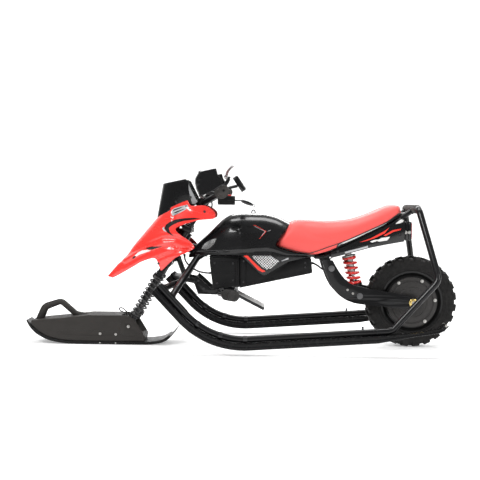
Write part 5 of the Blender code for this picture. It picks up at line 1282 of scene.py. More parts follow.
def build_tank():
    """The cover over the backbone: rounded shoulders, a rolled lower edge, a bail and its films."""
    shell = thickened(sheet(tank_rows()), 0.0025)
    shell = combine(shell, seat_block(0.001), "DIFFERENCE")
    down = pipe(down_path(), 0.0135, 16)
    for tool in (pipe(spine_path(), 0.02, 16), down, mirrored(down)):
        shell = combine(shell, tool, "DIFFERENCE")
    target = surface_of(shell)
    parts = [coated(shell, "tank")]
    for side in SIDES:
        parts.append(sticker(CHEVRON, target, side, "film_silver"))
        parts.append(sticker(CHEVRON_RED, target, side, "film_red"))
        parts.append(sticker(DASH, target, side, "film_silver"))
        vent = smooth_loop(NOSE_VENT, 4)
        parts.append(sticker([tuple(point) for point in vent], target, side, "film_grey"))
        lines = []
        for index in range(13):
            x = between(-0.156, -0.108, index / 12)
            low = max(eased(mm(-162, 383, -139, 381, -121.7, 389, -101, 414), x), 0.38)
            high = eased(mm(-162, 386, -153.4, 401, -125.5, 418, -101, 426), x)
            lines.append(laid_line([(x - 0.004, low), (x + 0.004, high)], target, side, 0.0012))
        lines = [line for line in lines if len(line) > 1]
        parts.append(wires(lines, "wire", 0.001, 6))
    top = 0.5215
    bail = bent_path([(0.034, 0, top), (0.037, 0, top + 0.015), (0.047, 0, top + 0.015), (0.05, 0, top)],
        [0.004, 0.004])
    parts.append(coated(pipe(bail, 0.0021, 12), "tube"))
    for x in (0.034, 0.05):
        parts.append(coated(turned(mm(0, 3, 3.5, 2.6, 4.8, 0, 0, -1), Vector((x, 0, top)), UP, 20), "dark_steel"))
    add_piece("tank_shell", parts, "chassis", ["tank_cover"], 40)


PANEL_OUTLINE = mm(-2, 360, 10, 370, 39.5, 381.5, 70, 385, 94.8, 385, 125, 376, 170, 363, 255, 358.5, 178, 339,
    120, 304, 94, 288, 84, 285, 70, 292)
GRILLE_OUTLINE = mm(38.7, 369, 70.3, 371.5, 103.9, 370, 117.9, 358, 146.8, 340, 130.2, 326, 110.6, 311, 97, 306,
    78.9, 316, 60, 332, 48, 345, 38, 359)
STRIPE_OUTLINE = mm(5.2, 359, 10.1, 363, 20, 362.5, 28, 354.5, 43.4, 339, 60, 323.5, 75.9, 309, 90, 303, 88, 299.5,
    78, 297.5, 61.1, 306.5, 45.1, 323.5, 29.1, 340.5, 13.1, 354.5)
SLASH_OUTLINE = mm(152, 343, 163.5, 347.5, 169.4, 351, 179, 354.5, 179, 349, 163.5, 344.5, 154, 341)


def inside(outline, x, z):
    found = False
    for (x1, z1), (x2, z2) in zip(outline, outline[1:] + outline[:1]):
        if (z1 > z) != (z2 > z) and x < (x2 - x1) * (z - z1) / (z2 - z1) + x1:
            found = not found
    return found


def cut_lines(outline, slope, pitch):
    """Parallel lines at a slope, kept where they lie inside an outline."""
    lines = []
    run = Vector((cos(slope), sin(slope)))
    side = Vector((-run.y, run.x))
    centre = sum((Vector(point) for point in outline), Vector((0.0, 0.0))) / len(outline)
    for index in range(-40, 41):
        line = []
        for step in range(-120, 121):
            spot = centre + side * (pitch * index) + run * (step * 0.001)
            if inside(outline, spot.x, spot.y):
                line.append(spot)
        if len(line) > 3:
            lines.append((line[0], line[-1]))
    return lines


def build_side_panels(details):
    """The panel under the tank with its stripe, and a mesh grille over a black screen."""
    outer = -0.1124
    floor = outer + 0.004
    solid = plate(PANEL_OUTLINE, outer, -0.0853, edge=0.0012, segments=2)
    solid = combine(solid, plate(GRILLE_OUTLINE, outer - 0.01, floor), "DIFFERENCE")
    screen = plate(GRILLE_OUTLINE, floor - 0.0004, floor + 0.001)
    lines = []
    for slope in (radians(45), radians(-45)):
        for first, last in cut_lines(GRILLE_OUTLINE, slope, details.grille_pitch):
            lines.append([(first.x, outer + 0.0016, first.y), (last.x, outer + 0.0016, last.y)])
    grille = wires(lines, "wire", details.grille_pitch * 0.15, 6)
    rim = pipe([(x, outer + 0.0006, z) for x, z in GRILLE_OUTLINE], 0.0013, 8, closed=True)
    target = surface_of(solid)
    parts = [coated(solid, "tank"), coated(screen, "film_black"), grille, coated(rim, "tank"),
        sticker(STRIPE_OUTLINE, target, -1.0, "film_red"), sticker(SLASH_OUTLINE, target, -1.0, "film_silver")]
    add_pair("side_panel_grille", parts, "chassis", "side_panel")


def build_boxes():
    """The controller and battery boxes with moulded ribs, seams and screws."""
    parts = [coated(node_copy("controller_case", 0.001), "box")]
    panel = plate(mm(-116, 336, -104, 246, -30, 256, -30, 336), -0.0862, -BOX_SIDE, edge=0.0007)
    seam = plate(mm(-119.5, 293, -119.3, 290.5, -13, 290.5, -13, 293), -0.0868, -BOX_SIDE)
    rib = plate(mm(-24.5, 350, -24.5, 240, -19, 240.5, -19, 350), -0.0885, -BOX_SIDE, edge=0.0008)
    parts += coats("box", panel, mirrored(panel), seam, mirrored(seam), rib, mirrored(rib))
    front = []
    for index in range(8):
        y = between(-0.07, 0.07, index / 7)
        front.append([(-0.1265, y, 0.335), (-0.114, y, 0.24)])
    parts.append(wires(front, "box", 0.0022, 8))
    spots = side_spots(0.086, ((-0.108, 0.328), (-0.097, 0.25), (-0.036, 0.262), (-0.036, 0.328)))
    parts.append(bolts(spots, "dark_steel", 0.003, 0.0014, 0.0042, 16))
    add_piece("controller_box", parts, "chassis", ["controller_case"])
    parts = [coated(node_copy("battery_case", 0.001), "box")]
    strap = plate(mm(-3, 351, -3, 235, 14, 238.5, 14, 351), -0.089, -BOX_SIDE, edge=0.0012)
    lower = plate(mm(20, 244, 266, 298, 266, 303, 20, 250), -0.0868, -BOX_SIDE, edge=0.0008)
    field = plate(mm(110, 280, 255, 311, 252, 342, 190, 342), -0.0862, -BOX_SIDE, edge=0.0007)
    parts += coats("box", strap, mirrored(strap), lower, mirrored(lower), field, mirrored(field))
    spots = [(Vector((0.0055, side * 0.089, z)), ACROSS * side) for side in SIDES for z in (0.256, 0.338)]
    spots += side_spots(0.0862, ((0.246, 0.334), (0.246, 0.316)))
    parts.append(bolts(spots, "dark_steel", 0.0028, 0.0014, 0.004, 20))
    add_piece("battery_box", parts, "chassis", ["battery_case"])
    for name, finish in (("box_lid", "box"), ("seat_pan", "box"), ("battery_pack", "cell"),
            ("motor_controller", "hub")):
        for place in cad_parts[name].material_slots:
            place.material = FINISH[finish]


SEAT_SIDE = [(0.0, 0.9), (0.14, 0.965), (0.36, 1.0), (0.58, 0.985), (0.79, 0.91), (0.925, 0.76), (0.985, 0.5),
    (1.0, 0.0)]


def seat_form():
    """The saddle: sides that swell above the seam and draw in below it, hollow over the backbone."""
    rings = []
    stations = 96
    for index in range(stations + 1):
        share = index / stations
        x = between(0.13, 0.6235, share - 0.018 * sin(2 * pi * share))
        low = eased(SEAT_UNDER, x)
        high = max(eased(SEAT_OVER, x), low + 0.002)
        wide = eased(SEAT_WIDTH, x) * min(1.0, 0.8 + 0.2 * sqrt(min(1.0, (x - 0.129) / 0.02)))
        wide *= sqrt(max(0.05, 1 - max(0.0, (x - 0.6) / 0.0262) ** 2)) if x > 0.6 else 1.0
        hollow = min(max(0.0, 0.3966 - low), (high - low) * 0.5) if x < 0.33 else 0.0
        right = []
        for step in range(21):
            turn = (pi / 2) * step / 20
            up = sin(turn) ** 1.15
            right.append((wide * eased(SEAT_SIDE, min(1.0, up)), low + (high - low) * up))
        right = [point for point in right if point[0] > 0.0005]
        left = [(-y, z) for y, z in reversed(right)]
        under = [(-0.7 * wide, low), (-0.06, low), (-0.05, low + hollow), (0.05, low + hollow), (0.06, low),
            (0.7 * wide, low)]
        rings.append([Vector((x, y, z)) for y, z in right + [(0.0, high)] + left + under])
    return loft(rings)


def cloth_swollen(mesh, pressure, cap, pinned):
    """Padded fabric: a voxel skin blown up a little by cloth pressure, its underside held."""
    scene = bpy.context.scene
    start = evaluated(mesh, [("REMESH", {"mode": "VOXEL", "voxel_size": 0.0055, "use_smooth_shade": True})])
    item = linked("swelling", start)
    held = item.vertex_groups.new(name="held")
    for vert in start.vertices:
        weight = pinned(vert.co)
        if weight:
            held.add([vert.index], weight, "REPLACE")
    step = item.modifiers.new("cloth", "CLOTH")
    step.settings.quality = 5
    step.settings.tension_stiffness = 25
    step.settings.compression_stiffness = 25
    step.settings.bending_stiffness = 1.5
    step.settings.use_pressure = True
    step.settings.uniform_pressure_force = pressure
    step.settings.effector_weights.gravity = 0.0
    step.settings.vertex_group_mass = "held"
    step.collision_settings.use_collision = False
    step.point_cache.frame_start = 1
    step.point_cache.frame_end = 20
    for number in range(1, 21):
        scene.frame_set(number)
    result = shown_mesh(item)
    for vert, first in zip(result.vertices, start.vertices):
        move = vert.co - first.co
        if move.length > cap:
            vert.co = first.co + move.normalized() * cap
    scene.frame_set(1)
    return result


# The silver curl at the white stripe's front is partly the stripe's print, partly a painted highlight on the
# cover's front edge
SEAT_BASE_FILMS_AND_PAINTED_HIGHLIGHT = [("film_white", mm(385, 414, 445.5, 440, 507.2, 468.2, 560.2, 493, 556.8, 487, 507.4, 462.5,
    450, 435.5, 392.5, 412)), ("film_silver", mm(384, 413.5, 376, 408, 370, 401, 373.5, 403, 381, 408.5,
    392.5, 412))]


def build_seat(details):
    """The red saddle with its seam, piping and stitches."""
    mesh = seat_form()
    def pinned(place):
        low = eased(SEAT_UNDER, place.x)
        return 1.0 if place.z < low + 0.014 and abs(place.y) < 0.9 * eased(SEAT_WIDTH, place.x) else 0.0
    form = bmesh.new()
    form.from_mesh(mesh)
    for vert in form.verts:
        vert.co.y *= 0.982
    form.to_mesh(mesh)
    form.free()
    mesh = cloth_swollen(mesh, 3.2, 0.004, pinned)
    mesh = subdivided(mesh, 1)
    for vert in mesh.vertices:
        low = eased(SEAT_UNDER, vert.co.x)
        high = eased(SEAT_OVER, vert.co.x)
        share = (vert.co.z - low) / max(0.01, high - low)
        side = min(1.0, abs(vert.co.y) / max(0.02, 0.85 * eased(SEAT_WIDTH, vert.co.x)))
        groove = bell(vert.co.z, eased(SEAT_SEAM, vert.co.x), 0.0022) * (1.0 if side > 0.85 else 0.0)
        vert.co.y -= copysign(0.002 * groove, vert.co.y)
        pull = noise.noise(Vector((vert.co.x * 9.0, abs(vert.co.y) * 14.0, vert.co.z * 26.0)))
        vert.co.y += copysign(0.001 * pull * side * max(0.0, 1.0 - share), vert.co.y)
        below = eased(SEAT_SEAM, vert.co.x) - vert.co.z
        if vert.co.x > SEAT_BASE_START:
            depth = min(1.0, max(0.0, below / 0.004)) * min(1.0, (vert.co.x - SEAT_BASE_START) / 0.015)
            vert.co.y -= copysign(min(0.006 * depth, 0.5 * abs(vert.co.y)), vert.co.y)
    target = surface_of(mesh)
    coated(mesh, "seat").materials.append(FINISH["piping"])
    for polygon in mesh.polygons:
        place = polygon.center
        edge = SEAT_BASE_START + 0.3 * (place.z - 0.4)
        polygon.material_index = 1 if place.x > edge and place.z < eased(SEAT_SEAM, place.x) else 0
    parts = [mesh]
    for side in SIDES:
        line = []
        thread = []
        for index in range(90):
            x = between(0.15, 0.606, index / 89)
            seam = eased(SEAT_SEAM, x)
            for goal, height, lift in ((line, 0.0, 0.0006), (thread, 0.006, 0.0004)):
                hit, normal = side_hit(target, x, seam + height, side, 0.4)
                if hit is not None and abs(hit.y) > 0.03:
                    goal.append(hit + normal * (lift if normal.y * side > 0 else -lift))
        parts.append(coated(pipe(line, 0.0019, 10), "piping"))
        # Films below the seam: a white stripe, and a silver curl that is partly print, partly painted highlight
        parts += [sticker(outline, target, side, finish) for finish, outline in SEAT_BASE_FILMS_AND_PAINTED_HIGHLIGHT]
        parts.append(grown("stitches", lines_mesh([thread]), "thread", stitch_length=details.stitch_length,
            gap=details.stitch_length * 0.5, thread_radius=0.00045))
    seat = add_piece("saddle", parts, "chassis", ["seat_cushion"], 60)


TAIL_LOWER = mm(630, 421.5, 560, 408.5, 498, 395.5, 394, 366.5, 345, 353)
TAIL_UPPER = mm(345, 380, 402, 405, 484, 444, 557, 480, 615, 513, 630, 508, 634, 470)
TAIL_FILMS_AND_PAINTED_HIGHLIGHT = [("film_red", mm(455, 416.5, 499, 433, 552, 462, 571, 476, 552, 452, 513, 433, 484.5, 423)),
    ("film_red", mm(549, 444.5, 584, 466, 616.5, 472, 615, 466.5, 588, 459, 556, 442.4)),
    ("film_white", mm(520, 424, 541.7, 435, 574, 440, 563.5, 425.5, 531.2, 420)),
    # The white patch at the top rear of the cover is a painted highlight
    ("film_white", mm(594, 490, 604, 500, 615, 508, 626, 505, 623, 498, 610, 492)),
    ("film_white", mm(496, 420, 512, 426.5, 530, 429, 518, 420, 505, 416.5)),
    ("film_silver", mm(399, 379, 488, 403.5, 490, 396.5, 401, 372))]


def build_tail():
    """The tail covers with their stripes and a painted highlight, and the lamp between them."""
    solid = plate(TAIL_LOWER + TAIL_UPPER, -0.0903, -0.0763, edge=0.003, segments=4)
    target = surface_of(solid)
    parts = [coated(solid, "tail")]
    parts += [sticker(outline, target, -1.0, finish) for finish, outline in TAIL_FILMS_AND_PAINTED_HIGHLIGHT]
    spots = [(Vector((x, -0.0903, z)), -ACROSS) for x, z in ((0.372, 0.38), (0.612, 0.448))]
    parts.append(bolts(spots, "dark_steel", 0.0034, 0.0018, 0.005, 20))
    add_pair("tail_panel", parts, "chassis", "tail_cover")
    tie = lamp_tie()
    front = tie.x - 0.01134
    shell = box((front, -0.08, 0.424), (front + 0.0265, 0.08, 0.5), edge=0.009, segments=4)
    rim = box((front + 0.0235, -0.0785, 0.426), (front + 0.0285, 0.0785, 0.498), edge=0.002)
    lens = box((front + 0.0245, -0.074, 0.43), (front + 0.0315, 0.074, 0.494), edge=0.003, segments=3)
    neck = box((tie.x - 0.006, -0.024, 0.48), (tie.x + 0.006, 0.024, tie.z - 0.0073), edge=0.001)
    lines = [[(front + 0.0312, -0.068, z), (front + 0.0312, 0.068, z)]
        for z in [between(0.436, 0.488, index / 8) for index in range(9)]]
    lens_ribs = wires(lines, "lens", 0.0014, 8)
    parts = [coated(shell, "tail"), coated(rim, "dark_steel"), coated(lens, "lens"), lens_ribs, coated(neck, "box")]
    spots = [(Vector((front + dx, side * 0.0795, 0.457)), ACROSS * side) for side in SIDES for dx in (0.006, 0.02)]
    parts.append(bolts(spots, "steel", 0.005, 0.0026, 0.0066, 20))
    add_piece("tail_lamp_unit", parts, "chassis", ["tail_lamp"])


# Cables: each riding on one body, with both ends in the scooter


def build_cables():
    """Three short cables, each with a tapered boot at both ends."""
    for name, node, body, route, radius, count in (("control_lead", "control_cable", "chassis", CONTROL_ROUTE,
            0.0032, 40), ("motor_lead", "motor_cable", "chassis", MOTOR_ROUTE, 0.0034, 36),
            ("brake_hose", "brake_cable", "steering", BRAKE_ROUTE, 0.0028, 40)):
        points = smooth_path(route, count)
        cable = add_piece(name, [coated(pipe(points, radius, 16), "cable")], body, [node])
        boots = []
        for end, inward in ((points[0], points[2]), (points[-1], points[-3])):
            run = (inward - end).normalized()
            profile = [(radius, 0.0), (radius * 1.45, 0.0), (radius * 1.5, 0.002), (radius * 1.25, 0.009),
                (radius * 1.02, 0.012), (radius, 0.012)]
            boots.append(coated(turned(profile, end, run, 24, closed=True), "peg"))
        ends = add_piece(name + "_boots", boots, body)


# Cowl and windshield

SHIELD_EDGE = [(x, z + 0.0006) for x, z in COWL_OUTLINE if z > 0.499 and x < -0.195]
SHIELD_EDGE += mm(-188, 556, -174, 572, -214, 650, -226, 656, -316, 638, -350, 631)
SHIELD_PALE = mm(-213, 643, -183, 581, -177.5, 568, -186, 560, -198, 560, -206, 586, -212, 615)
FLUTE_HIGH = mm(-470, 330, -425.6, 356, -366.3, 385, -310.6, 406, -261.8, 408, -223.3, 396, -191.8, 379)
FLUTE_LOW = mm(-401, 317.9, -352.2, 346.4, -296.5, 371.5, -240.8, 390, -212.9, 395)
BROW_EDGE = mm(-279.9, 504.2, -284.2, 518, -280.1, 535.5, -269.7, 547.7, -245.4, 558.4, -217.7, 566, -207.2, 560,
    -200.2, 548)
COWL_FILMS = [("film_black", mm(-305.3, 462.3, -300.1, 476.2, -286.3, 486.8, -262, 497.5, -227.2, 503.1,
    -192.5, 505.2, -162.9, 502.7, -192.4, 498.3, -227.2, 493.7, -254.9, 485.4, -275.8, 474.8, -287.9, 464.2,
    -282.5, 448.6, -268.5, 434.8, -258, 430.8, -275.5, 436.5, -293, 446.7)),
    ("film_silver", mm(-314, 462.2, -307, 470, -306, 461, -295, 447, -308.7, 453.5)),
    ("film_black", mm(-381.6, 383.9, -353.6, 391.3, -311.6, 392.4, -332.6, 386.2, -353.5, 379, -367.6, 379.5)),
    ("film_white", mm(-424.9, 353, -410.9, 365.5, -393.3, 374.5, -372.3, 378, -358.2, 374.5, -382.7, 365.8,
    -403.8, 358.5, -417.8, 349.6)), ("film_black", mm(-436.8, 341.6, -429, 350, -420, 352, -424, 345,
    -429.7, 339.9)), ("film_silver", mm(-278.3, 532, -269.7, 540.8, -241.9, 550, -215.9, 556, -212.3, 550,
    -222.7, 536.1, -248.7, 521.9, -269.5, 511, -277, 512.5, -280, 521.5))]
BROW_STREAKS = [mm(-276, 529, -269, 537, -245, 544.5, -230, 548, -244, 540.5, -264, 533),
    mm(-274, 521, -260, 529, -235, 538, -224, 540, -242, 531, -262, 521.5),
    mm(-270, 514, -256, 521.5, -244, 526.5, -254, 520, -266, 513),
    mm(-226, 551.5, -216.5, 553.5, -215, 550, -223, 547)]


def line_distance(line, x, z):
    """How far a point lies from a line in X and Z, and whether above it."""
    spot = Vector((x, z))
    best = (1.0, 1.0)
    for first, second in zip(line, line[1:]):
        first = Vector(first)
        run = Vector(second) - first
        share = min(1.0, max(0.0, (spot - first).dot(run) / run.length_squared))
        gap = spot - first - run * share
        if gap.length < best[0]:
            best = (gap.length, 1.0 if run.x * gap.y - run.y * gap.x > 0 else -1.0)
    return best[0] * best[1]


def nose_rows(start, run, inward, widths, depths, lengths, back, swell, count=44):
    """U sections up a raked line, round in front and straight to the back, pushed out by swell(x, z)."""
    rows = []
    for length in lengths:
        half = max(0.003, eased(widths, length))
        deep = eased(depths, length)
        row = []
        for index in range(-count, count + 1):
            place = abs(index) / count
            side = copysign(1.0, index)
            if place < 0.36:
                turn = pi / 2 * place / 0.36
                into, across = deep * (1 - cos(turn)), half * sin(turn)
                out = (-cos(turn), sin(turn))
            else:
                into, across, out = between(deep, back, (place - 0.36) / 0.64), half, (0.0, 1.0)
            spot = start + run * length + inward * into
            push = swell(spot.x, spot.z)
            row.append(spot + inward * out[0] * push + ACROSS * side * (across + out[1] * push))
        rows.append(row)
    return rows


def shell_cut(rows, outline, thickness):
    shell = thickened(sheet(rows), thickness)
    return combine(shell, plate(outline, -0.2, 0.2), "INTERSECT")


def inner_faces_coated(mesh, finish, start, run, inward, depths):
    """The faces of a nose shell that look at its hollow get their own finish; on the cowl that is its red darkened
    as painted shade.
    """
    mesh.materials.append(FINISH[finish])
    for face in mesh.polygons:
        place = face.center - start
        deep = eased(depths, place.dot(run))
        into = place.dot(inward)
        out = -inward * max(0.0, deep - into) / deep + ACROSS * face.center.y / 0.1
        if face.normal.dot(out.normalized()) < -0.25:
            face.material_index = len(mesh.materials) - 1


def build_cowl(details):
    """The red nose cowl with its flutes, rolled edges and films."""
    run = (COWL_BROW - COWL_TIP).normalized()
    inward = Vector((run.z, 0.0, -run.x))
    depth = details.flute_depth

    def swell(x, z):
        high = line_distance(FLUTE_HIGH, x, z)
        low = line_distance(FLUTE_LOW, x, z)
        brow = line_distance(BROW_EDGE, x, z)
        ridge = 0.5 * bell(high, 0.0, 0.0066) - 1.0 * bell(high, 0.017, 0.011) - 0.85 * bell(high, -0.014, 0.008)
        ridge += 0.47 * bell(low, 0.0, 0.0062) - 0.7 * bell(low, -0.013, 0.0075)
        ridge += 0.47 * bell(brow, 0.0, 0.006) - 0.35 * bell(brow, -0.0085, 0.0055)
        front = bell(x - COWL_TIP.x, 0.0, 0.05)
        return depth * ridge * (1.0 - front) - 0.0004

    lengths = [between(-0.016, 0.478, index / 180) for index in range(181)]
    rows = nose_rows(COWL_TIP, run, inward, COWL_WIDTH, COWL_DEPTH, lengths, 0.206, swell, 88)
    shell = coated(shell_cut(rows, smooth_loop(COWL_OUTLINE, 4), 0.0028), "cowl")
    shell = bevelled(shell, 0.0007, 2, 55)
    # The faces inside the cowl get the darker red of painted shade
    inner_faces_coated(shell, "cowl_inside", COWL_TIP, run, inward, COWL_DEPTH)
    target = surface_of(shell)
    parts = [shell]
    for side in SIDES:
        parts += [sticker(outline, target, side, finish) for finish, outline in COWL_FILMS]
        parts += [sticker(outline, target, side, "film_grey", 0.0008) for outline in BROW_STREAKS]
    spots = laid_spots(target, ((-0.222, 0.455), (-0.148, 0.53), (-0.328, 0.325)), 0.0006)
    parts.append(bolts(spots, "dark_steel", 0.0034, 0.0014, 0.005, 20))
    add_piece("nose_cowl", parts, "steering", ["cowl"], 68)
    run = (SHIELD_TOP - SHIELD_FOOT).normalized()
    inward = Vector((run.z, 0.0, -run.x))
    lengths = [between(-0.01, 0.194, index / 40) for index in range(41)]
    rows = nose_rows(SHIELD_FOOT, run, inward, SHIELD_WIDTH, SHIELD_DEPTH, lengths, 0.24, lambda x, z: 0.0)
    glass = coated(bevelled(shell_cut(rows, SHIELD_EDGE, 0.003), 0.0006, 2, 55), "shield")
    target = surface_of(glass)
    band = mm(-316, 633.5, -226, 651.5, -215.5, 644, -181, 576)
    bands = [laid_line(band, target, side) for side in SIDES]
    spots = laid_spots(target, ((-0.262, 0.566), (-0.205, 0.585)), 0.0004)
    heads = bolts(spots, "dark_steel", 0.0036, 0.0018, 0.0056, 20)
    edge = wires(bands, "shield", 0.0012, 8)
    pale = [sticker(SHIELD_PALE, target, side, "shield_band", 0.0003) for side in SIDES]
    add_piece("smoked_shield", [glass, heads, edge] + pale, "steering", ["windshield"], 42)


# Fork, steering head and handlebar

def yoke_block(at):
    """A clamp plate across both legs, bored for them."""
    turn = Matrix.Rotation(RAKE, 4, "Y")
    centre = on_axis(at + 0.012)
    block = box((-0.02, -0.072, -0.012), (0.02, 0.072, 0.012), edge=0.006, segments=4)
    block.transform(Matrix.Translation(centre) @ turn)
    waist = box((0.01, -0.028, -0.02), (0.03, 0.028, 0.02), edge=0.006)
    waist.transform(Matrix.Translation(centre) @ turn)
    block = combine(block, waist, "DIFFERENCE")
    for side in SIDES:
        block = combine(block, rod(on_axis(at - 0.01, side=side * LEG_Y), on_axis(at + 0.04, side=side * LEG_Y),
            0.0137, 32), "DIFFERENCE")
    return coated(bevelled(block, 0.0006, 2, 40), "tube")


def bracket(at, height, fore):
    """An arm from a yoke to a cross rod that carries the cowl."""
    spot = on_axis(height, fore)
    place = spot - COWL_TIP
    run = (COWL_BROW - COWL_TIP).normalized()
    deep = along(COWL_DEPTH, place.dot(run))
    into = place.dot(Vector((run.z, 0.0, -run.x)))
    reach = along(COWL_WIDTH, place.dot(run)) * sqrt(max(0.0, 1 - max(0.0, 1 - into / deep) ** 2)) - 0.0052
    root = on_axis(at + 0.012, 0.016)
    arm = pipe(smooth_path([root, root + RAKE_FORE * 0.016, spot], 10), 0.006, 20)
    bar = rod(spot - ACROSS * reach, spot + ACROSS * reach, 0.005, 20, 0.0008)
    return [coated(arm, "tube"), coated(bar, "tube"), weld(spot, ACROSS, 0.0052, 0.0016)]


def bar_path():
    left = [Vector((x, -y, z)) for x, y, z in reversed(BAR_SHAPE)]
    right = [Vector(point) for point in BAR_SHAPE[1:]]
    return bent_path(left[:-1] + right, [0.05, 0.03, 0.03, 0.05], radians(4))


def bar_spot(y):
    start = Vector(BAR_SHAPE[2])
    run = (Vector(BAR_SHAPE[3]) - start).normalized()
    spot = start + run * ((abs(y) - start.y) / run.y)
    return Vector((spot.x, copysign(spot.y, y), spot.z))


def build_steering_head():
    """Stem, yokes, stanchions, clamp and the bar."""
    clamp = box((-0.021, -0.026, -0.022), (0.021, 0.026, 0.022), edge=0.005, segments=4)
    clamp.transform(Matrix.Translation(on_axis(0.57)) @ Matrix.Rotation(RAKE, 4, "Y"))
    clamp = combine(clamp, pipe(bar_path(), 0.0113, 24), "DIFFERENCE")
    stem = coated(rod(on_axis(0.289), on_axis(0.554), 0.0135, 40), "tube")
    nut = coated(turned(mm(13.7, 0, 19.5, 0, 19.5, 9, 17.5, 11, 13.7, 11), on_axis(0.4625), RAKE_UP, 6,
        closed=True), "dark_steel")
    parts = [yoke_block(0.285), stem, coated(bevelled(clamp, 0.0005, 2, 40), "tube"), nut,
        weld(on_axis(0.548), RAKE_UP, 0.014, 0.0018)] + bracket(0.285, 0.335, 0.052)
    spots = [(on_axis(0.5921, fore, side), RAKE_UP) for fore in (-0.012, 0.012) for side in (-0.017, 0.017)
        if (fore, side) != (0.012, -0.017)]
    spots += [(on_axis(0.297, 0.02, side), RAKE_FORE) for side in (-LEG_Y, LEG_Y)]
    parts.append(bolts(spots, "steel", 0.004, 0.0032, 0.0055))
    add_piece("steering_stem", parts, "steering", ["steerer"])
    parts = [yoke_block(0.438)] + bracket(0.438, 0.462, 0.05)
    spots = [(on_axis(0.45, -0.02, side), -RAKE_FORE) for side in (-LEG_Y, LEG_Y)]
    parts.append(bolts(spots, "steel", 0.004, 0.0032, 0.0055))
    add_piece("upper_clamp", parts, "steering", ["upper_yoke"])
    low = on_axis(0.125, side=-LEG_Y)
    leg = turned(mm(9.5, 0, 13, 0, 13.5, 0.6, 13.5, 105, 20.5, 105.3, 21.5, 106.3, 21.5, 112, 20.5, 113,
        13.5, 113.5, 13.5, 341.8, 12.5, 343, 6, 343, 5, 341.5, 0, 341.5), low, RAKE_UP, 48)
    wiper = coated(turned(mm(9.2, -3, 12.8, -3, 13.2, 0, 9.6, 0), low, RAKE_UP, 40, closed=True), "peg")
    groove = [coated(turned([(0.0134, h), (0.0142, h + 0.0006), (0.0142, h + 0.0022), (0.0134, h + 0.0028)], low,
        RAKE_UP, 40, closed=True), "dark_steel") for h in (0.1165, 0.1215)]
    parts = [coated(leg, "tube"), wiper] + groove
    add_pair("fork_tube", parts, "steering", "stanchion")
    bar = coated(pipe(bar_path(), 0.011, 32), "tube")
    add_piece("bar_tube", [bar], "steering", ["handlebar"])


def grip_parts(side, details):
    """A ribbed rubber grip: flange, palm swell, bar end with an opening darkened inside by a black disc of painted
    shade.
    """
    start = bar_spot(side * 0.195)
    end = bar_spot(side * 0.305)
    run = (end - start).normalized()
    length = (end - start).length
    profile = mm(11.2, 0, 24, 0, 25.8, 1, 26, 3.5, 23.5, 5.5, 18, 8.5)
    for index in range(1, 10):
        place = index / 10
        profile.append((0.0158 + 0.001 * sin(pi * place) ** 2, between(0.0085, length - 0.012, place)))
    profile += [(0.0165, length - 0.012), (0.0198, length - 0.0085), (0.02, length - 0.003),
        (0.0185, length - 0.0005), (0.01, length), (0.0048, length - 0.0006), (0.0045, length - 0.006),
        (0.0, length - 0.006)]
    ribs = grown("rings", None, "grip", standing(start + run * 0.014, run), rib_radius=0.0162, rib_size=0.0009,
        spacing=details.grip_rib_spacing, ribs=int((length - 0.03) / details.grip_rib_spacing))
    # A black disc inside the bar end's opening: painted shade
    hole_shade_disc = rod(end - run * 0.0058, end - run * 0.005, 0.0045, 20)
    return [coated(turned(profile, start, run, 56), "grip"), ribs, coated(hole_shade_disc, "cable")]


def build_grips(details):
    add_piece("left_grip_rubber", grip_parts(-1, details), "steering", ["left_grip"])
    add_piece("throttle_grip_rubber", grip_parts(1, details), "throttle", ["throttle_grip"])


GUARD_STEPS = 40
GUARD_REACH = [(0.0, 0.022), (0.12, 0.048), (0.3, 0.082), (0.48, 0.104), (0.62, 0.104), (0.78, 0.088), (1.0, 0.07)]


def guard_spot(share, place):
    """The hand guard's middle surface: share up it and place out along it to the end that wraps back."""
    inner = between(-0.205, -0.15, sin(pi * min(1.0, 0.15 + share) / 2))
    wrap = max(0.0, place - 0.55) / 0.45
    bend = pi / 2 * min(1.0, wrap * 1.9)
    y = between(inner, -0.322, 0.82 * min(1.0, place / 0.55) + 0.18 * sin(bend))
    back = 0.34 * (1 - cos(bend)) + 0.66 * max(0.0, wrap - 0.526) / 0.474
    lean = eased([(0.0, 0.012), (0.3, 0.001), (0.7, -0.004), (1.0, 0.008)], share)
    x = -0.176 + lean + 0.016 * (1 - place) + eased(GUARD_REACH, share) * back
    z = between(0.594, 0.668, share) + 0.02 * wrap * share ** 2 - 0.012 * (1 - share) * (1 - place)
    z += 0.014 * share * sin(pi * min(1.0, place / 0.7))
    swell = 0.0018 * bell(share, 0.5, 0.22) * (1 - wrap)
    return Vector((x - swell, y, z))


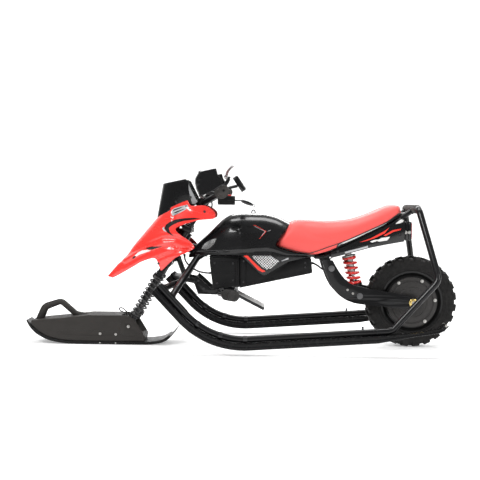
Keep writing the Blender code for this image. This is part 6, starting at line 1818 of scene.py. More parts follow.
def build_hand_guards():
    """Curved shields with a rolled lip, each on a stay from the bar."""
    rows = [[guard_spot(share / 24, place / GUARD_STEPS) for place in range(GUARD_STEPS + 1)]
        for share in range(25)]
    shell = coated(bevelled(thickened(sheet(rows), 0.0028), 0.0007, 2, 50), "tail")
    lip = [guard_spot(0.0, place / 30) for place in range(31)] + [guard_spot(share / 12, 1.0)
        for share in range(1, 12)]
    lip += [guard_spot(1.0, 1.0 - place / 30) for place in range(31)] + [guard_spot(1 - share / 12, 0.0)
        for share in range(1, 12)]
    lip = [Vector((point.x + 0.0004, max(point.y, -0.3198), point.z)) for point in lip]
    edge = coated(pipe(lip, 0.0021, 10, closed=True), "box")
    spot = bar_spot(-0.136)
    run = (bar_spot(-0.2) - bar_spot(-0.1)).normalized()
    collar = turned(mm(11.2, -6, 16, -6, 16.5, -5, 16.5, 5, 16, 6, 11.2, 6), spot, run, 40, closed=True)
    stay = pipe(smooth_path([spot - Vector((0.013, 0.0, 0.0)), (-0.135, -0.146, 0.604), (-0.1615, -0.19, 0.618)],
        14), 0.0055, 20)
    parts = [shell, edge, coated(collar, "box"), coated(stay, "tube")]
    face = [(guard_spot(share, place) + Vector((-0.0012, 0, 0)), Vector((-1, 0, 0)))
        for share, place in ((0.3, 0.2), (0.45, 0.3))]
    parts.append(bolts(face, "dark_steel", 0.0036, 0.0018, 0.0052, 20))
    add_pair("hand_shield", parts, "steering", "hand_guard", 42)


def build_controls():
    """Brake lever and perch, switch box with key stalk and stop button, and the display."""
    pivot = Vector((-0.062, -0.186, 0.662))
    route = smooth_path([pivot, pivot + Vector((0.004, -0.026, 0.018)), (-0.046, -0.25, 0.694),
        (-0.036, -0.29, 0.7)], 28)
    blade = pipe(route, [0.0052] * 26 + [0.005, 0.003], 20)
    ball = turned(mm(0, -5, 3.2, -4.2, 5, -1.2, 5, 1.2, 3.2, 4.2, 0, 5), route[-2], route[-1] - route[-3], 24)
    boss = rod(pivot - RAKE_FORE * 0.0055, pivot + RAKE_FORE * 0.0055, 0.0078, 32, 0.0008)
    head = bolts([(pivot + RAKE_FORE * 0.0052, RAKE_FORE)], "dark_steel", 0.0036, 0.002, 0.0052)
    parts = coats("rod", blade, ball, boss) + [head]
    add_piece("brake_lever_blade", parts, "lever", ["brake_lever"])
    spot = bar_spot(-0.184)
    run = (bar_spot(-0.2) - bar_spot(-0.1)).normalized()
    seat = pivot - RAKE_FORE * 0.0058
    collar = turned(mm(11.2, -9, 17.5, -9, 18.5, -8, 18.5, 8, 17.5, 9, 11.2, 9), spot, run, 40, closed=True)
    disc = rod(seat, seat - RAKE_FORE * 0.008, 0.008, 32, 0.0008)
    post = pipe(smooth_path([spot + Vector((0, 0, 0.012)), (-0.062, -0.18, 0.64), seat - RAKE_FORE * 0.0045], 16),
        0.007, 24)
    add_piece("lever_clamp", coats("box", collar, disc, post), "steering", ["lever_perch"])
    spot = bar_spot(SWITCH_Y)
    top = spot.z - 0.0116
    case = box((spot.x - 0.01, -0.172, top - 0.034), (spot.x + 0.056, -0.145, top), edge=0.004, segments=4)
    well = rod(Vector((spot.x + 0.035, SWITCH_Y, top - 0.01)), Vector((spot.x + 0.035, SWITCH_Y, top + 0.01)),
        0.0075, 32)
    root = Vector((spot.x + 0.054, SWITCH_Y, top - 0.017))
    stalk = coated(rod(root, root + Vector((0.027, 0.0, 0.0)), 0.0021, 16), "box")
    case = coated(bevelled(combine(case, well, "DIFFERENCE"), 0.0005, 2, 40), "box")
    seam = box((spot.x - 0.0103, -0.1723, top - 0.0185), (spot.x + 0.0563, -0.1447, top - 0.0172), edge=0.0005)
    spots = [(Vector((spot.x + dx, -0.1721, top - dz)), -ACROSS) for dx, dz in ((-0.004, 0.006), (0.05, 0.006),
        (-0.004, 0.029), (0.05, 0.029))]
    screws = bolts(spots, "dark_steel", 0.0022, 0.0008, 0.003, 16)
    fob_line = smooth_path(mm3(-6, -158, 574.5, 16, -158, 566.5, 38.5, -158, 558.4), 24)
    fob = pipe(fob_line, [0.0028 + 0.0046 * sin(pi * step / 23) ** 0.5 for step in range(24)], 24)
    ring = pipe([fob_line[-1] + Vector((0.004 + 0.004 * cos(turn), 0.0, -0.0035 + 0.0052 * sin(turn)))
        for turn in [radians(15 * step) for step in range(24)]], 0.001, 10, closed=True)
    parts = [case, coated(seam, "tank"), stalk, screws, coated(fob, "tail"), coated(ring, "dark_steel")]
    add_piece("switch_case", parts, "steering", ["switch_box"])
    place = Vector((spot.x + 0.035, SWITCH_Y, top))
    dome = turned(mm(0, -4.5, 6.8, -4.5, 7.2, -3, 7.2, 3, 6.2, 4.5, 3.6, 5, 0, 4.6), place, UP, 40)
    add_piece("stop_cap", [coated(dome, "film_red")], "button", ["stop_button"])
    turn = Matrix.Translation((-0.014, -0.045, 0.64)) @ Matrix.Rotation(radians(-34), 4, "Y")
    shell = box((-0.011, -0.034, -0.033), (0.0085, 0.034, 0.033), edge=0.0035, segments=4)
    bezel = box((0.008, -0.0325, -0.0315), (0.01, 0.0325, 0.0315), edge=0.0009)
    glass = box((0.0096, -0.0285, -0.013), (0.0108, 0.0285, 0.0275), edge=0.0005)
    keys = [box((0.0098, y - 0.0055, -0.0275), (0.0112, y + 0.0055, -0.0195), edge=0.0007)
        for y in (-0.018, 0.0, 0.018)]
    parts = [coated(shell, "tail"), coated(bezel, "box"), coated(glass, "glass")]
    parts += [coated(key, "peg") for key in keys]
    for mesh in parts:
        mesh.transform(turn)
    clamp = on_axis(0.5923, 0.0, -0.012)
    stem = pipe(smooth_path([clamp, clamp + RAKE_UP * 0.014, (-0.06, -0.04, 0.622), (-0.022, -0.045, 0.632)], 20),
        0.006, 20)
    foot = rod(clamp, clamp + RAKE_UP * 0.003, 0.0095, 28, 0.0006)
    parts += [coated(stem, "tube"), coated(foot, "dark_steel")]
    add_piece("display_unit", parts, "steering", ["display"])


def build_fork(details):
    """Sliders with their eyes and spring seats, the coil springs and the ski's pivot bolt."""
    centre = SKI_PIVOT - ACROSS * LEG_Y
    shaft = rod(on_axis(0.01, side=-LEG_Y), on_axis(0.25, side=-LEG_Y), 0.009, 36)
    eye = turned(mm(6, -10, 14, -10, 15, -9, 15, 9, 14, 10, 6, 10), centre, ACROSS, 48, closed=True)
    seat = turned(mm(9, 46, 22, 46, 23, 47, 23, 52, 22, 53, 9, 53), on_axis(0.0, side=-LEG_Y), RAKE_UP, 48,
        closed=True)
    neck = turned(mm(9, 13, 11.8, 14, 10.8, 40, 11.2, 46, 9, 46), on_axis(0.0, side=-LEG_Y), RAKE_UP, 40,
        closed=True)
    parts = [coated(shaft, "dark_steel"), coated(eye, "tube"), coated(seat, "tube"), coated(neck, "tube"),
        weld(on_axis(0.015, side=-LEG_Y), RAKE_UP, 0.011, 0.0016)]
    add_pair("fork_leg", parts, "fork", "fork_slider")
    coil = grown("coils", None, "spring_black", standing(on_axis(0.0568, side=-LEG_Y), RAKE_UP), coil_radius=0.0199,
        wire_radius=0.0032, height=0.1704, turns=details.fork_turns)
    shortening = ("fork", "steering", on_axis(0.06), on_axis(0.224))
    add_pair("fork_coil", [coil], shortening, "fork_spring")
    pin = coated(rod(SKI_PIVOT - ACROSS * 0.0645, SKI_PIVOT + ACROSS * 0.0645, 0.0057, 28), "steel")
    spots = [(SKI_PIVOT + ACROSS * side * 0.0642, ACROSS * side) for side in SIDES]
    heads = bolts(spots, "steel", 0.0044, 0.0034, 0.0058)
    add_piece("ski_pivot_bolt", [pin, heads], "fork", ["ski_axle"])


# Ski

def ski_width(x):
    """The body's half width: full at the fork, drawn in towards the tip."""
    return eased(mm(-850, 52, -790, 60, -700, 62.2, -360, 62.5), x)


def build_ski():
    """The hollow grey body with ledges and cheek pads, its handle, bolts and the black sole."""
    floor = [tuple(point) for point in offset_path(SKI_UNDER, 0.0123) if point[0] < -0.4 and point[1] < 0.08]
    outline = floor + [(-0.386, 0.0123)] + list(reversed(SKI_TOP_LINE))
    solid = plate(outline, -SKI_HALF, SKI_HALF, edge=0.0075, segments=5)
    inner = 0.0585
    hollow = plate(mm(-790, -20, -790, 84, -701, 96, -607, 107, -515, 107, -515, -20), -inner, inner)
    pocket = plate(mm(-478, 40, -478, 200, -300, 200, -300, 40), -inner, inner, edge=0.006)
    ledge = mm(-735, 50, -690, 36, -520, 33, -510, 48, -560, 54, -690, 57)
    tools = [hollow, pocket]
    for side in SIDES:
        tools.append(plate(ledge, side * 0.0635 - 0.0022, side * 0.0635 + 0.0022, edge=0.0008))
    for tool in tools:
        solid = combine(solid, tool, "DIFFERENCE")
    solid = combine(solid, rod(SKI_PIVOT - ACROSS * 0.1, SKI_PIVOT + ACROSS * 0.1, 0.0063, 28), "DIFFERENCE")
    form = bmesh.new()
    form.from_mesh(solid)
    long_edges = [edge for edge in form.edges if edge.calc_length() > 0.05]
    bmesh.ops.subdivide_edges(form, edges=long_edges, cuts=3, use_grid_fill=True)
    for vert in form.verts:
        vert.co.y *= ski_width(vert.co.x) / SKI_HALF
    form.to_mesh(solid)
    form.free()
    parts = [coated(bevelled(solid, 0.0008, 2, 40), "ski")]
    pad = plate(mm(-480, 99, -430, 99, -401, 50, -418, 34.5, -477, 33.8), 0.06, 0.0638,
        [circle_outline(SKI_PIVOT.x, SKI_PIVOT.z, 0.01)], edge=0.0009)
    parts += [coated(pad, "ski"), coated(mirrored(pad), "ski")]
    loop = bent_path(mm3(-821, 0, 72, -792, 0, 140, -727, 0, 163, -668, 0, 112, -606, 0, 101), [0.03, 0.022, 0.03])
    reach = [max(0.012, min(0.0152, 0.0152 - 0.07 * (point.x + 0.8))) for point in loop]
    parts.append(coated(pipe(loop, reach, 32), "ski"))
    ribs = grown("rings", None, "peg", standing((-0.813, 0, 0.0905), (0.029, 0, 0.068)), rib_radius=0.015,
        rib_size=0.0011, spacing=0.0042, ribs=9)
    parts.append(ribs)
    tie = smooth_loop(mm(-456, 115, -466, 127, -480, 135, -485, 143, -476, 146, -464, 139, -453, 128, -448, 114.5),
        5)
    parts.append(coated(pipe([(x, -0.059, z) for x, z in tie], 0.0023, 12, closed=True), "spring_black"))
    spots = side_spots(0.0616, ((-0.56, 0.042), (-0.498, 0.04)))
    parts.append(bolts(spots, "steel", 0.0034, 0.0026, 0.005))
    add_piece("ski_shell", parts, "ski", ["ski_body"], 40)
    line = [(-0.8606, 0.089)] + SKI_UNDER[1:-4] + mm(-385, 0, -345, 3, -316, 8.5, -297, 17.5, -281, 31, -268, 46,
        -254, 64)
    under = smooth_path([(x, 0, z) for x, z in line], 80)
    above = []
    for point, raised in zip(under, offset_path([(point.x, point.z) for point in under], 1.0)):
        thick = eased(mm(-862, 5, -840, 11.5, -300, 11.5, -284, 10, -279, 3.6, -250, 3), point.x)
        above.append(point + Vector((raised[0] - point.x, 0.0, raised[1] - point.z)) * thick)
    rings = []
    for low, high in zip(under, above):
        half = 0.066 * (0.5 + 0.5 * sqrt(min(1.0, max(0.0, (low.x + 0.8622) / 0.048))))
        half *= 0.84 + 0.16 * sqrt(min(1.0, max(0.0, (-0.254 - low.x) / 0.045)))
        keel = 0.0022 * min(1.0, max(0.0, (low.x + 0.8) / 0.05)) * min(1.0, max(0.0, (-0.34 - low.x) / 0.05))
        lift = Vector((0.0, 0.0, keel))
        row = [(-half, 0.8), (-half, 0.25), (-half + 0.003, 0.0)]
        ring = [between(low, high, share) + ACROSS * y for y, share in row]
        ring += [low + lift + ACROSS * -0.03, low + lift + ACROSS * -0.011, low + ACROSS * -0.008,
            low + ACROSS * 0.008, low + lift + ACROSS * 0.011, low + lift + ACROSS * 0.03]
        ring += [between(low, high, share) + ACROSS * -y for y, share in reversed(row)]
        ring += [high + ACROSS * (half - 0.003), high - ACROSS * (half - 0.003)]
        rings.append(ring)
    sole = coated(bevelled(loft(rings), 0.0006, 2, 35), "ski_sole")
    spots = [(Vector((x, side * 0.0658, 0.0062)), ACROSS * side) for side in SIDES for x in (-0.56, -0.498)]
    heads = bolts(spots, "steel", 0.0022, 0.001, 0.003, 16)
    add_piece("ski_sole_plate", [sole, heads], "ski", ["ski_base"], 35)


# Wheel, arm and shock

def tread_block(side):
    """One shoulder block: a tapered lug from the crown down the shoulder."""
    inner, outer = 0.006, 0.0455
    rows = []
    for y, high in ((inner, 0.0078), (0.02, 0.008), (0.034, 0.006), (outer, -0.001), (0.0468, -0.017)):
        wide = 0.015 - 0.0024 * (y > 0.03)
        low = -0.004 if y < 0.04 else high - 0.004
        rows.append([(low, -wide, side * y), (low, wide, side * y), (high, wide - 0.0014, side * y),
            (high, -wide + 0.0014, side * y)])
    mesh = loft([[Vector(point) for point in row] for row in rows])
    return tidy(mesh)


def bolt_circle(start, radius, height):
    """Six places round the hub on both sides, from a first angle."""
    return [(AXLE + Vector((cos(turn), 0, sin(turn))) * radius + ACROSS * side * height, ACROSS * side)
        for side in SIDES for turn in [radians(start + 60 * index) for index in range(6)]]


def build_wheel(details):
    """The knobbly tyre on its rim, and the hub motor with covers, groove and bolts."""
    wide = 0.047
    crown = 0.1722
    profile = [(0.1196, -0.037), (0.125, -0.0405), (0.13, -0.0425), (0.133, -0.0418), (0.1345, -0.0435),
        (0.144, -0.0458), (0.1455, -0.045), (0.147, -0.0462), (0.1545, -0.0462), (0.16, -0.044), (0.165, -0.039),
        (0.169, -0.03), (0.1712, -0.018), (crown, -0.006), (crown, 0.006)]
    profile += [(radius, -y) for radius, y in reversed(profile[:-2])]
    carcass = coated(turned(profile, AXLE, ACROSS, 144, closed=True), "tyre")
    blocks = []
    for side, start in ((-1.0, 0.0), (1.0, pi / details.tread_blocks)):
        blocks.append(grown("wheel", tread_block(side), "tyre", Matrix.Translation(AXLE), radius=0.172,
            blocks=details.tread_blocks, start_angle=start))
    knob = box((-0.004, -0.005, -0.0042), (0.0066, 0.005, 0.0042), edge=0.001, segments=1)
    blocks.append(grown("wheel", knob, "tyre", Matrix.Translation(AXLE), radius=0.172,
        blocks=details.tread_blocks * 2, start_angle=pi / details.tread_blocks / 2))
    add_piece("knobbly_tyre", [carcass] + blocks, "wheel", ["tyre"], 32)
    half = wide - 0.011
    side = [(0.0083, 0.05), (0.02, 0.05), (0.0235, 0.049), (0.026, 0.0462), (0.03, 0.047), (0.056, 0.0468),
        (0.0575, 0.0458), (0.0592, 0.0458), (0.0605, 0.0466), (0.08, 0.046), (0.082, 0.044), (0.085, 0.044),
        (0.0862, 0.0462), (0.098, 0.0455), (0.099, 0.0445), (0.099, half - 0.006), (0.105, half - 0.007),
        (0.112, half - 0.002), (0.116, half + 0.005), (0.123, half + 0.006), (0.125, half + 0.004),
        (0.124, half + 0.001), (0.119, half)]
    profile = side + [(radius, -height) for radius, height in reversed(side)]
    drum = turned(profile, AXLE, ACROSS, 128, closed=True)
    parts = [coated(drum, "hub")]
    parts[0].materials.append(FINISH["rim"])
    for face in parts[0].polygons:
        gap = (face.center - AXLE)
        if hypot(gap.x, gap.z) > 0.0992:
            face.material_index = 1
    parts.append(bolts(bolt_circle(5, 0.092, 0.0456), "steel", 0.0052, 0.003, 0.0066))
    parts.append(bolts(bolt_circle(35, 0.042, 0.0466), "dark_steel", 0.0024, 0.0008, 0.0034, 16))
    add_piece("hub_drum", parts, "wheel", ["hub_motor"], 32)


def build_arm():
    """Both arm plates with their cross tube, the bolts and the axle's yellow nuts."""
    low = [(ARM_X + x, ARM_Z + z) for x, z in mm(-40, 35, -30, 3, -19, -25, -6, -56, 14, -88, 46, -116, 87, -134,
        131, -141)]
    high = [(ARM_X + x, ARM_Z + z) for x, z in mm(133, -75, 77, -59, 49, -36, 25, -4, 4, 32)]
    tip = [(AXLE.x + 0.026 * cos(turn), AXLE.z + 0.026 * sin(turn))
        for turn in [radians(-96 + 12 * index) for index in range(17)]]
    low = [(point.x, point.z) for point in smooth_path([(x, 0, z) for x, z in low], 30)]
    high = [(point.x, point.z) for point in smooth_path([(x, 0, z) for x, z in high], 18)]
    holes = [circle_outline(ARM_X, ARM_Z, 0.0063), circle_outline(0.462, 0.205, 0.0058),
        circle_outline(AXLE.x, AXLE.z, 0.0083)]
    side = plate(low + tip + high, -0.0775, -0.0715, holes, edge=0.0011)
    bar = rod((TIE_X, -0.0735, TIE_Z), (TIE_X, 0.0735, TIE_Z), 0.012, 36)
    parts = coats("tube", side, mirrored(side), bar)
    parts += [weld((TIE_X, way * 0.0708, TIE_Z), ACROSS, 0.0122, 0.0018) for way in SIDES]
    spots = side_spots(0.0768, ((0.4138, 0.229), (0.435, 0.215)))
    parts.append(bolts(spots, "steel", 0.0032, 0.0022, 0.0046))
    add_piece("rear_arm", parts, "arm", ["swing_arm"], 32)
    for name, node, spot, radius in (("arm_pivot_bolt", "arm_bolt", ARM_PIVOT, 0.0057),
            ("shock_foot_bolt", "shock_bolt", SHOCK_FOOT, 0.0055)):
        shank = coated(rod(spot - ACROSS * 0.079, spot + ACROSS * 0.079, radius, 24), "steel")
        spots = [(spot + ACROSS * way * 0.0787, ACROSS * way) for way in SIDES]
        heads = bolts(spots, "bolt_grey", 0.0095, 0.0042, 0.0122, 20)
        add_piece(name, [shank, heads], "arm", [node])
    parts = [coated(rod(AXLE - ACROSS * 0.0915, AXLE + ACROSS * 0.0915, 0.008, 32, 0.001), "steel")]
    for way in SIDES:
        collar = turned(mm(8, 52.3, 13.5, 52.3, 14, 53, 14, 70.5, 13.5, 71.2, 8, 71.2), AXLE, ACROSS * way, 36,
            closed=True)
        flange = turned(mm(8, 77.8, 16.2, 77.8, 17, 78.6, 17, 79.6, 15, 80.8, 8, 80.8), AXLE, ACROSS * way, 40,
            closed=True)
        nut = turned(mm(8, 80, 13.5, 80, 13.5, 86.8, 12.2, 87.6, 8, 87.6), AXLE, ACROSS * way, 6, closed=True)
        parts += [coated(collar, "dark_steel"), coated(flange, "brass"), coated(nut, "brass")]
    threads = [rod(AXLE + ACROSS * way * height, AXLE + ACROSS * way * (height + 0.0005), 0.0083, 24)
        for way in SIDES for height in (0.0882, 0.0892, 0.0902)]
    parts += coats("steel", *threads)
    add_piece("axle_shaft", parts, "arm", ["axle"], 32)


def build_shock(details):
    """The spring-and-damper unit: can, seats, rod, adjuster ring and red coil."""
    def eye(spot, finish):
        mesh = turned(mm(7.3, -11, 12.2, -11, 13, -10, 13, 10, 12.2, 11, 7.3, 11), spot, ACROSS, 44, closed=True)
        return coated(mesh, finish)
    can = turned(mm(6.3, 92, 13, 92, 14, 93, 14, 150, 13, 151, 13, 153, 14, 154.3, 27.5, 154.3, 28.5, 155.3,
        28.5, 159, 27.5, 160, 14, 161, 12.5, 178, 10, 182, 6.3, 182), SHOCK_FOOT, SHOCK_RUN, 56, closed=True)
    parts = [coated(can, "steel"), eye(SHOCK_TOP, "dark_steel")]
    add_piece("shock_can", parts, "shock_upper", ["shock_body"])
    shaft = rod(SHOCK_FOOT + SHOCK_RUN * 0.012, SHOCK_FOOT + SHOCK_RUN * 0.128, 0.006, 32)
    base = turned(mm(0, 11, 10.5, 11, 12, 12.5, 12, 31.5, 28.5, 32, 28.5, 35.5, 27, 37, 28.5, 38.5, 28.5, 42.7,
        27.5, 43.7, 6, 43.7), SHOCK_FOOT, SHOCK_RUN, 56)
    ring = turned(mm(12.1, 20.5, 16, 20.5, 16.6, 21.5, 16.6, 26.5, 16, 27.5, 12.1, 27.5), SHOCK_FOOT, SHOCK_RUN, 20,
        closed=True)
    bump = turned(mm(6.2, 44, 9.5, 44, 10.5, 48, 8.5, 56, 6.2, 57), SHOCK_FOOT, SHOCK_RUN, 32, closed=True)
    parts = [coated(shaft, "rod"), coated(base, "dark_steel"), coated(ring, "spring_red"), coated(bump, "peg"),
        eye(SHOCK_FOOT, "dark_steel")]
    add_piece("shock_shaft", parts, "shock_lower", ["shock_rod"])
    coil = grown("coils", None, "spring_red", standing(SHOCK_FOOT + SHOCK_RUN * 0.0482, SHOCK_RUN),
        coil_radius=0.023, wire_radius=0.0055, height=0.1016, turns=details.shock_turns)
    shortening = ("shock_lower", "shock_upper", SHOCK_FOOT + SHOCK_RUN * 0.052, SHOCK_FOOT + SHOCK_RUN * 0.146)
    add_piece("shock_coil", [coil], shortening, ["shock_spring"])


# Studio: floor, soft lights and the camera at the photograph's angle

CAMERA_SPOT = (0.0339, -3.4, 0.5765)
CAMERA_RIGHT = Vector((0.9999, 0.0123, 0.0105))
CAMERA_UP = Vector((-0.011, 0.0469, 0.9988))
CAMERA_LENS = 63.75


def add_light(name, spot, aim, size, power, shade=(1.0, 1.0, 1.0)):
    data = bpy.data.lights.new(name, "AREA")
    data.shape = "RECTANGLE"
    data.size, data.size_y = size
    data.energy = power
    data.color = shade
    way = (Vector(aim) - Vector(spot)).to_track_quat("-Z", "Y")
    linked(name, data).matrix_world = Matrix.Translation(spot) @ way.to_matrix().to_4x4()


def build_stage(details):
    """Pale floor that curves up behind, soft area lights and the camera."""
    rows = []
    for index in range(41):
        place = index / 40
        if place < 0.45:
            y, z = between(-6.0, 3.0, place / 0.45), 0.0
        elif place < 0.75:
            turn = pi / 2 * (place - 0.45) / 0.3
            y, z = 3.0 + 2.0 * sin(turn), 2.0 * (1 - cos(turn))
        else:
            y, z = 5.0, between(2.0, 7.0, (place - 0.75) / 0.25)
        rows.append([(x, y, z - 0.0005) for x in (8.0, 3.0, 0.0, -3.0, -8.0)])
    mesh = coated(tidy(sheet(rows)), "floor")
    mesh.shade_smooth()
    floor = linked("studio_floor", mesh)
    add_light("key_light", (-2.2, -3.2, 3.6), (0.0, 0.0, 0.25), (2.0, 1.2), 150 * details.light_level)
    add_light("fill_light", (3.2, -3.0, 2.0), (0.1, 0.0, 0.3), (1.4, 1.8), 60 * details.light_level)
    add_light("top_light", (0.0, 0.3, 3.8), (0.0, 0.0, 0.2), (3.6, 1.2), 130 * details.light_level)
    add_light("back_light", (0.6, 3.4, 2.6), (0.0, 0.0, 0.4), (3.0, 0.8), 70 * details.light_level)
    world = bpy.data.worlds.new("studio_air")
    world.use_nodes = True
    world.node_tree.nodes["Background"].inputs["Color"].default_value = (1.0, 1.0, 1.0, 1.0)
    world.node_tree.nodes["Background"].inputs["Strength"].default_value = 0.26 * details.light_level
    bpy.context.scene.world = world
    bpy.context.scene.view_settings.view_transform = "Standard"
    data = bpy.data.cameras.new("photo_camera")
    data.lens = CAMERA_LENS
    data.sensor_width = 36.0
    camera = linked("photo_camera", data)
    back = CAMERA_RIGHT.cross(CAMERA_UP).normalized()
    up = back.cross(CAMERA_RIGHT).normalized()
    turn = Matrix((CAMERA_RIGHT.normalized(), up, back)).transposed()
    camera.matrix_world = Matrix.Translation(CAMERA_SPOT) @ turn.to_4x4()
    bpy.context.scene.camera = camera


# What a user may change

def colour_property(name, description, value):
    return bpy.props.FloatVectorProperty(name=name, description=description, default=value, size=3, min=0.0,
        max=1.0, subtype="COLOR")


class SCOOTER_PG_colours(bpy.types.PropertyGroup):
    cowl_red: colour_property("Cowl red", "Gloss colour of the nose cowl", (0.8, 0.03, 0.022))
    seat_red: colour_property("Saddle red", "Colour of the saddle's vinyl", (0.85, 0.085, 0.075))
    frame_black: colour_property("Frame black", "Powder coat on the tubes", (0.006, 0.006, 0.0066))
    ski_grey: colour_property("Ski grey", "Moulded plastic of the ski's shell", (0.028, 0.0255, 0.0235))
    spring_red: colour_property("Spring red", "Enamel of the shock's coil", (0.75, 0.03, 0.025))
    floor_white: colour_property("Floor", "The studio floor", (0.92, 0.92, 0.92))


class SCOOTER_PG_details(bpy.types.PropertyGroup):
    tread_blocks: bpy.props.IntProperty(name="Tread blocks", description="Shoulder blocks on each side of the tyre",
        default=24, min=8, max=60)
    shock_turns: bpy.props.FloatProperty(name="Shock coil turns", description="Turns of the rear spring",
        default=5.0, min=2.0, max=12.0)
    fork_turns: bpy.props.FloatProperty(name="Fork coil turns", description="Turns of each fork spring",
        default=9.0, min=3.0, max=16.0)
    plate_ribs: bpy.props.IntProperty(name="Brake plate ribs", description="Ribs along the foot brake", default=9,
        min=4, max=24)
    grille_pitch: bpy.props.FloatProperty(name="Grille pitch", description="Distance between the grille's wires",
        default=0.0073, min=0.003, max=0.02, unit="LENGTH", subtype="DISTANCE")
    grip_rib_spacing: bpy.props.FloatProperty(name="Grip rib spacing",
        description="Distance between the grips' ribs", default=0.0034, min=0.002, max=0.01, unit="LENGTH",
        subtype="DISTANCE")
    stitch_length: bpy.props.FloatProperty(name="Stitch length",
        description="Length of one stitch on the saddle's seam", default=0.0045, min=0.002, max=0.012,
        unit="LENGTH", subtype="DISTANCE")
    flute_depth: bpy.props.FloatProperty(name="Flute depth", description="How deep the cowl's flutes are",
        default=0.0058, min=0.0, max=0.008, unit="LENGTH", subtype="DISTANCE")
    light_level: bpy.props.FloatProperty(name="Light level", description="Strength of the studio's lights",
        default=1.0, min=0.1, max=4.0)


def make_trees():
    for name, build in (("bolts", bolt_tree), ("wire", wire_tree), ("coils", coil_tree), ("rings", ring_tree),
            ("wheel", wheel_tree), ("stitches", stitch_tree)):
        TREES[name] = build()


class SCOOTER_OT_finishes(bpy.types.Operator):
    """Make every finish and Geometry Nodes tree"""
    bl_idname = "scooter.finishes"
    bl_label = "Finishes and trees"

    def execute(self, context):
        make_finishes(context.scene.scooter_colours)
        make_trees()
        return {"FINISHED"}


class SCOOTER_OT_stage(bpy.types.Operator):
    """Build the pale floor, the soft lights and the camera"""
    bl_idname = "scooter.stage"
    bl_label = "Stage, lights and camera"

    def execute(self, context):
        build_stage(context.scene.scooter_details)
        return {"FINISHED"}


class SCOOTER_OT_cables(bpy.types.Operator):
    """Build the three cables with their boots"""
    bl_idname = "scooter.cables"
    bl_label = "Cables"

    def execute(self, context):
        build_cables()
        return {"FINISHED"}


class SCOOTER_OT_main_frame(bpy.types.Operator):
    """Build the backbone, head tube, rails and front arch"""
    bl_idname = "scooter.main_frame"
    bl_label = "Main frame"

    def execute(self, context):
        build_main_frame()
        return {"FINISHED"}


class SCOOTER_OT_side_tubes(bpy.types.Operator):
    """Build the runner tubes on both sides"""
    bl_idname = "scooter.side_tubes"
    bl_label = "Runner tubes"

    def execute(self, context):
        build_side_tubes()
        return {"FINISHED"}


class SCOOTER_OT_hoop(bpy.types.Operator):
    """Build the hoop behind the seat with its sleeve"""
    bl_idname = "scooter.hoop"
    bl_label = "Rear hoop"

    def execute(self, context):
        build_hoop()
        return {"FINISHED"}


class SCOOTER_OT_skids(bpy.types.Operator):
    """Build the grooved skids under the runners"""
    bl_idname = "scooter.skids"
    bl_label = "Skids"

    def execute(self, context):
        build_skids()
        return {"FINISHED"}


class SCOOTER_OT_pegs(bpy.types.Operator):
    """Build the peg bar and the ribbed foot pegs"""
    bl_idname = "scooter.pegs"
    bl_label = "Foot pegs"

    def execute(self, context):
        build_pegs()
        return {"FINISHED"}


class SCOOTER_OT_brake_plate(bpy.types.Operator):
    """Build the ribbed foot brake plate"""
    bl_idname = "scooter.brake_plate"
    bl_label = "Foot brake"

    def execute(self, context):
        build_brake_plate(context.scene.scooter_details)
        return {"FINISHED"}


class SCOOTER_OT_tank(bpy.types.Operator):
    """Build the cover over the backbone with its films and vents"""
    bl_idname = "scooter.tank"
    bl_label = "Tank cover"

    def execute(self, context):
        build_tank()
        return {"FINISHED"}


class SCOOTER_OT_side_panels(bpy.types.Operator):
    """Build the panels with their mesh grilles"""
    bl_idname = "scooter.side_panels"
    bl_label = "Side panels"

    def execute(self, context):
        build_side_panels(context.scene.scooter_details)
        return {"FINISHED"}


class SCOOTER_OT_boxes(bpy.types.Operator):
    """Build the controller and battery boxes and coat what stays"""
    bl_idname = "scooter.boxes"
    bl_label = "Boxes"

    def execute(self, context):
        build_boxes()
        return {"FINISHED"}


class SCOOTER_OT_saddle(bpy.types.Operator):
    """Build the padded saddle with its piping and stitches"""
    bl_idname = "scooter.saddle"
    bl_label = "Saddle"

    def execute(self, context):
        build_seat(context.scene.scooter_details)
        return {"FINISHED"}


class SCOOTER_OT_tail(bpy.types.Operator):
    """Build the tail covers and the lamp"""
    bl_idname = "scooter.tail"
    bl_label = "Tail"

    def execute(self, context):
        build_tail()
        return {"FINISHED"}


class SCOOTER_OT_cowl(bpy.types.Operator):
    """Build the fluted nose cowl and the smoked windshield"""
    bl_idname = "scooter.cowl"
    bl_label = "Cowl and windshield"

    def execute(self, context):
        build_cowl(context.scene.scooter_details)
        return {"FINISHED"}


class SCOOTER_OT_steering_head(bpy.types.Operator):
    """Build the stem, yokes, fork tubes and bar"""
    bl_idname = "scooter.steering_head"
    bl_label = "Steering head"

    def execute(self, context):
        build_steering_head()
        return {"FINISHED"}


class SCOOTER_OT_grips(bpy.types.Operator):
    """Build the ribbed grips"""
    bl_idname = "scooter.grips"
    bl_label = "Grips"

    def execute(self, context):
        build_grips(context.scene.scooter_details)
        return {"FINISHED"}


class SCOOTER_OT_hand_guards(bpy.types.Operator):
    """Build the curved hand guards"""
    bl_idname = "scooter.hand_guards"
    bl_label = "Hand guards"

    def execute(self, context):
        build_hand_guards()
        return {"FINISHED"}


class SCOOTER_OT_controls(bpy.types.Operator):
    """Build the brake lever, switch box, stop button and display"""
    bl_idname = "scooter.controls"
    bl_label = "Controls"

    def execute(self, context):
        build_controls()
        return {"FINISHED"}


class SCOOTER_OT_fork(bpy.types.Operator):
    """Build the fork legs, coils and the ski's bolt"""
    bl_idname = "scooter.fork"
    bl_label = "Fork"

    def execute(self, context):
        build_fork(context.scene.scooter_details)
        return {"FINISHED"}


class SCOOTER_OT_ski(bpy.types.Operator):
    """Build the ski's shell, handle and sole"""
    bl_idname = "scooter.ski"
    bl_label = "Ski"

    def execute(self, context):
        build_ski()
        return {"FINISHED"}


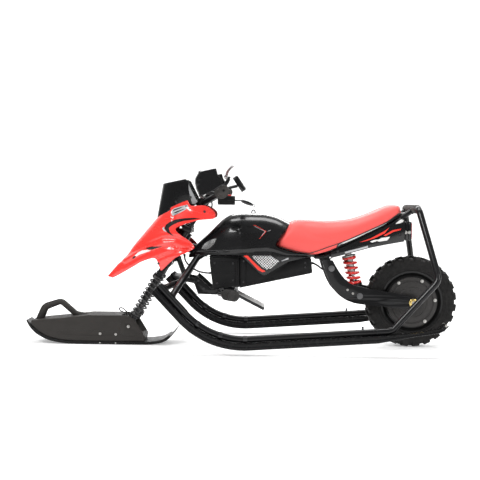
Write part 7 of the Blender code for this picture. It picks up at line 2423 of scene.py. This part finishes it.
class SCOOTER_OT_wheel(bpy.types.Operator):
    """Build the knobbly tyre and the hub motor"""
    bl_idname = "scooter.wheel"
    bl_label = "Wheel"

    def execute(self, context):
        build_wheel(context.scene.scooter_details)
        return {"FINISHED"}


class SCOOTER_OT_arm(bpy.types.Operator):
    """Build the swing arm, its bolts and the axle"""
    bl_idname = "scooter.arm"
    bl_label = "Rear arm"

    def execute(self, context):
        build_arm()
        return {"FINISHED"}


class SCOOTER_OT_shock(bpy.types.Operator):
    """Build the rear shock and its red coil"""
    bl_idname = "scooter.shock"
    bl_label = "Shock"

    def execute(self, context):
        build_shock(context.scene.scooter_details)
        return {"FINISHED"}


# In this order the operators are run and listed
ORDER = ("finishes", "stage", "cables", "main_frame", "side_tubes", "hoop", "skids", "pegs", "brake_plate", "tank",
    "side_panels", "boxes", "saddle", "tail", "cowl", "steering_head", "grips", "hand_guards", "controls", "fork",
    "ski", "wheel", "arm", "shock")


class SCOOTER_PT_panel(bpy.types.Panel):
    bl_idname = "SCOOTER_PT_panel"
    bl_label = "Snow scooter"
    bl_space_type = "VIEW_3D"
    bl_region_type = "UI"
    bl_category = "Snow scooter"

    def draw(self, context):
        for group in (context.scene.scooter_colours, context.scene.scooter_details):
            column = self.layout.column(align=True)
            for key in group.__annotations__:
                column.prop(group, key)
        for name in ORDER:
            self.layout.operator("scooter." + name)


CLASSES = (SCOOTER_PG_colours, SCOOTER_PG_details, SCOOTER_PT_panel, SCOOTER_OT_finishes, SCOOTER_OT_stage,
    SCOOTER_OT_cables, SCOOTER_OT_main_frame, SCOOTER_OT_side_tubes, SCOOTER_OT_hoop, SCOOTER_OT_skids,
    SCOOTER_OT_pegs, SCOOTER_OT_brake_plate, SCOOTER_OT_tank, SCOOTER_OT_side_panels, SCOOTER_OT_boxes,
    SCOOTER_OT_saddle, SCOOTER_OT_tail, SCOOTER_OT_cowl, SCOOTER_OT_steering_head, SCOOTER_OT_grips,
    SCOOTER_OT_hand_guards, SCOOTER_OT_controls, SCOOTER_OT_fork, SCOOTER_OT_ski, SCOOTER_OT_wheel, SCOOTER_OT_arm,
    SCOOTER_OT_shock)


def register():
    for kind in CLASSES:
        bpy.utils.register_class(kind)
    bpy.types.Scene.scooter_colours = bpy.props.PointerProperty(type=SCOOTER_PG_colours)
    bpy.types.Scene.scooter_details = bpy.props.PointerProperty(type=SCOOTER_PG_details)


def unregister():
    del bpy.types.Scene.scooter_details
    del bpy.types.Scene.scooter_colours
    for kind in reversed(CLASSES):
        bpy.utils.unregister_class(kind)


def main():
    """Build every piece in order."""
    register()
    for name in ORDER:
        getattr(bpy.ops.scooter, name)()


if __name__ == "__main__":
    main()
